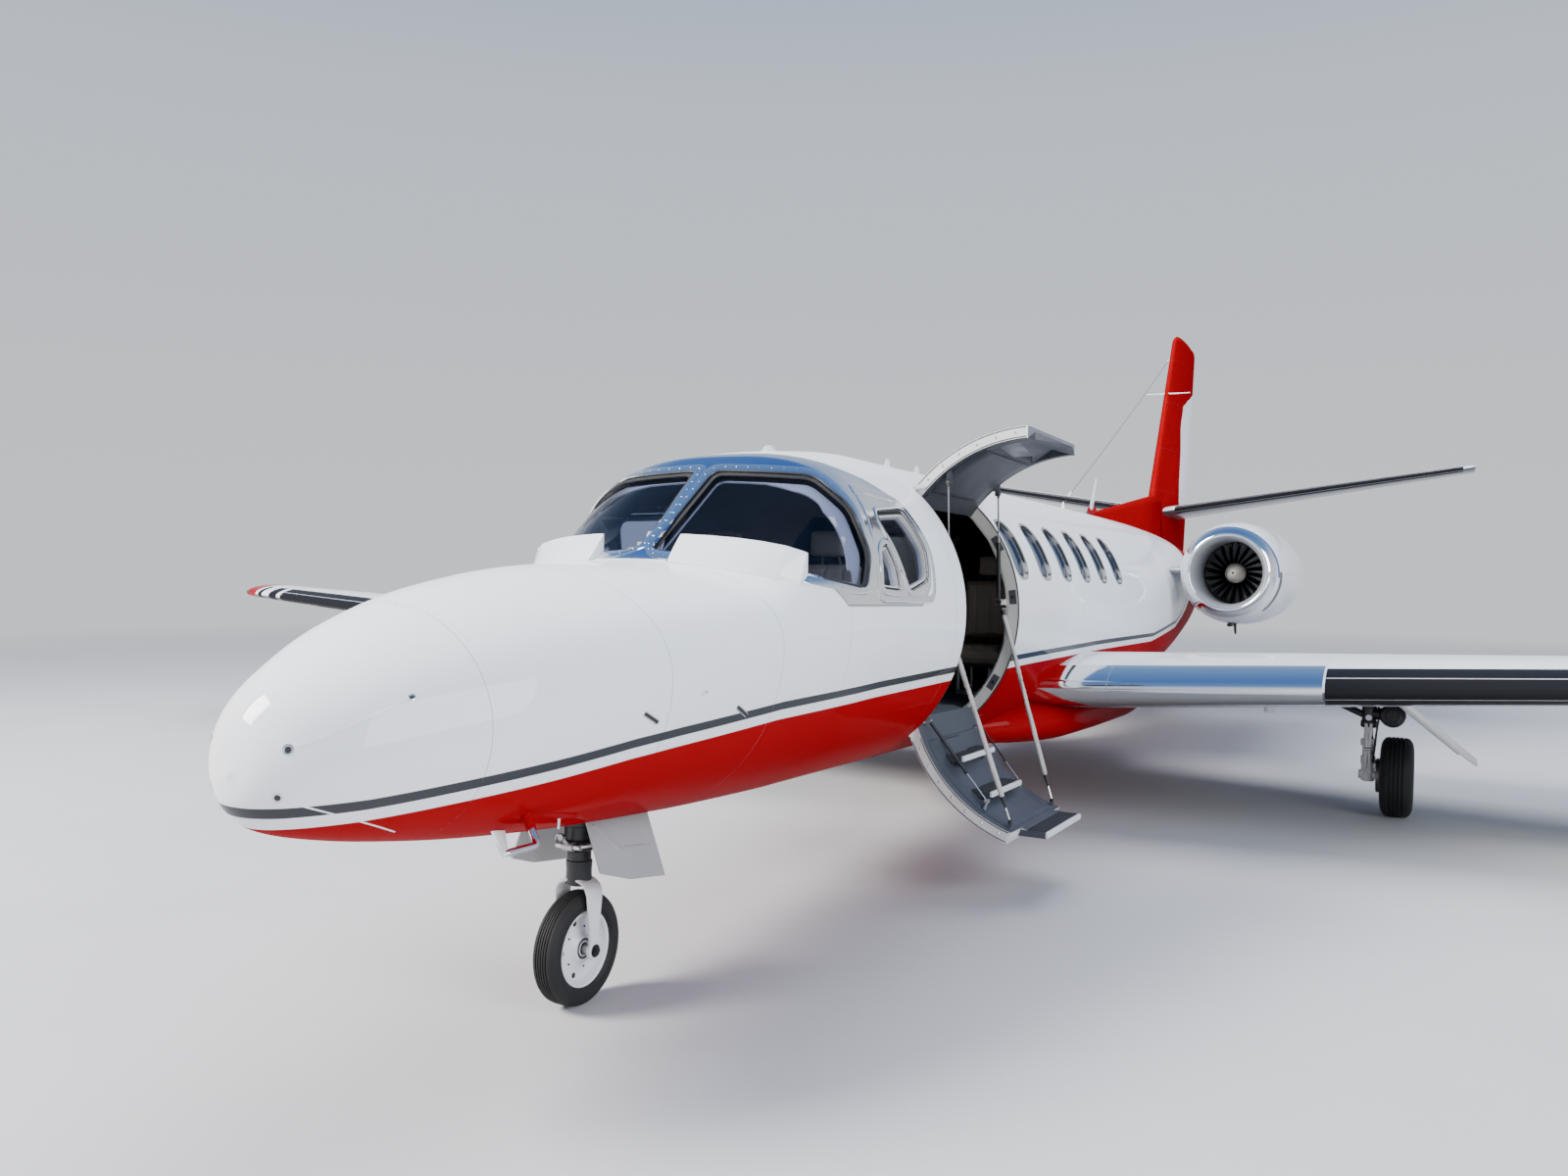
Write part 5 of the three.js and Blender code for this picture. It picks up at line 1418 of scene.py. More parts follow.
class Trim(Piece):
    """A piece of bands, rims and low strips that lie on the body's skin."""

    def band(self, lay: Callable[[np.ndarray, float], np.ndarray], outline: np.ndarray, inner: float,
             outer: float, proud: float, finish: int = 0, deep: float = 4.0) -> None:
        """Adds a closed band on both sides of the body, with eased edges.

        Args:
            lay: lays an outline on the skin.
            outline: the band's path.
            inner: how far inside the path it starts.
            outer: how far outside it ends.
            proud: its height off the skin.
            finish: its finish.
            deep: how far its edges go under the skin.
        """
        ease = min(2.5, (outer - inner) * 0.25)
        steps = ((inner, -deep), (inner, proud - 1), (inner + ease, proud), (outer - ease, proud),
                 (outer, proud - 1), (outer, -deep))
        rows = np.array([lay(widened(outline, off), high) for off, high in steps])
        self.pair(rows, finish, looped=True)

    def round_panes(self, *sizes: float) -> None:
        """Adds a band round both side panes, with the sizes that band takes."""
        for pane, radius in ((FRONT_PANE, 30), (REAR_PANE, 40)):
            self.band(on_side, rounded(pane, radius), *sizes)

    def strip(self, path: np.ndarray, width: float, proud: float, finish: int = 0) -> None:
        """Adds a low strip along a path of points on the skin."""
        path = np.asarray(path, float)
        ways = unit(np.gradient(path, axis=0))
        out = BODY.normals(path, path)
        across = unit(np.cross(ways, out)) * width / 2
        steps = ((-1, -3), (-1, proud - 0.6), (-0.8, proud), (0.8, proud), (1, proud - 0.6), (1, -3))
        self.grid(np.array([path + across * a + out * h for a, h in steps]).transpose(1, 0, 2), finish)


@dataclass
class Glazing:
    """Windscreens, side windows, cabin windows and their frames.

    Attributes:
        behind: how far the glass lies under the skin.
        first: station of the first cabin window's middle.
        pitch: from one cabin window to the next.
        count: how many there are on each side.
        size: a cabin window's length and height.
        middle: the height of their middles.
    """

    behind: float = 25.0
    first: float = 4641.0
    pitch: float = 473.0
    count: int = 6
    size: tuple[float, float] = (250.0, 340.0)
    middle: float = 371.0

    def pane(self, node: str, finish: Finish) -> None:
        """One glass node, smoothed on both faces."""
        copy = Copy(node)
        copy.refine(BODY, 20.0, depth=self.behind)
        forms = ((BODY, 14.0, self.behind),)
        copy.done(node + "_pane", "airframe", "tinted_glass", [finish], forms, 40)

    def window(self, number: int) -> np.ndarray:
        """One cabin window's outline."""
        mid = self.first + number * self.pitch
        long, tall = self.size[0] / 2, self.size[1] / 2
        corners = [(mid - long, self.middle - tall), (mid + long, self.middle - tall),
                   (mid + long, self.middle + tall), (mid - long, self.middle + tall)]
        return rounded(corners, self.size[0] * 0.46, 8)

    def frames(self) -> None:
        """Polished frames round the windscreens and the side panes."""
        piece = Trim("window_frames")
        piece.band(on_screen, screen_outline(45), -1, 30, 5.0)
        piece.round_panes(-1, 26, 4.5)
        piece.band(on_side, rounded(SIDE_FRAME, 70), -34, 0, 3.0)
        piece.done("airframe", "bright_steel", [POLISHED])

    def rims(self) -> None:
        """Thin rims round the cabin windows, and the dark seals behind the glass."""
        piece = Trim("cabin_window_rims")
        for number in range(self.count):
            outline = self.window(number)
            piece.band(on_side, outline, -6, 9, 1.6)
            piece.band(on_side, outline, -5, -1, -14.0, 1, 8.0)
        piece.done("airframe", "white_paint", [BRIGHT, SEAL])

    def seals(self) -> None:
        """The dark seals behind the windscreens and the side panes."""
        piece = Trim("screen_seals")
        piece.band(on_screen, screen_outline(45), -16, -1, -14.0, 0, 10.0)
        piece.round_panes(-12, -1, -14.0, 0, 10.0)
        piece.done("airframe", "panel_plastic", [SEAL])

    def linings(self) -> None:
        """The cream linings that show behind the glass, widest at the windscreens' rear feet."""
        piece = Trim("screen_linings")
        screen = screen_outline(45)
        reach = (screen[:, 0] - screen[:, 0].min()) / np.ptp(screen[:, 0])
        share = np.clip((reach - 0.5) / 0.4, 0, 1) * np.clip((screen[:, 1] - 120) / 120, 0.15, 1)
        edge = widened(screen, -16.0)
        wide = screen_outline(140) - screen
        inner = widened(screen + wide * share[:, None], -(19 + 61 * share)[:, None])
        loops = ((inner, -50.0), (inner, -42.0), (edge, -42.0), (edge, -50.0))
        piece.pair(np.array([on_screen(line, deep) for line, deep in loops]), looped=True)
        piece.round_panes(-19, -13, -42.0, 0, 8.0)
        piece.done("airframe", "panel_plastic", [LINING_CREAM])

    def screen_fairings(self) -> None:
        """White fairings that stand over the foot of each windscreen."""
        table = np.array(SCREEN_FAIRING, float)
        places = np.linspace(0, len(table) - 1, 40)
        columns = [np.interp(places, range(len(table)), table[:, k]) for k in range(4)]
        rows = []
        for number, (x, front, rear, high) in enumerate(zip(*columns)):
            foot, under = BODY.roof(x, front), BODY.roof(x, rear)
            ease = (0.0, 0.75, 1.0)[min(number, 39 - number, 2)]
            rise = [(front, foot + 0.6), (front, foot + 4)]
            for t in np.linspace(0.05, 0.97, 12):
                lift = (high - foot) * t + 16 * t * (1 - t) - 3 * (1 - ease)
                rise.append((front + (rear - front) * t, foot + lift))
            rise += [(rear - 2, high - 2 * (1 - ease)), (rear, high - 5), (rear, under + 0.6)]
            low = [(rear - 8, under - 3), (front + 8, foot - 3)]
            rows.append([(x, s, h) for s, h in rise + low])
        piece = Piece("screen_air_fairings")
        piece.pair(np.array(rows))
        nodes = ["screen_fairing_" + side.label for side in Side]
        piece.done("airframe", "white_panel", [WHITE_GLOSS], nodes, sharp=50)

    def build(self) -> None:
        """Builds all the glazing."""
        for side in Side:
            self.pane("windscreen_" + side.label, SCREEN_GLASS)
            self.pane("side_window_" + side.label, SCREEN_GLASS)
            self.pane("cabin_windows_" + side.label, CABIN_GLASS)
        self.frames()
        self.rims()
        self.seals()
        self.linings()
        self.screen_fairings()


# Wings and tail

@dataclass
class Panels:
    """The wings, the tailplane, the fin and what is hinged on them.

    Attributes:
        reach: how far the faceted skins may lie off the smooth ones.
    """

    reach: float = 18.0

    def panel(self, node: str, body: str, slot: str, form: FoilForm, finish: Finish,
              under: Finish | None = None) -> None:
        """One panel or hinged surface on its smooth form.

        Args:
            node: the CAD node.
            body: the body that it rides on.
            slot: the record's material slot.
            form: the smooth form.
            finish: its finish.
            under: a darker finish for its underside, which paints shade there, if it has one.
        """
        copy = Copy(node)
        copy.refine(form, self.reach, 0.35, 5)

        def kinds(middles: np.ndarray, facing: np.ndarray, which: np.ndarray) -> np.ndarray:
            """1 for faces that look down, which take the darker finish of painted shade."""
            return np.where(facing[:, 2] < -0.35, 1, 0)

        finishes = [finish, under] if under else [finish]
        copy.done(node + "_skin", body, slot, finishes, ((form, 3.0, 0.0),), 30, kinds if under else None)

    def fairing(self) -> None:
        """The red fairing under the wing's middle, with fillets at the wing roots."""
        piece = Piece("belly_fairing_skin")
        table = np.array([
            [4900, 250, -715, -838], [5080, 420, -665, -858], [5250, 580, -610, -880],
            [5480, 735, -560, -896], [5750, 850, -530, -906], [6500, 880, -520, -908],
            [7400, 870, -540, -908], [7900, 815, -570, -900], [8300, 730, -600, -882],
            [8850, 480, -650, -838], [9150, 300, -700, -800],
        ], float)
        stations = np.linspace(4900, 9150, 60)
        rows = []
        for s in stations:
            half, top, bottom = (np.interp(s, table[:, 0], table[:, k]) for k in (1, 2, 3))
            angle = np.linspace(0, 2 * math.pi, 72, endpoint=False)
            across, up = signed_power(np.cos(angle), 0.62), signed_power(np.sin(angle), 0.8)
            middle = (top + bottom) / 2
            rows.append(np.stack([half * across, np.full(72, s), middle + (top - bottom) / 2 * up], 1))
        rows = np.array(rows)
        rows[1:-1] = (rows[:-2] + 2 * rows[1:-1] + rows[2:]) / 4
        piece.grid(rows)
        piece.done("airframe", "red_paint", [RED_GLOSS], ["belly_fairing"], sharp=60)

    def build(self) -> None:
        """Builds every panel."""
        surfaces = ((WINGS, "wing_", ("flap_", "aileron_"), WING_PAINT, WING_UNDERSIDE_SHADE),
                    (TAILPLANES, "tailplane_", ("elevator_",), TAILPLANE_PAINT, TAILPLANE_UNDERSIDE_SHADE))
        for forms, fixed, hinged, *finishes in surfaces:
            for side, form in forms.items():
                self.panel(fixed + side.label, "airframe", "white_panel", form, *finishes)
                for kind in hinged:
                    self.panel(kind + side.label, kind + side.label, "white_panel", form, *finishes)
        self.panel("fin", "airframe", "red_panel", FIN, FIN_PAINT)
        self.panel("rudder", "rudder", "white_panel", FIN, FIN_PAINT)
        self.fairing()


# Repeated shapes

class Repeat(Tree):
    """A Geometry Nodes tree that repeats a shape, and the plain mesh that it makes."""

    def __init__(self, name: str) -> None:
        """Starts a tree.

        Args:
            name: the finished piece's name.
        """
        super().__init__(bpy.data.node_groups.new(name + "_tree", "GeometryNodeTree"))
        self.name = name
        self.ids: dict[str, str] = {}
        for way in ("INPUT", "OUTPUT"):
            self.tree.interface.new_socket("Geometry", in_out=way, socket_type="NodeSocketGeometry")

    def wants(self, **kinds: str) -> bpy.types.bpy_prop_collection:
        """Adds named inputs of given kinds, and returns the sockets that give them."""
        for label, kind in kinds.items():
            made = self.tree.interface.new_socket(label, in_out="INPUT", socket_type="NodeSocket" + kind)
            self.ids[label] = made.identifier
        return self.node("NodeGroupInput").outputs

    def finish(self, shape: bpy.types.NodeSocket, finish: Finish) -> None:
        """Ends the tree: real geometry with its material."""
        real = self.node("GeometryNodeRealizeInstances", {0: shape})
        dressed = self.node("GeometryNodeSetMaterial", {
            "Geometry": real.outputs[0], "Material": finish.material()})
        self.node("NodeGroupOutput", {0: dressed.outputs[0]})

    def plain(self, carrier: bpy.types.Object, values: dict) -> bpy.types.Object:
        """Runs the tree on a carrier and keeps the result as a plain mesh.

        Args:
            carrier: the object that the tree runs on, which is taken away after.
            values: the inputs by label.

        Returns:
            The finished piece.
        """
        modifier = carrier.modifiers.new(self.name, "NODES")
        modifier.node_group = self.tree
        for label, value in values.items():
            modifier[self.ids[label]] = value
        depsgraph = bpy.context.evaluated_depsgraph_get()
        mesh = bpy.data.meshes.new_from_object(carrier.evaluated_get(depsgraph))
        mesh.name = self.name
        mesh.transform(carrier.matrix_world)
        bpy.data.objects.remove(carrier)
        log.info("%s: %d faces", self.name, len(mesh.polygons))
        return placed(self.name, mesh)

    def around(self, shape: bpy.types.Object, centre: Point, axis: Point, count: int,
               finish: Finish) -> bpy.types.Object:
        """Repeats a shape round an axis.

        Args:
            shape: the shape, in its first place.
            centre: a point on the axis, on the level airframe.
            axis: the axis on the level airframe.
            count: how many.
            finish: their finish.

        Returns:
            The finished piece.
        """
        start = self.wants(Count="Int", Centre="Vector", Axis="Vector")
        line = self.node("GeometryNodeMeshLine", {"Count": start["Count"], "Offset": (0, 0, 0)})
        shift = self.node("ShaderNodeVectorMath", {0: start["Centre"], "Scale": -1.0}, operation="SCALE")
        moved = self.node("GeometryNodeTransform", {
            "Geometry": start["Geometry"], "Translation": shift.outputs[0]})
        number = self.node("GeometryNodeInputIndex")
        share = self.node("ShaderNodeMath", {0: number.outputs[0], 1: start["Count"]}, operation="DIVIDE")
        angle = self.node("ShaderNodeMath", {0: share.outputs[0], 1: 2 * math.pi}, operation="MULTIPLY")
        turn = self.node("FunctionNodeAxisAngleToRotation", {
            "Axis": start["Axis"], "Angle": angle.outputs[0]})
        spread = self.node("GeometryNodeInstanceOnPoints", {
            "Points": line.outputs[0], "Instance": moved.outputs[0], "Rotation": turn.outputs[0]})
        back = self.node("GeometryNodeTransform", {
            "Geometry": spread.outputs[0], "Translation": start["Centre"]})
        self.finish(back.outputs[0], finish)
        hub, way = in_frame(np.array([centre]))[0], headings_in_frame(np.array([axis]))[0]
        shape.parent = None
        return self.plain(shape, {"Count": count, "Centre": tuple(hub), "Axis": tuple(way)})


# Engines

@dataclass
class Engine:
    """One engine in its nacelle on its pylon.

    Attributes:
        side: which one it is.
        offset: distance off the centreline.
        height: above the centreline.
        lip: station of the inlet's lip.
        fan: the fan's face, aft of the lip.
        radius: the blades' tips.
        blades: how many.
    """

    side: Side
    offset: float = NACELLE_OFFSET
    height: float = NACELLE_HEIGHT
    lip: float = INLET_LIP
    fan: float = 480.0
    radius: float = 268.0
    blades: int = 20
    # Aft of the lip and radius: outside going aft, then the duct going forward
    outside: tuple[tuple[float, float], ...] = (
        (0, 326), (3, 338), (12, 352), (26, 366), (45, 378), (85, 395), (140, 412), (250, 434),
        (400, 452), (620, 466), (900, 472), (1200, 469), (1500, 460), (1950, 430), (2400, 392),
        (2800, 352), (3180, 312),
    )
    duct: tuple[tuple[float, float], ...] = (
        (3180, 300), (2800, 330), (2400, 352), (1500, 352), (640, 352), (620, 340), (560, 285),
        (400, 281), (220, 277), (110, 278), (60, 285), (30, 296), (12, 308), (3, 317),
    )

    @property
    def centre(self) -> tuple[float, float, float]:
        """The middle of the inlet's lip."""
        return (self.side * self.offset, self.lip, self.height)

    def nacelle(self) -> None:
        """The nacelle with its polished lip, its duct and its pylon."""
        piece = Piece("nacelle_" + self.side.label + "_skin")
        lip = (self.duct[-1], *self.outside[:6])
        for finish, profile in enumerate((self.outside[5:], lip, self.duct)):
            piece.lathe(profile, self.centre, (0, 1, 0), 96, finish, caps=False)
        self.pylon(piece)
        paint = NacellePaint(name="nacelle_paint_" + self.side.label, side=self.side)
        piece.done("airframe", "white_panel", [paint, POLISHED, DUCT, WHITE_GLOSS],
                   ["nacelle_" + self.side.label], sharp=40, fix=False)

    def pylon(self, piece: Piece) -> None:
        """The stub between the body and the nacelle."""
        share = np.linspace(0, 1, 30)
        half = 62 * np.sqrt(np.clip(share, 0, 1)) * (1 - share) ** 0.55 * 1.72
        half = np.maximum(half, 3.0)
        top = np.stack([share * 1900, half], 1)
        outline = np.vstack([top, top[-2:0:-1] * (1, -1)])
        rows = []
        for x, shift, flare in ((600, -30, 1.5), (700, 0, 1.12), (800, 20, 1.0), (900, 45, 1.03),
                                (985, 60, 1.3)):
            rows.append([(self.side * x, 9180 + shift + a, 345 + b * flare) for a, b in outline])
        rows = np.array(rows)
        if self.side is Side.RIGHT:
            rows = rows[::-1]
        piece.grid(rows, 3)

    def core(self) -> None:
        """The engine block, with vanes behind the fan and the exhaust cone."""
        piece = Piece("engine_" + self.side.label + "_core")
        x, y, z = self.centre
        piece.lathe([(640, 0), (640, 345), (700, 350), (2290, 350), (2300, 340), (2420, 260), (2500, 228),
                     (2800, 190), (3050, 148), (3110, 60), (3120, 0)], self.centre, (0, 1, 0), 64, 0)
        for angle in np.linspace(0, 2 * math.pi, 36, endpoint=False):
            c, s = math.cos(angle), math.sin(angle)
            vane = [[(x + r * c + w * s, y + 598 + a, z + r * s - w * c)
                     for a, w in ((0, -8), (30, 6.25), (34, 9), (4, -5))] for r in (80, 283)]
            piece.grid(np.array(vane), 1)
        piece.done("airframe", "engine_case", [SOOTY, BLADE], ["engine_" + self.side.label])

    def fan_disc(self) -> None:
        """The spinner and the twisted blades, turned out by Geometry Nodes."""
        name = "fan_" + self.side.label
        x, y, z = self.centre
        spinner = Piece(name + "_spinner")
        face = self.fan
        profile = [(face - 136, 9), (face - 128, 26), (face - 112, 42), (face - 85, 60), (face - 50, 76),
                   (face - 15, 86), (face + 30, 91), (face + 85, 92), (face + 108, 60), (face + 109, 0)]
        spinner.lathe(profile, self.centre, (0, 1, 0), 48, 0)
        spinner.lathe([(face - 140, 0), (face - 139, 8), (face - 135, 11), (face - 130, 0)],
                      self.centre, (0, 1, 0), 20, 1)
        spinner.done(name, "fan_metal", [SPINNER, PANEL_BLACK])
        blade = Piece(name + "_blade")
        rows = []
        for share in np.linspace(0, 1, 8):
            r = 84 + (self.radius - 84) * share
            pitch = math.radians(28 + 36 * share)
            chord = 74 - 8 * share
            thick = 4.2 - 2.6 * share
            sweep = 14 * share**2
            row = []
            for a, t in ((-0.5, 0.1), (-0.2, 1), (0.15, 0.9), (0.5, 0.1), (0.15, -0.9), (-0.2, -1)):
                along, off = a * chord, t * thick + 10 * (0.25 - a * a)
                row.append((x + along * math.sin(pitch) + off * math.cos(pitch),
                            y + face + 36 + sweep + along * math.cos(pitch) - off * math.sin(pitch),
                            z + r))
            rows.append(row)
        blade.grid(np.array(rows))
        one = blade.done(name, "fan_metal", [BLADE], sharp=50)
        spun = Repeat(name + "_blades").around(one, self.centre, (0, 1, 0), self.blades, BLADE)
        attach(spun, name)
        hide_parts(name)

    def details(self) -> None:
        """The small air intake, the drain mast and its plate under the nacelle."""
        piece = Piece("nacelle_" + self.side.label + "_details")
        x, y, z = self.centre
        low = z - 452
        vent = [(-52, 0), (0, -95), (52, 0)]
        rows = [[(x + a * f, y + 420 + b * f, low + 4 - lift - 0.012 * (b * f))
                 for a, b in vent] for f, lift in ((1.0, 0), (0.7, 8))]
        piece.grid(np.array(rows), 0)
        piece.tube([(x, y + 560, z - 455), (x, y + 575, z - 520), (x, y + 600, z - 548)], [13, 11, 9], 12, 1)
        piece.box((x - 60, y + 480, z - 485), (x - 20, y + 640, z - 458), 1, 6)
        piece.done("airframe", "engine_case", [PANEL_BLACK, DARK_STEEL])

    def build(self) -> None:
        """Builds the engine."""
        self.nacelle()
        self.core()
        self.fan_disc()
        self.details()


# Camera, light and floor

@dataclass
class Studio:
    """The photograph's viewing angle over a pale floor, with soft light.

    Attributes:
        place: the camera's, in the frame's metres.
        yaw: degrees that it is turned to the left of straight aft.
        pitch: degrees that it looks up.
        roll: degrees that it leans.
        lens: its focal length in millimetres.
        floor: half the floor's width in metres.
    """

    place: tuple[float, float, float] = (2.960, -9.385, 1.796)
    yaw: float = 28.75
    pitch: float = -1.81
    roll: float = 0.63
    lens: float = 27.6
    floor: float = 60.0

    def camera(self) -> None:
        """The camera."""
        yaw, pitch, roll = (math.radians(v) for v in (self.yaw, self.pitch, self.roll))
        ahead = Vector((-math.sin(yaw) * math.cos(pitch), math.cos(yaw) * math.cos(pitch), math.sin(pitch)))
        right = Vector((math.cos(yaw), math.sin(yaw), 0))
        up = right.cross(ahead)
        across = right * math.cos(roll) + up * math.sin(roll)
        over = up * math.cos(roll) - right * math.sin(roll)
        data = bpy.data.cameras.new("camera")
        data.lens, data.sensor_width = self.lens, 36.0
        data.clip_end = 500
        camera = placed("camera", data)
        turn = Matrix((across, over, -ahead)).transposed().to_4x4()
        camera.matrix_world = Matrix.Translation(self.place) @ turn
        bpy.context.scene.camera = camera

    def light(self, name: str, place: Point, aim: Point, size: float, power: float,
              tint: Colour = (1, 1, 1), mirrored: bool = True) -> None:
        """One large soft light.

        Args:
            name: its name.
            place: where it is.
            aim: what it points at.
            size: its side in metres.
            power: watts.
            tint: its colour.
            mirrored: whether it shows in polished metal and glass.
        """
        data = bpy.data.lights.new(name, "AREA")
        data.shape, data.size, data.energy, data.color = "SQUARE", size, power, tint
        lamp = placed(name, data)
        turn = (Vector(aim) - Vector(place)).to_track_quat("-Z", "Y").to_matrix().to_4x4()
        lamp.matrix_world = Matrix.Translation(place) @ turn
        lamp.visible_glossy = mirrored

    def surroundings(self) -> None:
        """A plain sky: pale at the horizon and blue overhead."""
        world = bpy.data.worlds.new("room")
        world.use_nodes = True
        bands = ((0.0, (0.86, 0.88, 0.92)), (0.34, (0.7, 0.77, 0.88)), (0.62, (0.2, 0.36, 0.7)),
                 (1.0, (0.1, 0.22, 0.55)))
        room = Tree(world.node_tree)
        coords = room.node("ShaderNodeTexCoord")
        split = room.node("ShaderNodeSeparateXYZ", {0: coords.outputs["Generated"]})
        ramp = room.node("ShaderNodeValToRGB", {0: split.outputs["Z"]}, stops=bands)
        sky = room.node("ShaderNodeBackground", {"Color": ramp.outputs[0], "Strength": 0.95})
        room.node("ShaderNodeOutputWorld", {0: sky.outputs[0]})
        bpy.context.scene.world = world

    def ground(self) -> bpy.types.Material:
        """The pale floor, which fades out towards its edge."""
        coat = Coat("pale_floor")
        x, station, height = coat.place()
        away = ((x * x) + (station - HALF_LENGTH) * (station - HALF_LENGTH)).power(0.5)
        solid = coat.node("ShaderNodeBsdfPrincipled", {
            "Base Color": coat.mix(coat.noise(900, 3), (0.47, 0.47, 0.48), (0.52, 0.52, 0.52)),
            "Roughness": 0.9, "Specular IOR Level": 0.2})
        clear = coat.node("ShaderNodeBsdfTransparent")
        share = coat.sum("DIVIDE", away - 10500, 12000, clamp=True)
        blend = coat.node("ShaderNodeMixShader", {0: share, 1: solid.outputs[0], 2: clear.outputs[0]})
        coat.tree.links.new(blend.outputs[0], coat.end.inputs[0])
        return coat.material

    def build(self) -> None:
        """Builds the camera, the floor and the lights."""
        self.camera()
        half = self.floor
        mesh = bpy.data.meshes.new("floor")
        mesh.from_pydata([(-half, -half, 0), (half, -half, 0), (half, half, 0), (-half, half, 0)], [],
                         [(0, 1, 2, 3)])
        mesh.materials.append(self.ground())
        placed("floor", mesh)
        self.light("key", (-10, -15, 12), (0, -3, 1), 6, 8500, (1.0, 0.97, 0.92))
        self.light("fill", (14, -8, 7), (0, -1, 1), 9, 2200, (0.92, 0.96, 1.0))
        self.light("top", (0, 2, 15), (0, 1, 0), 12, 2600, mirrored=False)
        self.surroundings()


# Cabin door

def swung(points: np.ndarray, hinge: tuple[float, float], degrees: float) -> np.ndarray:
    """Turns points about a hinge that runs fore and aft.

    Args:
        points: rows on the level airframe.
        hinge: the hinge's x and height.
        degrees: the turn, positive towards the ground on the left side.

    Returns:
        The turned rows.
    """
    points = np.asarray(points, float)
    c, s = math.cos(math.radians(degrees)), math.sin(math.radians(degrees))
    x, h = points[..., 0] - hinge[0], points[..., 2] - hinge[1]
    return np.stack([hinge[0] + x * c + h * s, points[..., 1], hinge[1] - x * s + h * c], -1)


@dataclass(frozen=True)
class SwungForm(Form):
    """The body's smooth form, turned with an open door leaf."""

    hinge: tuple[float, float]
    degrees: float

    def shut(self, points: np.ndarray) -> np.ndarray:
        """Points on the shut door."""
        return swung(points, self.hinge, -self.degrees)

    def open(self, points: np.ndarray) -> np.ndarray:
        """Points of the shut door, on the open one."""
        return swung(points, self.hinge, self.degrees)

    def distance(self, points: np.ndarray) -> np.ndarray:
        """Distance off the turned skin."""
        return BODY.distance(self.shut(points))

    def normals(self, points: np.ndarray, facing: np.ndarray) -> np.ndarray:
        """Normals of the turned skin."""
        return swung(BODY.normals(self.shut(points), facing), (0, 0), self.degrees)

    def settled(self, points: np.ndarray, depth: float) -> np.ndarray:
        """Points moved onto the turned skin."""
        return self.open(BODY.settled(self.shut(points), depth))


@dataclass
class Studs:
    """Fasteners with low round heads, set out by Geometry Nodes.

    Attributes:
        name: the piece's name.
        body: the body that they ride on.
        slot: the record's material slot. Not used.
        finish: their finish.
        radius: of a head.
        high: a head's height.
        sides: faces round a head.
    """

    name: str
    body: str
    slot: str
    finish: Finish
    radius: float = 6.0
    high: float = 2.0
    sides: int = 8
    places: list[np.ndarray] = field(default_factory=list)
    facings: list[np.ndarray] = field(default_factory=list)

    def row(self, places: np.ndarray, facing: np.ndarray | Point) -> None:
        """Adds fasteners at places, facing one way or each its own."""
        places = np.asarray(places, float).reshape(-1, 3)
        self.places.append(places)
        self.facings.append(np.broadcast_to(np.asarray(facing, float), places.shape))

    def along(self, path: np.ndarray, pitch: float, facing: np.ndarray | Point) -> None:
        """Adds fasteners at an even pitch along a path."""
        path = np.asarray(path, float)
        run = np.concatenate([[0], np.cumsum(np.linalg.norm(np.diff(path, axis=0), axis=1))])
        count = max(int(run[-1] / pitch), 1)
        at = (np.arange(count) + 0.5) * run[-1] / count
        facing = np.broadcast_to(np.asarray(facing, float), path.shape)
        spots = np.stack([np.interp(at, run, path[:, k]) for k in range(3)], 1)
        ways = np.stack([np.interp(at, run, facing[:, k]) for k in range(3)], 1)
        self.row(spots, ways)

    def done(self) -> None:
        """Runs the tree and puts the fasteners on their body."""
        places, facings = np.vstack(self.places), unit(np.vstack(self.facings))
        mesh = bpy.data.meshes.new(self.name + "_places")
        mesh.from_pydata(in_frame(places).tolist(), [], [])
        facing = mesh.attributes.new("facing", "FLOAT_VECTOR", "POINT")
        facing.data.foreach_set("vector", headings_in_frame(facings).ravel().astype(np.float32))
        carrier = placed(self.name + "_places", mesh)
        tree = Repeat(self.name)
        start = tree.wants(Radius="Float", Height="Float", Sides="Int")
        inner = tree.node("ShaderNodeMath", {0: start["Radius"], 1: 0.55}, operation="MULTIPLY")
        head = tree.node("GeometryNodeMeshCone", {
            "Vertices": start["Sides"], "Radius Top": inner.outputs[0],
            "Radius Bottom": start["Radius"], "Depth": start["Height"]}, fill_type="NGON")
        way = tree.node("GeometryNodeInputNamedAttribute", {"Name": "facing"}, data_type="FLOAT_VECTOR")
        turn = tree.node("FunctionNodeAlignRotationToVector", {"Vector": way.outputs[0]}, axis="Z")
        spread = tree.node("GeometryNodeInstanceOnPoints", {
            "Points": start["Geometry"], "Instance": head.outputs[0], "Rotation": turn.outputs[0]})
        tree.finish(spread.outputs[0], self.finish)
        values = {"Radius": self.radius / 1000, "Height": self.high / 1000, "Sides": self.sides}
        piece = tree.plain(carrier, values)
        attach(piece, self.body)


@dataclass(frozen=True)
class DoorPaint(BodyPaint):
    """The body's paint on an open leaf, worked out where the leaf is shut.

    Attributes:
        hinge: the hinge's x and height.
        degrees: how far the leaf is open.
    """

    name: str = "door_paint"
    hinge: tuple[float, float] = (0.0, 0.0)
    degrees: float = 0.0

    def where(self, coat: Coat) -> tuple[Value, Value, Value]:
        """The place on the shut leaf."""
        x, station, height = coat.place()
        c, s = math.cos(math.radians(-self.degrees)), math.sin(math.radians(-self.degrees))
        x, height = x - self.hinge[0], height - self.hinge[1]
        return x * c + height * s + self.hinge[0], station, height * c - x * s + self.hinge[1]


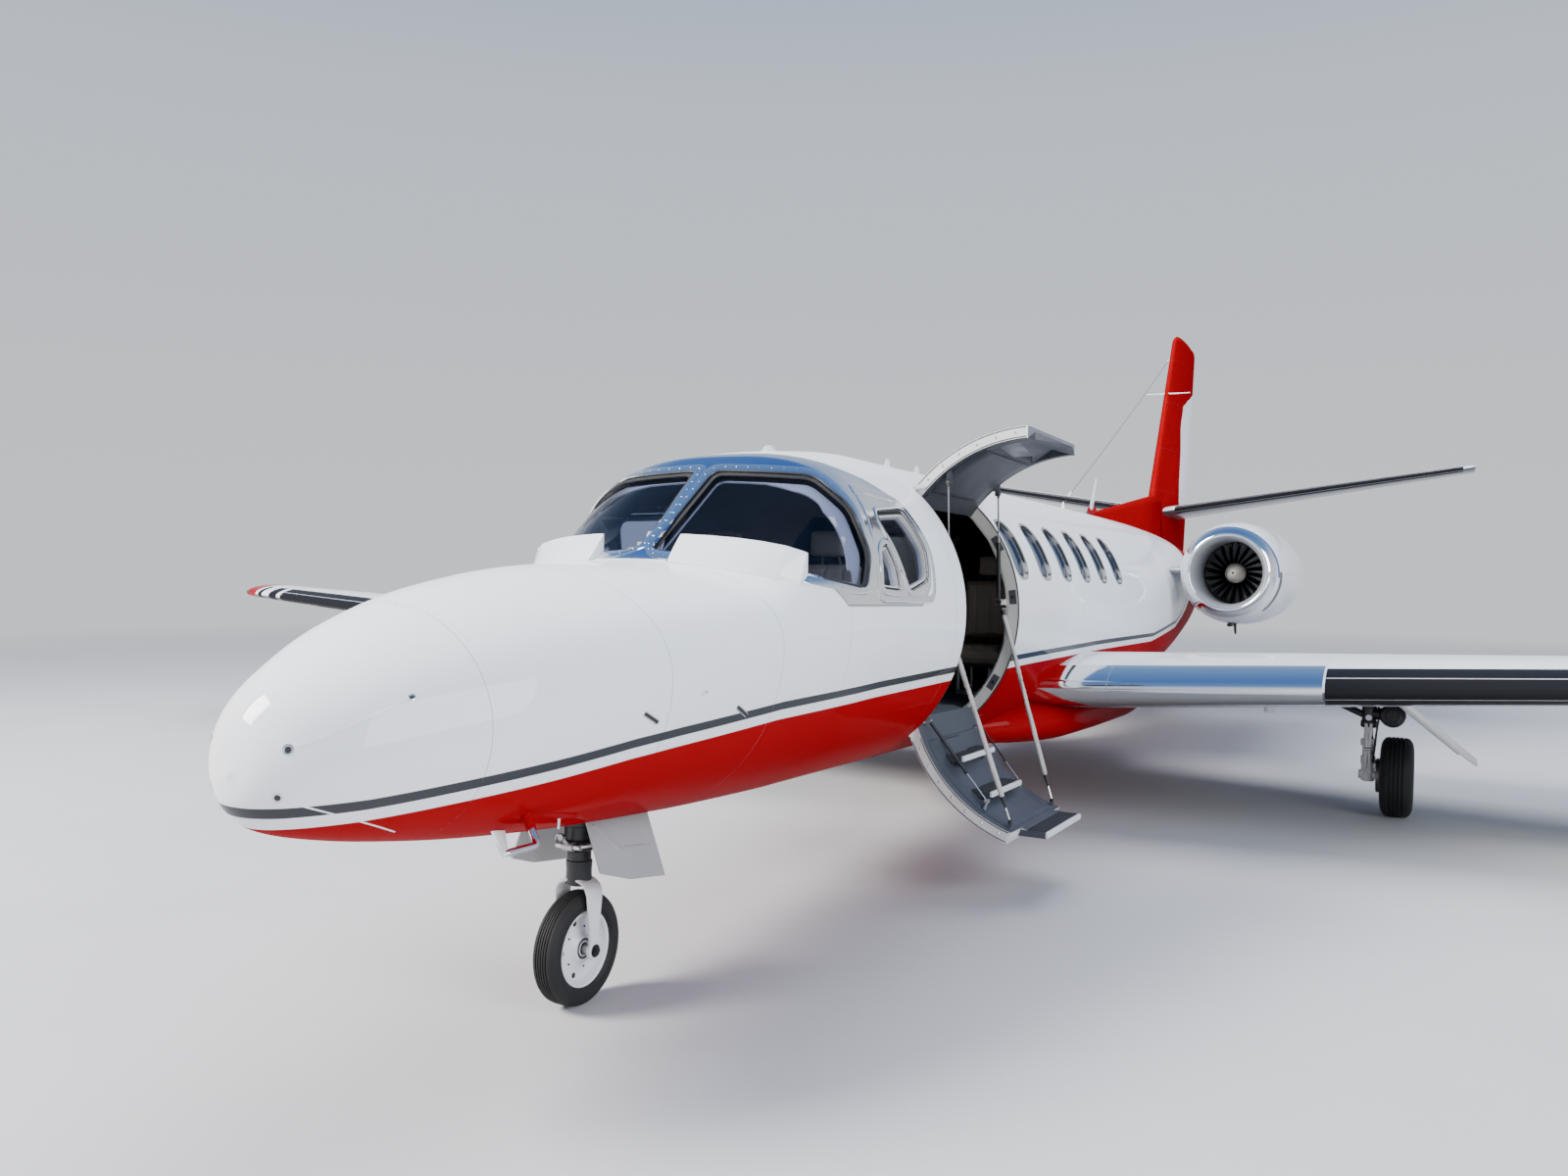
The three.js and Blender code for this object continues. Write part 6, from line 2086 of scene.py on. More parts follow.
@dataclass
class CabinDoor:
    """The two door leaves with their steps, struts and straps, and the doorway.

    Attributes:
        front: the doorway's front station.
        back: its rear station.
        thick: the leaves' depth.
        upper: the upper leaf's form, with its hinge and its turn.
        lower: the lower leaf's.
        steps: inboard edge, nosing, top, front and back stations of each tread.
        struts: the gas struts' names and stations.
        straps: name, anchor's station, ear's station, and the anchor's x and height.
    """

    front: float = 3612.0
    back: float = 4488.0
    thick: float = 60.0
    upper: SwungForm = SwungForm((526.6, 648.0), -90.0)
    lower: SwungForm = SwungForm((538.7, -638.0), 109.0)
    steps: tuple[tuple[float, ...], ...] = (
        (610, 775, -752, 3800, 4290), (760, 935, -922, 3800, 4290), (960, 1240, -1092, 3780, 4400))
    struts: tuple[tuple[str, float], ...] = (("front", 3652), ("rear", 4448))
    straps: tuple[tuple, ...] = (("front", 3640, 3690, 746, -110), ("rear", 4462, 4430, 746, 12))

    def leaf(self, node: str, form: SwungForm, inner: Finish, title: str) -> None:
        """One leaf: painted outside, framed in white, lined inside."""
        copy = Copy(node)
        copy.refine(form, 26)
        copy.refine(form, 26, depth=self.thick)
        paint = DoorPaint(name=title, hinge=form.hinge, degrees=form.degrees)

        def kinds(middles: np.ndarray, facing: np.ndarray, which: np.ndarray) -> np.ndarray:
            """Outside, lining, edge frame, or the steps and lugs."""
            deep, shut = -form.distance(middles), form.shut(middles)
            edge = np.where((deep > -4) & (deep < self.thick + 2), 2, 3)
            if node == "door_upper":
                side = np.minimum(shut[:, 1] - self.front, self.back - shut[:, 1]) < 16
                edge = np.where((edge == 2) & ~side, np.where(deep > self.thick * 0.6, 1, 4), edge)
            return np.where(which == 0, 0, np.where(which == 1, 1, edge))

        forms = ((form, 26.0, 0.0), (form, 26.0, self.thick))
        copy.done(node + "_leaf", node, "white_panel",
                  [paint, inner, DOOR_FRAME, TREAD_METAL, END_GREY], forms, 30, kinds)

    def panel(self, piece: Piece, form: SwungForm, stations: Point, heights: Point, deep: float,
              finish: int = 0) -> None:
        """Adds a raised panel on the inside of a leaf.

        Args:
            piece: what it is added to.
            form: the leaf's form.
            stations: its front and back.
            heights: its ends on the shut leaf.
            deep: its face's depth under the skin.
            finish: its finish.
        """
        rows = []
        start, end = heights
        ease = 14.0 if end > start else -14.0
        for height, drop in ((start, 0), (start + ease * 0.3, 0.7), (start + ease, 1),
                             *[(h, 1) for h in np.linspace(start, end, 14)[1:-1]],
                             (end - ease, 1), (end - ease * 0.3, 0.7), (end, 0)):
            low, high = stations
            columns = np.array([low, low + 4, low + 14, *np.linspace(low, high, 8)[1:-1],
                                high - 14, high - 4, high])
            fall = np.array([0, 0.7, 1, *[1] * 6, 1, 0.7, 0]) * drop
            face = BODY.side(columns, np.full(len(columns), height), 0)
            out = BODY.normals(face, face)
            top = face - out * (self.thick - 2 + (deep - self.thick + 2) * fall)[:, None]
            under = face - out * (self.thick - 8)
            rows.append(np.vstack([top, under[::-1]]))
        piece.grid(form.open(np.array(rows)), finish)

    def linings(self) -> None:
        """Inner panels of both leaves."""
        top = Piece("door_upper_lining")
        self.panel(top, self.upper, (3690, 4410), (300, 628), 74)
        top.done("door_upper", "panel_plastic", [DOOR_LINING])
        low = Piece("door_lower_lining")
        self.panel(low, self.lower, (3680, 4420), (-600, 20), 68)
        self.panel(low, self.lower, (3820, 4080), (-590, -470), 92)
        low.done("door_lower", "panel_plastic", [DOOR_SLATE])

    def edge_path(self, form: SwungForm, station: float, heights: Point, deep: float) -> np.ndarray:
        """Points along a leaf's front or back edge."""
        height = np.linspace(*heights, 60)
        return form.open(BODY.side(np.full(60, station), height, -deep))

    def frames(self) -> None:
        """Seals and screws along the edges of both leaves."""
        for node, form, heights in (("door_upper", self.upper, (56, 625)),
                                    ("door_lower", self.lower, (-615, 24))):
            seals = Piece(node + "_seals")
            screws = Studs(node + "_screws", node, "bright_steel", BRIGHT, 7.5, 2.4)
            for station, way in ((self.front + 6, -1), (self.back - 6, 1)):
                for deep in (6.0, 54.0):
                    seals.tube(self.edge_path(form, station, heights, deep), 2.6, 6)
                path = self.edge_path(form, station, heights, 30)
                screws.along(path + (0, way * 1.0, 0), 92, (0, way, 0))
            seals.done(node, "panel_plastic", [SEAL])
            screws.done()

    def treads(self) -> None:
        """Grooved mats, white nosings and side plates on the steps."""
        piece = Piece("door_steps")
        for inboard, nosing, top, front, back in self.steps:
            piece.box((inboard - 2, front + 6, top - 1), (nosing - 14, back - 6, top + 3), 0)
            for x in np.arange(inboard + 14, nosing - 24, 17):
                piece.box((x, front + 16, top + 2), (x + 8, back - 16, top + 5.5), 0, 1)
            piece.box((nosing - 15, front - 2, top - 27), (nosing + 2, back + 2, top + 4), 1, 4)
            for station in (front + 0.5, back - 0.5):
                piece.box((inboard, station - 2.5, top - 30), (nosing - 12, station + 2.5, top + 3), 2, 1)
        piece.done("door_lower", "panel_plastic", [TREAD_MAT, WHEEL_WHITE, TREAD_METAL])

    def dampers(self) -> None:
        """Thin rods along the lower leaf, with their end fittings."""
        piece = Piece("door_dampers")
        for station, end, radius, low, high in ((3700, 3742, 9.0, -668, -172),
                                                (4404, 4380, 5.0, -600, -215)):
            heights = np.array([low, high])
            start, stop = self.lower.open(BODY.side(np.array([station, end]), heights, -96.0))
            for low_end, high_end, wide, sides, finish in (
                    (0, 0.62, 1, 14, 0), (0.6, 0.64, 1.25, 14, 0), (0.62, 0.97, 0.5, 10, 1)):
                ends = [between(start, stop, low_end), between(start, stop, high_end)]
                piece.tube(ends, radius * wide, sides, finish)
            for t in (0.0, 0.97):
                spot = between(start, stop, t)
                piece.tube([spot - (0, 12, 0), spot + (0, 12, 0)], radius * 1.5, 12, 2)
                height = heights[int(t > 0.5)]
                base = self.lower.open(BODY.side(np.array([station]), np.array([height]), -64.0))[0]
                piece.tube([spot, (spot + base) / 2, base], [7, 9, 14], 10, 2)
        piece.done("door_lower", "dark_steel", [DARK_STEEL, BRIGHT, ALUMINIUM])

    def gas_struts(self) -> None:
        """Gas struts of the upper leaf: black barrels and bright rods."""
        for name, station in self.struts:
            foot, eye = np.array([725.0, station, 60.0]), np.array([704.0, station, 682.0])
            way = (eye - foot) / np.linalg.norm(eye - foot)
            barrel = Piece("gas_strut_" + name + "_barrel")
            runs = ((0, 6), (20, 6.5), (26, 10), (32, 11.2), (300, 11.2), (306, 12.4), (322, 12.4),
                    (328, 11.2), (336, 10.4), (340, 6.2))
            barrel.tube([foot + way * a for a, _ in runs], [r for _, r in runs], 20)
            barrel.tube([foot - (0, 6, 0), foot + (0, 6, 0)], 14, 18)
            barrel.tube([foot - (0, 8, 0), foot + (0, 8, 0)], 7, 6, 1)
            finishes = [BLACK_PAINT, BRIGHT]
            if name == "front":
                spot = foot + way * 250
                barrel.tube([spot, spot + (14, -10, 0)], 4, 8, 0)
                barrel.lathe([(0, 4), (3, 10), (9, 13), (16, 11), (20, 5), (21, 0)], spot + (12, -9, 0),
                             (14, -10, 0), 16, 2)
                finishes.append(KNOB_ORANGE)
            barrel.done("gas_strut_" + name, "dark_steel", finishes, ["gas_strut_" + name])
            rod = Piece("gas_strut_" + name + "_rod")
            length = np.linalg.norm(eye - foot)
            rod.tube([foot + way * 296, foot + way * (length - 12)], 5, 16)
            rod.tube([foot + way * (length - 24), eye], [8, 6], 12, 1)
            rod.tube([eye - (0, 6, 0), eye + (0, 6, 0)], 14, 18, 1)
            rod.tube([eye - (0, 8, 0), eye + (0, 8, 0)], 7, 6)
            rod.done("gas_strut_rod_" + name, "bright_steel", [ROD_STEEL, BLACK_PAINT],
                     ["gas_strut_rod_" + name])

    def stay_straps(self) -> None:
        """Stays in crumpled cloth sleeves, from the doorway to the foot of the lower leaf."""
        for name, anchor_at, ear_at, x, height in self.straps:
            anchor = np.array([x, anchor_at, height], float)
            shank = np.array([1068, ear_at, -1035.6])
            run = shank - anchor
            way = run / np.linalg.norm(run)
            across = unit(np.cross(way, [0, 1.0, 0])[None])[0]
            along = unit(np.cross(across, way)[None])[0]
            piece = Piece("door_strap_" + name + "_sleeve")
            first, last = 0.02, 0.88
            angle = np.linspace(0, 2 * math.pi, 20, endpoint=False)
            rows = []
            phase, jamb = (0.7, self.front + 0.4) if name == "front" else (2.1, self.back - 0.4)
            for t in np.linspace(first, last, 170):
                end = min((t - first) / 0.012, (last - t) / 0.02, 1.0)
                bunch = math.exp(-((t - 0.36) / 0.09) ** 2) + 0.35
                rib = math.sin(t * 190 + phase) * 0.6 + math.sin(t * 301 + 2 * phase) * 0.4
                row = []
                for a in angle:
                    fold = rib * bunch * 1.7 + 1.5 * math.sin(3 * a + t * 37 + phase) * bunch
                    fold += 1.4 * math.sin(2 * a + 9 * t)
                    r = (14.5 + fold) * (0.55 + 0.45 * end)
                    row.append(anchor + run * t + across * r * math.cos(a) * 0.8
                               + along * r * math.sin(a) * 1.12)
                rows.append(row)
            piece.grid(np.array(rows), 0)
            piece.tube([(x, jamb, height), anchor], 8, 12, 1)
            piece.tube([anchor - way * 6, anchor + run * 0.03], [14, 8], 12, 1)
            piece.tube([anchor + run * 0.87, anchor + run * 0.9, anchor + run * 0.93], [13, 9, 6], 12, 1)
            piece.tube([anchor + run * 0.9, shank], 6, 10, 2)
            piece.tube([shank - (0, 9, 0), shank + (0, 9, 0)], 9, 12, 1)
            piece.tube([shank, (1068, ear_at, -1049.6)], [9, 11], 12, 1)
            made = piece.done("", "strap_cloth", [SLEEVE_CLOTH, BLACK_PAINT, BRIGHT],
                              ["door_strap_" + name])
            start, end = in_frame(np.array([anchor, shank]))
            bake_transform(made)

    def doorway(self) -> None:
        """The jamb frames with their bare plates, the seal round them and the sill."""
        piece = Piece("doorway_frame")
        heights = np.linspace(-600, 615, 60)
        for station, way in ((self.front, 1), (self.back, -1)):
            rows = []
            for off in (0.0, 1.6):
                for deep in (8.0, 69.0) if off == 0 else (67.0, 10.0):
                    edge = BODY.side(np.full(60, station), heights, -deep)
                    rows.append(edge + (0, way * (off + 0.3), 0))
            piece.grid(np.array(rows).transpose(1, 0, 2), 0)
            seal = BODY.side(np.full(60, station + way * 1.0), heights, -3.0)
            piece.tube(seal, 3.5, 8, 1)
        for height in (413, 95, -421):
            stations, ends = np.full(2, self.back), np.array([height - 42, height + 42])
            edge, deep = (BODY.side(stations, ends, -under) for under in (14.0, 56.0))
            corners = np.array([edge[0], edge[1], deep[1], deep[0]])
            piece.plate(corners - (0, 2.2, 0), (0, -1.6, 0), 2)
            middle = corners.mean(0)
            piece.tube([middle - (0, 3, 0), middle - (0, 7, 0)], 9, 14, 3)
        piece.done("airframe", "white_paint", [JAMB_CREAM, SEAL, PLATE_GREY, DARK_STEEL])
        sill = Piece("door_sill")
        stations = np.linspace(self.front + 4, self.back - 4, 12)
        profile = ((356, -557), (356, -553), (446, -553), (514, -566), (526, -596), (520, -596),
                   (508, -571), (444, -558))
        sill.grid(np.array([[(x, s, h) for x, h in profile] for s in stations], float))
        sill.done("airframe", "panel_plastic", [SILL_GREY])

    def build(self) -> None:
        """Builds the doors and the doorway."""
        self.leaf("door_upper", self.upper, DOOR_LINING, "upper_door_paint")
        self.leaf("door_lower", self.lower, DOOR_SLATE, "lower_door_paint")
        self.linings()
        self.frames()
        self.treads()
        self.dampers()
        self.gas_struts()
        self.stay_straps()
        self.doorway()


# Landing gear

@dataclass
class Wheel:
    """A tyre with grooves on a dished wheel.

    Attributes:
        name: the CAD node, which is also its body.
        axle: the axle's middle in the shared frame, in metres.
        radius: of the tyre.
        width: of the tyre.
        rim: the wheel's radius.
        grooves: how many run round the tread.
        holes: how many holes the dish has, each shown as a black disc of painted shade.
    """

    name: str
    axle: tuple[float, float, float]
    radius: float
    width: float
    rim: float
    grooves: int
    holes: int

    def crown(self, across: float) -> float:
        """The tread's radius at a distance across it."""
        half = self.width / 2
        return self.radius - 0.06 * half * (across / half) ** 2 * 2.2

    def tyre_profile(self) -> list[tuple[float, float]]:
        """The tyre's closed section, with its tread grooves."""
        half, r, rim = self.width / 2, self.radius, self.rim
        tread = []
        land, gap, deep = half * 0.62, half * 0.05, 7
        for place in np.linspace(-land, land, self.grooves + 2)[1:-1]:
            top = self.crown(place)
            tread += [(place - gap, top), (place - gap * 0.7, top - deep),
                      (place + gap * 0.7, top - deep), (place + gap, top)]
        side = [(-half * 0.72, r - half * 0.1), (-half * 0.86, r - half * 0.26),
                (-half * 0.96, r - half * 0.5), (-half, r - half * 0.8), (-half * 0.97, r - half * 1.05),
                (-half * 0.9, rim + half * 0.22), (-half * 0.82, rim + half * 0.1),
                (-half * 0.76, rim + half * 0.04), (-half * 0.7, rim - 3), (-half * 0.4, rim - 12)]
        edge = self.crown(land)
        return side[::-1] + [(-land, edge), *tread, (land, edge)] + [(-a, b) for a, b in side]

    def dish_profile(self) -> list[tuple[float, float]]:
        """The wheel's section from one hub face to the other."""
        half, rim = self.width / 2, self.rim
        face = [(0.6, 0), (0.6, 0.17), (0.58, 0.2), (0.58, 0.33), (0.54, 0.36), (0.4, 0.39),
                (0.3, 0.46), (0.22, 0.56), (0.18, 0.66), (0.18, 0.78), (0.22, 0.85), (0.36, 0.89),
                (0.62, 0.915), (0.7, 0.93), (0.75, 0.96), (0.75, 1.0), (0.7, 1.015), (0.62, 1.0)]
        left = [(-a * half, max(r * rim, 0)) for a, r in face]
        return left + [(-a, r) for a, r in left[::-1]]

    def round_axle(self, centre: Point, across: float, radius: float, phase: float) -> list[Point]:
        """Places for holes or bolts, evenly round the axle."""
        x, s, h = centre
        turns = [2 * math.pi * (i + phase) / self.holes for i in range(self.holes)]
        return [(x + across, s + radius * math.cos(a), h + radius * math.sin(a)) for a in turns]

    def build(self) -> None:
        """Builds the tyre, the wheel and its bolts."""
        x, s, h = on_airframe(np.array([self.axle]))[0]
        piece = Piece(self.name + "_tyre")
        piece.lathe(self.tyre_profile(), (x, s, h), (1, 0, 0), 96, 0, ring=True)
        piece.lathe(self.dish_profile(), (x, s, h), (1, 0, 0), 72, 1)
        half = self.width / 2
        for side in (1, -1):
            piece.lathe([(side * half * 0.6, self.rim * 0.16), (side * half * 0.66, self.rim * 0.16),
                         (side * half * 0.69, self.rim * 0.1), (side * half * 0.69, 0.0)],
                        (x, s, h), (1, 0, 0), 30, 2)
            piece.lathe([(side * half * 0.585, self.rim * 0.27), (side * half * 0.625, self.rim * 0.27),
                         (side * half * 0.625, self.rim * 0.225), (side * half * 0.585, self.rim * 0.225)],
                        (x, s, h), (1, 0, 0), 40, 2, ring=True)
            # The holes are not cut: a white boss holds a black disc, painted shade standing for each opening.
            for spot in self.round_axle((x, s, h), side * half * 0.175, self.rim * 0.72, 0.5):
                spot = np.array(spot)
                piece.tube([spot, spot + (side * half * 0.018, 0, 0)], self.rim * 0.1, 18, 1)
                piece.tube([spot, spot + (side * half * 0.022, 0, 0)], self.rim * 0.078, 16, 3)
        piece.done(self.name, "tyre_rubber", [TYRE, WHEEL_WHITE, DARK_STEEL, PANEL_BLACK], [self.name], 40)
        bolts = Studs(self.name + "_bolts", self.name, "dark_steel", DARK_STEEL, self.rim * 0.036,
                      half * 0.07, 6)
        for side in (1, -1):
            bolts.row(self.round_axle((x, s, h), side * half * 0.215, self.rim * 0.56, 0), (side, 0, 0))
        bolts.done()


@dataclass
class NoseGear:
    """The nose leg, its fork and its wheel.

    Attributes:
        axle: the axle's middle in the shared frame, in metres.
        radius: of the tyre.
        reach: from the centreline to the fork's blades.
        top: height of the leg's top.
        collar: height of the steering collar's foot.
    """

    axle: tuple[float, float, float] = (0.0, -5.65364, 0.222)
    radius: float = 222.0
    reach: float = 79.0
    top: float = -500.0
    collar: float = -985.0

    def leg(self) -> None:
        """The black leg, its brace, hoses and the steering parts."""
        x, s, h = on_airframe(np.array([self.axle]))[0]
        low = self.collar
        piece = Piece("nose_leg_casting")
        profile = ((0.4, 52), (14, 52), (18, 47), (52, 47), (56, 56), (60, 62), (66, 65), (98, 65), (102, 61),
                   (150, 61), (154, 66), (184, 66), (190, 60), (196, 50), (240, 47), (246, 53), (262, 53),
                   (268, 47), (484, 46))
        piece.lathe(profile, (0, s, low), (0, 0, 1), 40, 0)
        brace_top = np.array([0.0, 1745, self.top - 40])
        piece.tube([(0, s + 20, -800), brace_top], 24, 18, 0)
        piece.tube([(-134.6, 1745, -540), (134.6, 1745, -540)], 18, 16, 0)
        piece.tube([(0, s + 48, low + 130), (0, s + 96, low + 150), (0, s + 120, low + 190)],
                   [22, 20, 14], 14, 0)
        for side in (1, -1):
            piece.tube([(side * 30, s - 62, low + 80), (side * 72, s - 50, low + 86),
                        (side * 96, s - 10, low + 92)], [11, 9, 9], 12, 1)
            piece.tube([(side * 96, s - 22, low + 92), (side * 96, s + 6, low + 92)], 15, 14, 1)
        piece.tube([(-58, s - 66, low + 80), (58, s - 66, low + 80)], 13, 16, 1)
        piece.tube([(-26, s - 66, low + 80), (26, s - 66, low + 80)], 19, 18, 2)
        piece.tube([(0, s - 66, low + 80), (0, s - 108, low + 118)], [9, 6], 10, 1)
        piece.tube([(0, s - 102, low + 118), (0, s - 122, low + 122)], 12, 12, 1)
        for side in (1, -1):
            hose = [(side * 60, s + 30, low + 110), (side * 92, s + 56, low + 140),
                    (side * 104, s + 66, low + 210), (side * 86, s + 60, low + 300),
                    (side * 58, s + 48, low + 360), (side * 44, s + 30, low + 420)]
            curve = smoothed(hose)
            piece.tube(curve, 9.5, 12, 3)
            piece.tube(curve[:4], 13, 12, 1)
        piece.box((-40, s - 58, low + 300), (40, s - 40, low + 380), 0, 8)
        piece.done("airframe", "dark_steel", [BLACK_PAINT, BRIGHT, ALUMINIUM, HOSE_GREY], ["nose_leg"])

    def fork(self) -> None:
        """The white fork: an arched bar whose blades run down to the axle."""
        x, s, h = on_airframe(np.array([self.axle]))[0]
        crown = h + self.radius + 26
        piece = Piece("nose_fork_casting")
        piece.lathe([(0, 40), (6, 52), (20, 52), (60, 50), (self.collar - crown, 52)],
                    (0, s, crown), (0, 0, 1), 36, 3)
        path = []
        for up in np.linspace(-18, crown - 46 - h, 14):
            path.append((self.reach, h + up, up))
        for a in np.linspace(0, math.pi / 2, 14)[1:]:
            over = (self.reach * math.cos(a) ** 0.8, crown - 46 + 71 * math.sin(a) ** 0.8)
            path.append((over[0], over[1], over[1] - h))
        spots = [(-px, pz, up) for px, pz, up in path[:-1]]
        whole = path + spots[::-1]
        line = np.array([(px, 0, pz) for px, pz, _ in whole], float)
        ways = unit(np.gradient(line, axis=0))
        ring = [(-1, 0.35), (-0.86, 1), (0.86, 1), (1, 0.35), (1, -0.35), (0.86, -1), (-0.86, -1),
                (-1, -0.35)]
        rows = []
        for (px, pz, up), way in zip(whole, ways):
            out = np.array([-way[2], 0, way[0]])
            wide = float(np.interp(up, [-18, 20, 70, 150, 235, 320], [22, 25, 27, 39, 50, 44]))
            thick = float(np.interp(up, [-18, 60, 235, 320], [8, 8, 7, 8]))
            rows.append([np.array([px, s, pz]) + np.array([0, wide * a, 0]) - out * thick * b
                         for a, b in ring])
        piece.grid(np.array(rows), 0)
        for side in (1, -1):
            at = side * self.reach
            piece.lathe([(at - side * 9, 0), (at - side * 9, 33), (at - side * 5, 36), (at + side * 6, 36),
                         (at + side * 10, 32), (at + side * 10, 0)], (0, s, h), (1, 0, 0), 36, 0)
            piece.tube([(at + side * 9, s, h), (at + side * 19, s, h)], 21, 6, 1)
            piece.lathe([(at + side * 9, 25), (at + side * 13, 25), (at + side * 13, 0)],
                        (0, s, h), (1, 0, 0), 24, 1)
            piece.tube([(at + side * 18, s, h), (at + side * 24, s, h)], 10, 14, 1)
            inner = side * 35.2
            piece.tube([(inner, s, h), (at - side * 8, s, h)], 20, 18, 2)
        piece.done("nose_fork", "white_casting", [CAST_WHITE, DARK_STEEL, ALUMINIUM, BLACK_PAINT],
                   ["nose_fork"])

    def build(self) -> None:
        """Builds the nose gear."""
        self.leg()
        self.fork()
        Wheel("nose_wheel", self.axle, self.radius, 112, 148, 5, 5).build()


@dataclass
class MainGear:
    """One main leg with its wheel.

    Attributes:
        side: which one it is.
        track: from the centreline to the tyre's middle, in metres.
        inset: from the tyre's middle in to the leg, in millimetres.
    """

    side: Side
    track: float = 2.71
    inset: float = 182.0

    def build(self) -> None:
        """Builds the leg and the wheel."""
        axle = (self.side * self.track, -0.09164, 0.275)
        x, s, h = on_airframe(np.array([axle]))[0]
        leg = x - self.side * self.inset
        top = -470.0
        piece = Piece("main_leg_" + self.side.label + "_casting")
        piece.lathe([(0, 50), (8, 54), (40, 54), (48, 47), (top - 40 - h - 330, 47), (top - h - 330, 50)],
                    (leg, s, h + 330), (0, 0, 1), 36, 0)
        piece.lathe([(0, 34), (130, 34), (132, 33), (345, 33)], (leg, s, h - 10), (0, 0, 1), 32, 1)
        piece.lathe([(0, 30), (4, 42), (60, 44), (110, 42), (122, 36)], (leg, s, h - 46), (0, 0, 1), 32, 2)
        piece.lathe([(66, 36), (70, 47), (128, 48), (134, 38), (196, 38), (202, 50), (246, 50), (252, 36)],
                    (leg, s, h), (0, 0, 1), 28, 2)
        drum = (x - self.side * 34, s - 20, h + 424)
        piece.lathe([(-66, 0), (-66, 58), (-58, 74), (-40, 82), (40, 82), (58, 74), (66, 58), (66, 0)], drum,
                    (0, 1, 0), 36, 0)
        piece.lathe([(-74, 0), (-74, 40), (-64, 46)], drum, (0, 1, 0), 30, 5)
        piece.tube([(leg, s, h + 430), drum], [40, 46], 20, 0)
        inner = x - self.side * (206 * 0.31 + 0.4)
        piece.tube([(leg - self.side * 58, s, h), (inner, s, h)], 30, 20, 2)
        disc = x - self.side * 130
        piece.lathe([(0, 40), (0, 112), (3, 118), (23, 118), (26, 112), (26, 40)], (disc, s, h),
                    (self.side, 0, 0), 48, 3, ring=True)
        for turn in (-0.6, 0.0, 0.6):
            a = math.pi * 0.5 + turn
            spot = np.array([disc - self.side * 14, s + 84 * math.cos(a), h + 84 * math.sin(a)])
            piece.tube([spot, spot + (self.side * 20, 0, 0)], 24, 16, 2)
            piece.tube([spot - (self.side * 3, 0, 0), spot], 12, 12, 4)
        knee = np.array([leg, s - 118, h + 190])
        for side in (1, -1):
            for start in ((leg + side * 15, s - 30, h + 24), (leg + side * 15, s - 44, h + 356)):
                piece.tube([start, knee + (side * 8, 0, 0)], [11, 9], 10, 2)
        piece.tube([knee - (20, 0, 0), knee + (20, 0, 0)], 12, 12, 4)
        for height in (24, 356):
            piece.tube([(leg - 22, s - 36, h + height), (leg + 22, s - 36, h + height)], 13, 12, 2)
        brace_low = np.array([leg, s, h + 400])
        brace_top = np.array([leg - self.side * 620, s, -420.0])
        piece.tube([brace_low, brace_top], 24, 18, 0)
        for t in (0.42, 0.5):
            spot = brace_low + (brace_top - brace_low) * t
            piece.tube([spot, spot + (brace_top - brace_low) * 0.05], 31, 18, 4)
        piece.tube([brace_low - (0, 56, 0), brace_low + (0, 56, 0)], 20, 16, 4)
        piece.tube([(leg, s - 170, -570), (leg, s - 160, -570), (leg, s + 160, -570), (leg, s + 170, -570)],
                   [44, 52, 52, 44], 28, 0)
        hose = [(leg + self.side * 52, s - 20, -560), (leg + self.side * 66, s - 40, h + 420),
                (leg + self.side * 50, s - 60, h + 300), (leg + self.side * 44, s - 90, h + 190),
                (leg + self.side * 30, s - 50, h + 80), (disc, s - 30, h + 92)]
        piece.tube(smoothed(hose), 6.5, 10, 5)
        piece.done("airframe", "dark_steel",
                   [BLACK_PAINT, BRIGHT, CAST_WHITE, BRAKE_STEEL, ALUMINIUM, BLACK_RUBBER],
                   ["main_leg_" + self.side.label])
        Wheel("main_wheel_" + self.side.label, axle, 275, 206, 152, 4, 9).build()


# Inside the cabin

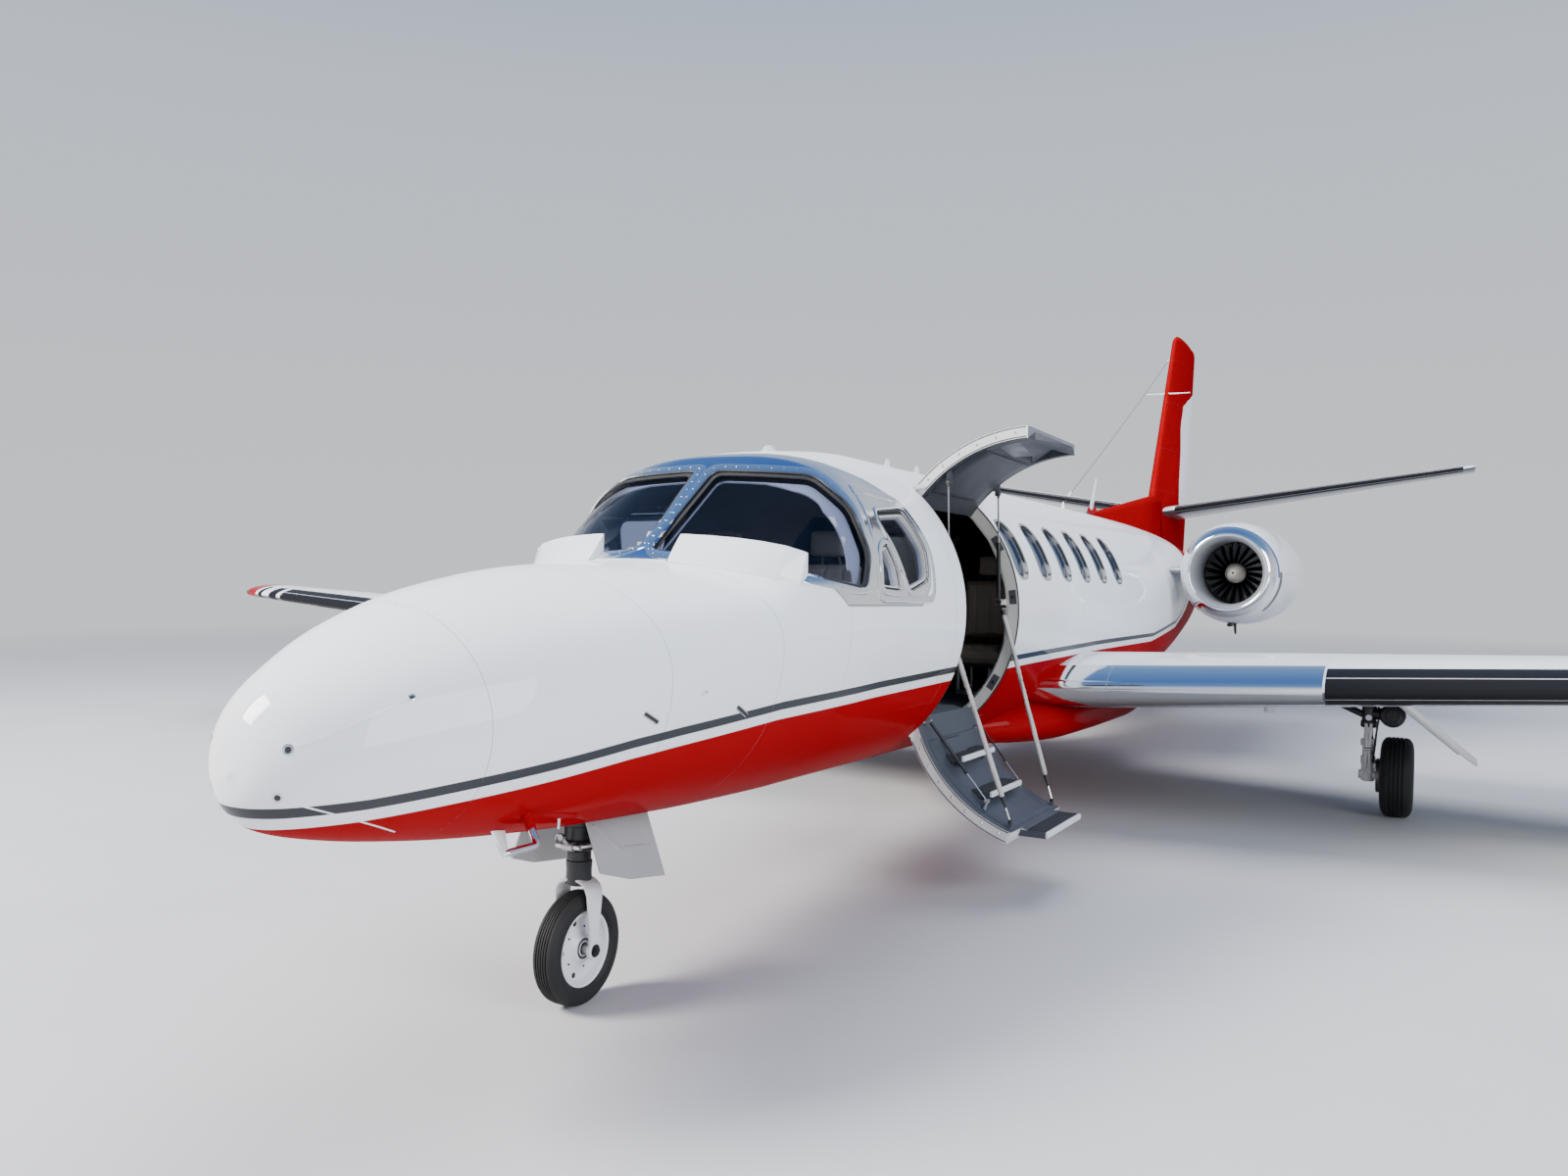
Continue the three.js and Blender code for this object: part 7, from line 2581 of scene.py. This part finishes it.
@dataclass
class Seat:
    """A seat with swollen leather pads on a shell.

    Attributes:
        node: the CAD node.
        x: the middle.
        station: the front edge.
        width: across.
        back_top: the backrest's top.
    """

    node: str
    x: float
    station: float
    width: float
    back_top: float
    floor: float = -560.0

    def pads(self) -> dict[str, tuple[Point, Point]]:
        """The pads' boxes by name."""
        half, s, floor, top = self.width / 2, self.station, self.floor, self.back_top
        return {
            "cushion": ((self.x - half, s, floor + 214), (self.x + half, s + 420, floor + 330)),
            "back": ((self.x - half, s + 412, floor + 345), (self.x + half, s + 500, top)),
            "head": ((self.x - half * 0.52, s + 425, top + 8), (self.x + half * 0.52, s + 505, top + 148)),
        }

    def frame(self) -> None:
        """The shell, legs and belt anchors under the pads."""
        piece = Piece(self.node + "_shell")
        half, s, floor = self.width / 2, self.station, self.floor
        piece.box((self.x - half + 6, s + 12, floor + 196),
                  (self.x + half - 6, s + 500, floor + 218), 0, 9)
        piece.box((self.x - half + 10, s + 494, floor + 330),
                  (self.x + half - 10, s + 519, self.back_top - 8), 0, 9)
        piece.box((self.x - half * 0.55, s + 90, floor + 4),
                  (self.x + half * 0.55, s + 390, floor + 40), 1, 8)
        for side in (1, -1):
            for at in (120, 370):
                piece.tube([(self.x + side * half * 0.5, s + at, floor + 8),
                            (self.x + side * half * 0.5, s + at, floor + 205)], 15, 12, 1)
            piece.tube([(self.x + side * half * 0.24, s + 508, self.back_top - 60),
                        (self.x + side * half * 0.24, s + 470, self.back_top + 40)], 7, 10, 1)
            belt = [(self.x + side * (half - 8), s + 400, floor + 240),
                    (self.x + side * (half - 50), s + 330, floor + 345),
                    (self.x + side * 60, s + 240, floor + 352)]
            piece.tube(smoothed(belt, 2), 9, 8, 2)
        piece.done("airframe", "panel_plastic", [PANEL_BLACK, ALUMINIUM, BELT_WEB], [self.node])

    def build(self) -> None:
        """Builds the seat."""
        self.frame()
        for name, (low, high) in self.pads().items():
            Cushion(self.node + "_" + name, low, high, LEATHER, channels=3 if name != "head" else 0,
                    upright=name != "cushion").build()


@dataclass
class Cushion:
    """A padded piece: a crowned form swollen by simulation, with sewn channels.

    Attributes:
        name: the piece's name.
        low: lowest corner of its space.
        high: highest corner.
        finish: its cover.
        channels: sewn lines across its face.
        upright: whether its face looks forward, not up.
        swell: the most that a point may move, in millimetres.
        fill: how tight it is. Not used.
    """

    name: str
    low: Point
    high: Point
    finish: Finish
    channels: int = 3
    upright: bool = False
    swell: float = 18.0
    fill: float = 0.75

    def crowned(self, count: int = 22) -> bpy.types.Object:
        """A rounded block, a little smaller than its space."""
        low, high = np.array(self.low, float) + 7, np.array(self.high, float) - 7
        middle, half = (low + high) / 2, (high - low) / 2
        bm = bmesh.new()
        bmesh.ops.create_cube(bm, size=2.0)
        bmesh.ops.subdivide_edges(bm, edges=bm.edges, cuts=count, use_grid_fill=True)
        thin = int(np.argmin(half))
        for vertex in bm.verts:
            v = np.array(vertex.co[:])
            flat = [k for k in range(3) if k != thin]
            edge = max(abs(v[flat[0]]), abs(v[flat[1]]))
            pinch = 1 - 0.52 * edge**7
            v[thin] *= pinch
            corner = abs(v[flat[0]] * v[flat[1]])
            for k in flat:
                v[k] *= 1 - 0.035 * corner**3
            vertex.co = Vector(in_frame((middle + half * v)[None])[0])
        mesh = bpy.data.meshes.new(self.name)
        bm.to_mesh(mesh)
        bm.free()
        return placed(self.name, mesh)

    def swollen(self, piece: bpy.types.Object) -> None:
        """Swells the piece with cloth under pressure, and keeps the result."""
        remesh = piece.modifiers.new("even", "REMESH")
        remesh.mode, remesh.voxel_size = "VOXEL", 0.011
        self.keep(piece)
        before = read(piece.data.vertices, "co", 3)
        cloth = piece.modifiers.new("swell", "CLOTH")
        cloth.settings.use_pressure = True
        cloth.settings.uniform_pressure_force = 4
        cloth.settings.effector_weights.gravity = 0
        cloth.point_cache.frame_start, cloth.point_cache.frame_end = 1, 12
        for step in range(1, 13):
            bpy.context.scene.frame_set(step)
        self.keep(piece)
        bpy.context.scene.frame_set(1)
        moved = read(piece.data.vertices, "co", 3) - before
        length = np.linalg.norm(moved, axis=1, keepdims=True)
        moved *= np.minimum(1, self.swell / 1000 / np.maximum(length, 1e-9))
        inside = on_airframe(before + moved)
        inside = np.clip(inside, np.array(self.low, float) - 4, np.array(self.high, float) + 4)
        piece.data.vertices.foreach_set("co", in_frame(inside).ravel())
        smooth = piece.modifiers.new("smooth", "SUBSURF")
        smooth.levels = smooth.render_levels = 1
        self.keep(piece)

    def keep(self, piece: bpy.types.Object) -> None:
        """Puts the evaluated mesh in place of the piece's own, without modifiers."""
        bpy.context.view_layer.update()
        mesh = bpy.data.meshes.new_from_object(piece.evaluated_get(bpy.context.evaluated_depsgraph_get()))
        piece.modifiers.clear()
        piece.data = mesh

    def sew(self, piece: bpy.types.Object) -> None:
        """Presses the sewn channels into the face."""
        if not self.channels:
            return
        places = on_airframe(read(piece.data.vertices, "co", 3))
        low, high = np.array(self.low, float), np.array(self.high, float)
        share = (places[:, 0] - low[0]) / (high[0] - low[0])
        sink = np.zeros(len(places))
        for k in range(self.channels):
            line = (k + 1) / (self.channels + 1)
            sink += 7.0 * np.exp(-(((share - line) * (high[0] - low[0])) / 9.0) ** 2)
        axis = 1 if self.upright else 2
        middle = (low[axis] + high[axis]) / 2
        half = (high[axis] - low[axis]) / 2
        off = (places[:, axis] - middle) / half
        places[:, axis] -= np.sign(off) * sink * np.clip(np.abs(off), 0, 1)
        piece.data.vertices.foreach_set("co", in_frame(places).ravel())

    def build(self) -> None:
        """Builds the cushion."""
        piece = self.crowned()
        self.swollen(piece)
        self.sew(piece)
        mesh = piece.data
        mesh.materials.clear()
        mesh.materials.append(self.finish.material())
        mesh.shade_smooth()
        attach(piece, "airframe")
        log.info("%s: %d faces", self.name, len(mesh.polygons))


def dress(node: str, finish: Finish) -> None:
    """Gives a CAD node that shows as it is its finish."""
    for slot in frame["nodes"][node].material_slots:
        slot.material = finish.material()


@dataclass
class Cabin:
    """The floor, the instrument panel, the seats and the patient's bed."""

    floor: float = -560.0

    def panel(self) -> None:
        """Glareshield, screens, dials and control wheels."""
        dress("instrument_panel", PANEL_BLACK)
        piece = Piece("panel_instruments")

        def face(up: float) -> float:
            """The sloped panel's station at a height."""
            return 2309 - (60 - up) * 0.103 + 3

        s = face(-40)
        for x in (-430, -150, 150, 430):
            piece.box((x - 88, s - 6, -110), (x + 88, s + 10, 36), 0, 6)
            piece.box((x - 76, s + 8, -98), (x + 76, s + 13, 26), 1, 2)
        for x in (-560, -290, 0, 290, 560):
            for up in (-170, -80, 10):
                spot = (x, face(up), up)
                if abs(x) == 560 and up < -100:
                    continue
                piece.lathe([(0, 34), (8, 34), (11, 30), (6, 28), (5, 0)], spot, (0, 1, 0), 24, 0)
                piece.lathe([(5, 28), (6, 0)], spot, (0, 1, 0), 20, 2)
        for side in (1, -1):
            x = side * 300
            piece.tube(smoothed([(x, 2300, -160), (x, 2420, -160), (x, 2470, -150)], 2), 14, 12, 0)
            yoke = [(x - 150, 2480, -80), (x - 148, 2482, -150), (x - 60, 2478, -178), (x + 60, 2478, -178),
                    (x + 148, 2482, -150), (x + 150, 2480, -80)]
            piece.tube(smoothed(yoke, 2), 13, 12, 0)
        for x in (-45, -15, 15, 45):
            piece.tube([(x, 2400, -302), (x, 2420, -215)], 6, 8, 3)
            piece.lathe([(0, 6), (4, 13), (20, 13), (24, 6)], (x, 2420, -222), (0, 0.2, 1), 14, 0)
        piece.done("airframe", "panel_plastic", [PANEL_BLACK, SCREEN_FACE, DIAL_FACE, BRIGHT])

    def bed(self) -> None:
        """The patient's bed: its box, its mattress, its pillow and its blanket."""
        base = Piece("bed_base")
        base.box((-625, 4800, self.floor + 4), (-232, 6540, self.floor + 322), 0, 14)
        for s in (4800, 5380, 5960, 6540):
            base.box((-232, s - 12, self.floor + 10), (-221, s + 12, self.floor + 320), 1, 3)
        base.tube([(-186, 4715, self.floor + 338), (-186, 6625, self.floor + 338)], 10, 14, 1)
        base.done("airframe", "panel_plastic", [CABINET_GREY, ALUMINIUM], ["stretcher"])
        Cushion("bed_mattress", (-618, 4712, self.floor + 326), (-196, 6628, self.floor + 408), BED_CLOTH,
                channels=0, swell=10, fill=0.8).build()
        Cushion("bed_pillow", (-560, 6240, self.floor + 400), (-260, 6560, self.floor + 480), BED_CLOTH,
                channels=0, swell=14, fill=0.6).build()
        self.blanket()

    def blanket(self) -> None:
        """A cream blanket laid over the bed, hanging down at its inboard side and front."""
        low = self.floor
        stations = np.linspace(4640, 5900, 64)
        across = np.linspace(-600, 90, 46)
        rows = []
        for s in stations:
            row = []
            for a in across:
                over = max(a + 190, 0.0)
                drop = over + max(4708 - s, 0) * 2.2
                ripple = (9 * math.sin(s / 74) * min(over / 160, 1)
                          + 5 * math.sin(s / 31 + a / 60) * min(over / 200, 1))
                x = min(a, -190) + min(over, 26) * 0.7 + ripple * 0.6
                front = max(4700 - s, 0)
                y = s if front <= 0 else 4700 - min(front, 16)
                wave = 2.6 * math.sin(s / 95 + a / 120) + 1.6 * math.sin(a / 42 - s / 160)
                y -= 4 * math.sin(a / 50) * min(front / 40, 1)
                row.append((x, y, low + 412 + wave - max(drop - 16, 0) * 0.98))
            rows.append(row)
        rows = np.array(rows)
        back = rows.copy()
        back[..., 2] -= 2.5
        back[..., 0] -= 2.0
        piece = Piece("bed_blanket")
        piece.grid(np.concatenate([rows, back[:, ::-1]], 1), 0)
        made = piece.done("airframe", "seat_leather", [BLANKET], sharp=80)
        length = float(np.linalg.norm(np.diff(rows[:, 5], axis=0), axis=1).sum()) / 1000
        width = float(np.linalg.norm(np.diff(rows[20], axis=0), axis=1).sum()) / 1000

    def build(self) -> None:
        """Builds everything in the cabin."""
        dress("cabin_floor", CARPET)
        self.panel()
        for side in Side:
            Seat("pilot_seat_" + side.label, side * 300, 2640, 400, 260).build()
        Seat("cabin_seat_1", 330, 5050, 420, 210).build()
        Seat("cabin_seat_2", 330, 6150, 420, 210).build()
        self.bed()


# Fittings on the skin

class Fittings:
    """Aerials, probes, lights, vents and fasteners on the outside."""

    def blade(self, piece: Piece, foot: Point, tip: Point, chords: tuple[float, float], thick: float,
              finish: int = 0) -> None:
        """Adds a thin streamlined blade.

        Args:
            piece: what it is added to.
            foot: the middle of its root.
            tip: the middle of its tip.
            chords: lengths at the root and the tip.
            thick: its thickness.
            finish: its finish.
        """
        foot, tip = np.array(foot, float), np.array(tip, float)
        way = unit((tip - foot)[None])[0]
        fore = np.array([0, 1.0, 0]) - way * way[1]
        fore /= np.linalg.norm(fore)
        side = np.cross(way, fore)
        section = ((-0.5, 0), (-0.42, 0.6), (-0.25, 0.95), (0, 1), (0.28, 0.6), (0.5, 0.08),
                   (0.28, -0.6), (0, -1), (-0.25, -0.95), (-0.42, -0.6))
        rows = []
        for t, shrink in ((-0.05, 1.25), (0, 1.05), (0.04, 1), (0.5, 1), (0.93, 0.97), (1, 0.72)):
            chord = between(*chords, t) * (shrink if t > 0.9 else 1)
            spot = between(foot, tip, t)
            rows.append([spot + fore * a * chord + side * b * thick / 2 * shrink for a, b in section])
        piece.grid(np.array(rows), finish)

    def aerials(self) -> None:
        """Blade and stub aerials on the roof and the fin, and the wire to the fin."""
        piece = Piece("roof_aerials")
        self.blade(piece, (0, 9210, 836), (0, 9416, 1210), (150, 70), 16)
        for s in (4450, 4910):
            top = BODY.ring(s, 4)[:, 2].max()
            self.blade(piece, (0, s, top - 4), (0, s + 20, top + 62), (110, 62), 14)
        for side in (1, -1):
            spot = np.array([side * 24, 12640.0, 2520.0])
            piece.tube([spot, spot + (side * 230, 34, 8)], [9, 5], 10)
            piece.tube([spot + (side * 4, -60, 0), spot + (side * 4, 60, 0)], [6, 10], 10)
        piece.done("airframe", "white_panel", [WHITE_GLOSS])
        wire = Piece("aerial_wire")
        ends = np.array([(0, 12815, 3000), (0, 8284, 905)], float)
        share, sag = np.linspace(0, 1, 24)[:, None], 26
        line = ends[0] * (1 - share) + ends[1] * share
        line[:, 2] -= 4 * sag * (share * (1 - share))[:, 0]
        wire.tube(line, 2.4, 6, 0)
        for t in (0.035, 0.955):
            spot = ends[0] * (1 - t) + ends[1] * t
            way = unit((ends[1] - ends[0])[None])[0]
            wire.tube([spot - way * 55, spot, spot + way * 55], [5, 12, 5], 10, 1)
        wire.tube([(0, 8284, 915), (0, 8284, 850)], [6, 16], 12, 1)
        wire.done("airframe", "dark_steel", [DARK_STEEL, WHITE_GLOSS])

    def under(self, x: float, station: float) -> np.ndarray:
        """The skin's place seen from below."""
        return BODY.struck(np.array([(x, station, -1200)], float), (0, 0, 1))[0]

    def probes(self) -> None:
        """Pitot tubes and small probes round the nose."""
        piece = Piece("nose_probes")
        for side in (1, -1):
            foot = self.under(243, 835)
            out = BODY.outward(foot)
            tip = foot + out * 92 + (0, 14, 0)
            self.blade(piece, foot * (side, 1, 1), tip * (side, 1, 1), (66, 34), 13, 0)
            foot = self.under(361, 836)
            out = BODY.outward(foot)
            elbow = foot + out * 108
            stem = np.array([foot - out * 8, foot + out * 52]) * (side, 1, 1)
            piece.tube(stem, [21, 17], 14, 1)
            bend = np.array([foot + out * 50, elbow, elbow + (0, -46, 0), elbow + (0, -150, 0)])
            bend = smoothed(bend * (side, 1, 1), 2)
            piece.tube(bend, [13] * (len(bend) - 2) + [10, 7], 14, 2)
            foot = self.under(side * 330, 1040)
            piece.tube([foot + (0, 0, 6), foot + (0, 0, -34)], [6, 4], 8, 2)
            knob = BODY.side(np.array([1398.0]), np.array([-251.0]))[0]
            out = BODY.outward(knob)
            knob, out = knob * (side, 1, 1), out * (side, 1, 1)
            piece.lathe([(-2, 15), (4, 15), (8, 11), (9, 0)], knob, out, 20, 0)
            piece.lathe([(9, 5), (14, 4), (15, 0)], knob, out, 12, 2)
        piece.done("airframe", "white_panel", [WHITE_GLOSS, RED_GLOSS, BRIGHT])

    def nose_marks(self) -> None:
        """Slits, ringed ports and the rub strip on the radome and the nose."""
        piece = Trim("nose_vents")
        for s, h, long, lean in ((1152, -327, 70, 0.5), (1645, -339, 74, 0.5)):
            t = np.linspace(-0.5, 0.5, 8)
            path = BODY.side(s + t * long, h - t * long * lean, 0.0)
            for side in (1, -1):
                piece.strip(path * (side, 1, 1), 20, 3.0, 0)
                piece.strip(path * (side, 1, 1), 12, 4.2, 1)
        for s, h, radius in ((66, -356, 9), (54, -491, 9), (356, -219, 6)):
            for side in (1, -1):
                spot = BODY.side(np.array([float(s)]), np.array([float(h)]))[0]
                out = BODY.outward(spot)
                spot, out = spot * (side, 1, 1), out * (side, 1, 1)
                piece.lathe([(-3, radius * 1.7), (1.2, radius * 1.7), (2, radius * 1.3), (0.8, radius)],
                            spot, out, 20, 0)
                piece.lathe([(-3, radius), (1.2, radius), (1.4, 0)], spot, out, 18, 1)
        for stations, heights, wide in (((66, 356), (-356, -219), 4), ((60, 421), (-500, -640), 6)):
            t = np.linspace(0.06, 0.97, 30)
            path = BODY.side(between(*stations, t), between(*heights, t), 0.0)
            for side in (1, -1):
                piece.strip(path * (side, 1, 1), wide, 1.4, 2)
        piece.done("airframe", "panel_plastic", [BRIGHT, PANEL_BLACK, WHITE_GLOSS])

    def inlet(self) -> None:
        """The air inlet at the front of the dorsal fin."""
        piece = Piece("dorsal_inlet")
        # Columns: station, half width, top and base
        hood = ((9118, 30, 912, 826), (9150, 34, 930, 822), (9420, 40, 948, 800))
        # The mouth is closed by a black plate: painted shade standing for the opening.
        mouth = ((9112, 22, 897, 836), (9120, 22, 897, 836))
        for finish, table in enumerate((hood, mouth)):
            rows = [[(-half, s, base), (0, s, top), (half, s, base)] for s, half, top, base in table]
            piece.grid(np.array(rows), finish)
        piece.done("airframe", "red_panel", [RED_GLOSS, PANEL_BLACK])

    def lights(self) -> None:
        """Lamps at the wing tips and the tail, the lower beacon and the roof lens."""
        piece = Piece("lamps")
        foot = BODY.struck(np.array([(0.0, 3011, 1400)]), (0, 0, -1))[0]
        piece.lathe([(-4, 42), (4, 42), (8, 36), (22, 30), (30, 16), (33, 0)], foot, (0, 0, 1), 24, 0)
        for finish, side in enumerate(Side, start=1):
            tip = (side * 7880.0, 6085, -96)
            piece.lathe([(-60, 6), (-40, 15), (0, 19), (40, 14), (58, 4)], tip, (0, 1, 0), 16, finish)
        piece.lathe([(0, 22), (20, 22), (34, 15), (38, 0)], (0, 13952, 548), (0, 1, 0.1), 20, 0)
        foot = BODY.struck(np.array([(0.0, 8400, -1400)]), (0, 0, 1))[0]
        piece.lathe([(-6, 50), (6, 50), (12, 40), (60, 34), (84, 20), (90, 0)], foot, (0, 0, -1), 24, 3)
        piece.done("airframe", "tinted_glass", [LAMP_CLEAR, LAMP_RED, LAMP_GREEN, LAMP_RED])

    def fasteners(self) -> None:
        """Screws round the windscreen frames, and rows beside the hull's joints."""
        screws = Studs("frame_screws", "airframe", "bright_steel", ALUMINIUM, 3.6, 1.0, 6)
        screen, plate = widened(screen_outline(45), 15), widened(rounded(SIDE_FRAME, 70), -12)
        loops = [on_screen(np.vstack([screen, screen[:1]]), 5.2),
                 on_side(np.vstack([plate, plate[:1]]), 3.2)]
        for side in Side:
            for spots in loops:
                screws.along(spots * (side, 1, 1), 58, BODY.normals(spots, spots) * (side, 1, 1))
        screws.done()
        rivets = Studs("hull_rivets", "airframe", "white_paint", WHITE_GLOSS, 3.4, 0.9, 6)
        for station in (545, 575, 1838, 1862, 3468, 3492, 8138, 8162):
            ring = BODY.ring(station, 240)
            upper = ring[ring[:, 2] > np.interp(station, *zip(*STRIPE_EDGE))]
            upper = upper[np.argsort(np.arctan2(upper[:, 2], upper[:, 0]))]
            rivets.along(upper, 46, BODY.normals(upper, upper))
        rivets.done()

    def build(self) -> None:
        """Builds the fittings."""
        self.aerials()
        self.probes()
        self.nose_marks()
        self.inlet()
        self.lights()
        self.fasteners()


class GearDoors:
    """Finishes of the gear doors that stay as the solids are, with their hinges and ribs."""

    def build(self) -> None:
        """Dresses the doors and adds hinges."""
        for side in Side:
            dress("nose_gear_door_" + side.label, GEAR_DOOR_GREY)
            dress("main_gear_door_" + side.label, WHITE_GLOSS)
        piece = Piece("gear_door_hinges")
        for sign in (1, -1):
            for station in (1500, 1620, 1740):
                piece.tube([(sign * 143, station - 22, -768), (sign * 143, station + 22, -768)], 8, 10)
            rib = np.array([(sign * 160, 1460, -800), (sign * 204, 1600, -905),
                            (sign * 206, 1790, -925)], float)
            piece.tube(rib - (sign * 9, 0, -2), 6, 8, 0)
            for station in (6960, 7110, 7270):
                low = np.array([sign * 2660, station, -536.0])
                piece.tube([low, low + (sign * 420, 0, -348)], 9, 8, 1)
        piece.done("airframe", "grey_panel", [GEAR_DOOR_GREY, WHITE_GLOSS])


def main() -> None:
    """Builds every sub-assembly in order."""
    logging.basicConfig(level=logging.INFO, format="%(message)s")
    Studio().build()
    Fuselage().build()
    Glazing().build()
    Panels().build()
    for side in Side:
        Engine(side).build()
    CabinDoor().build()
    NoseGear().build()
    for side in Side:
        MainGear(side).build()
    GearDoors().build()
    Cabin().build()
    Fittings().build()


if __name__ == "__main__":
    main()
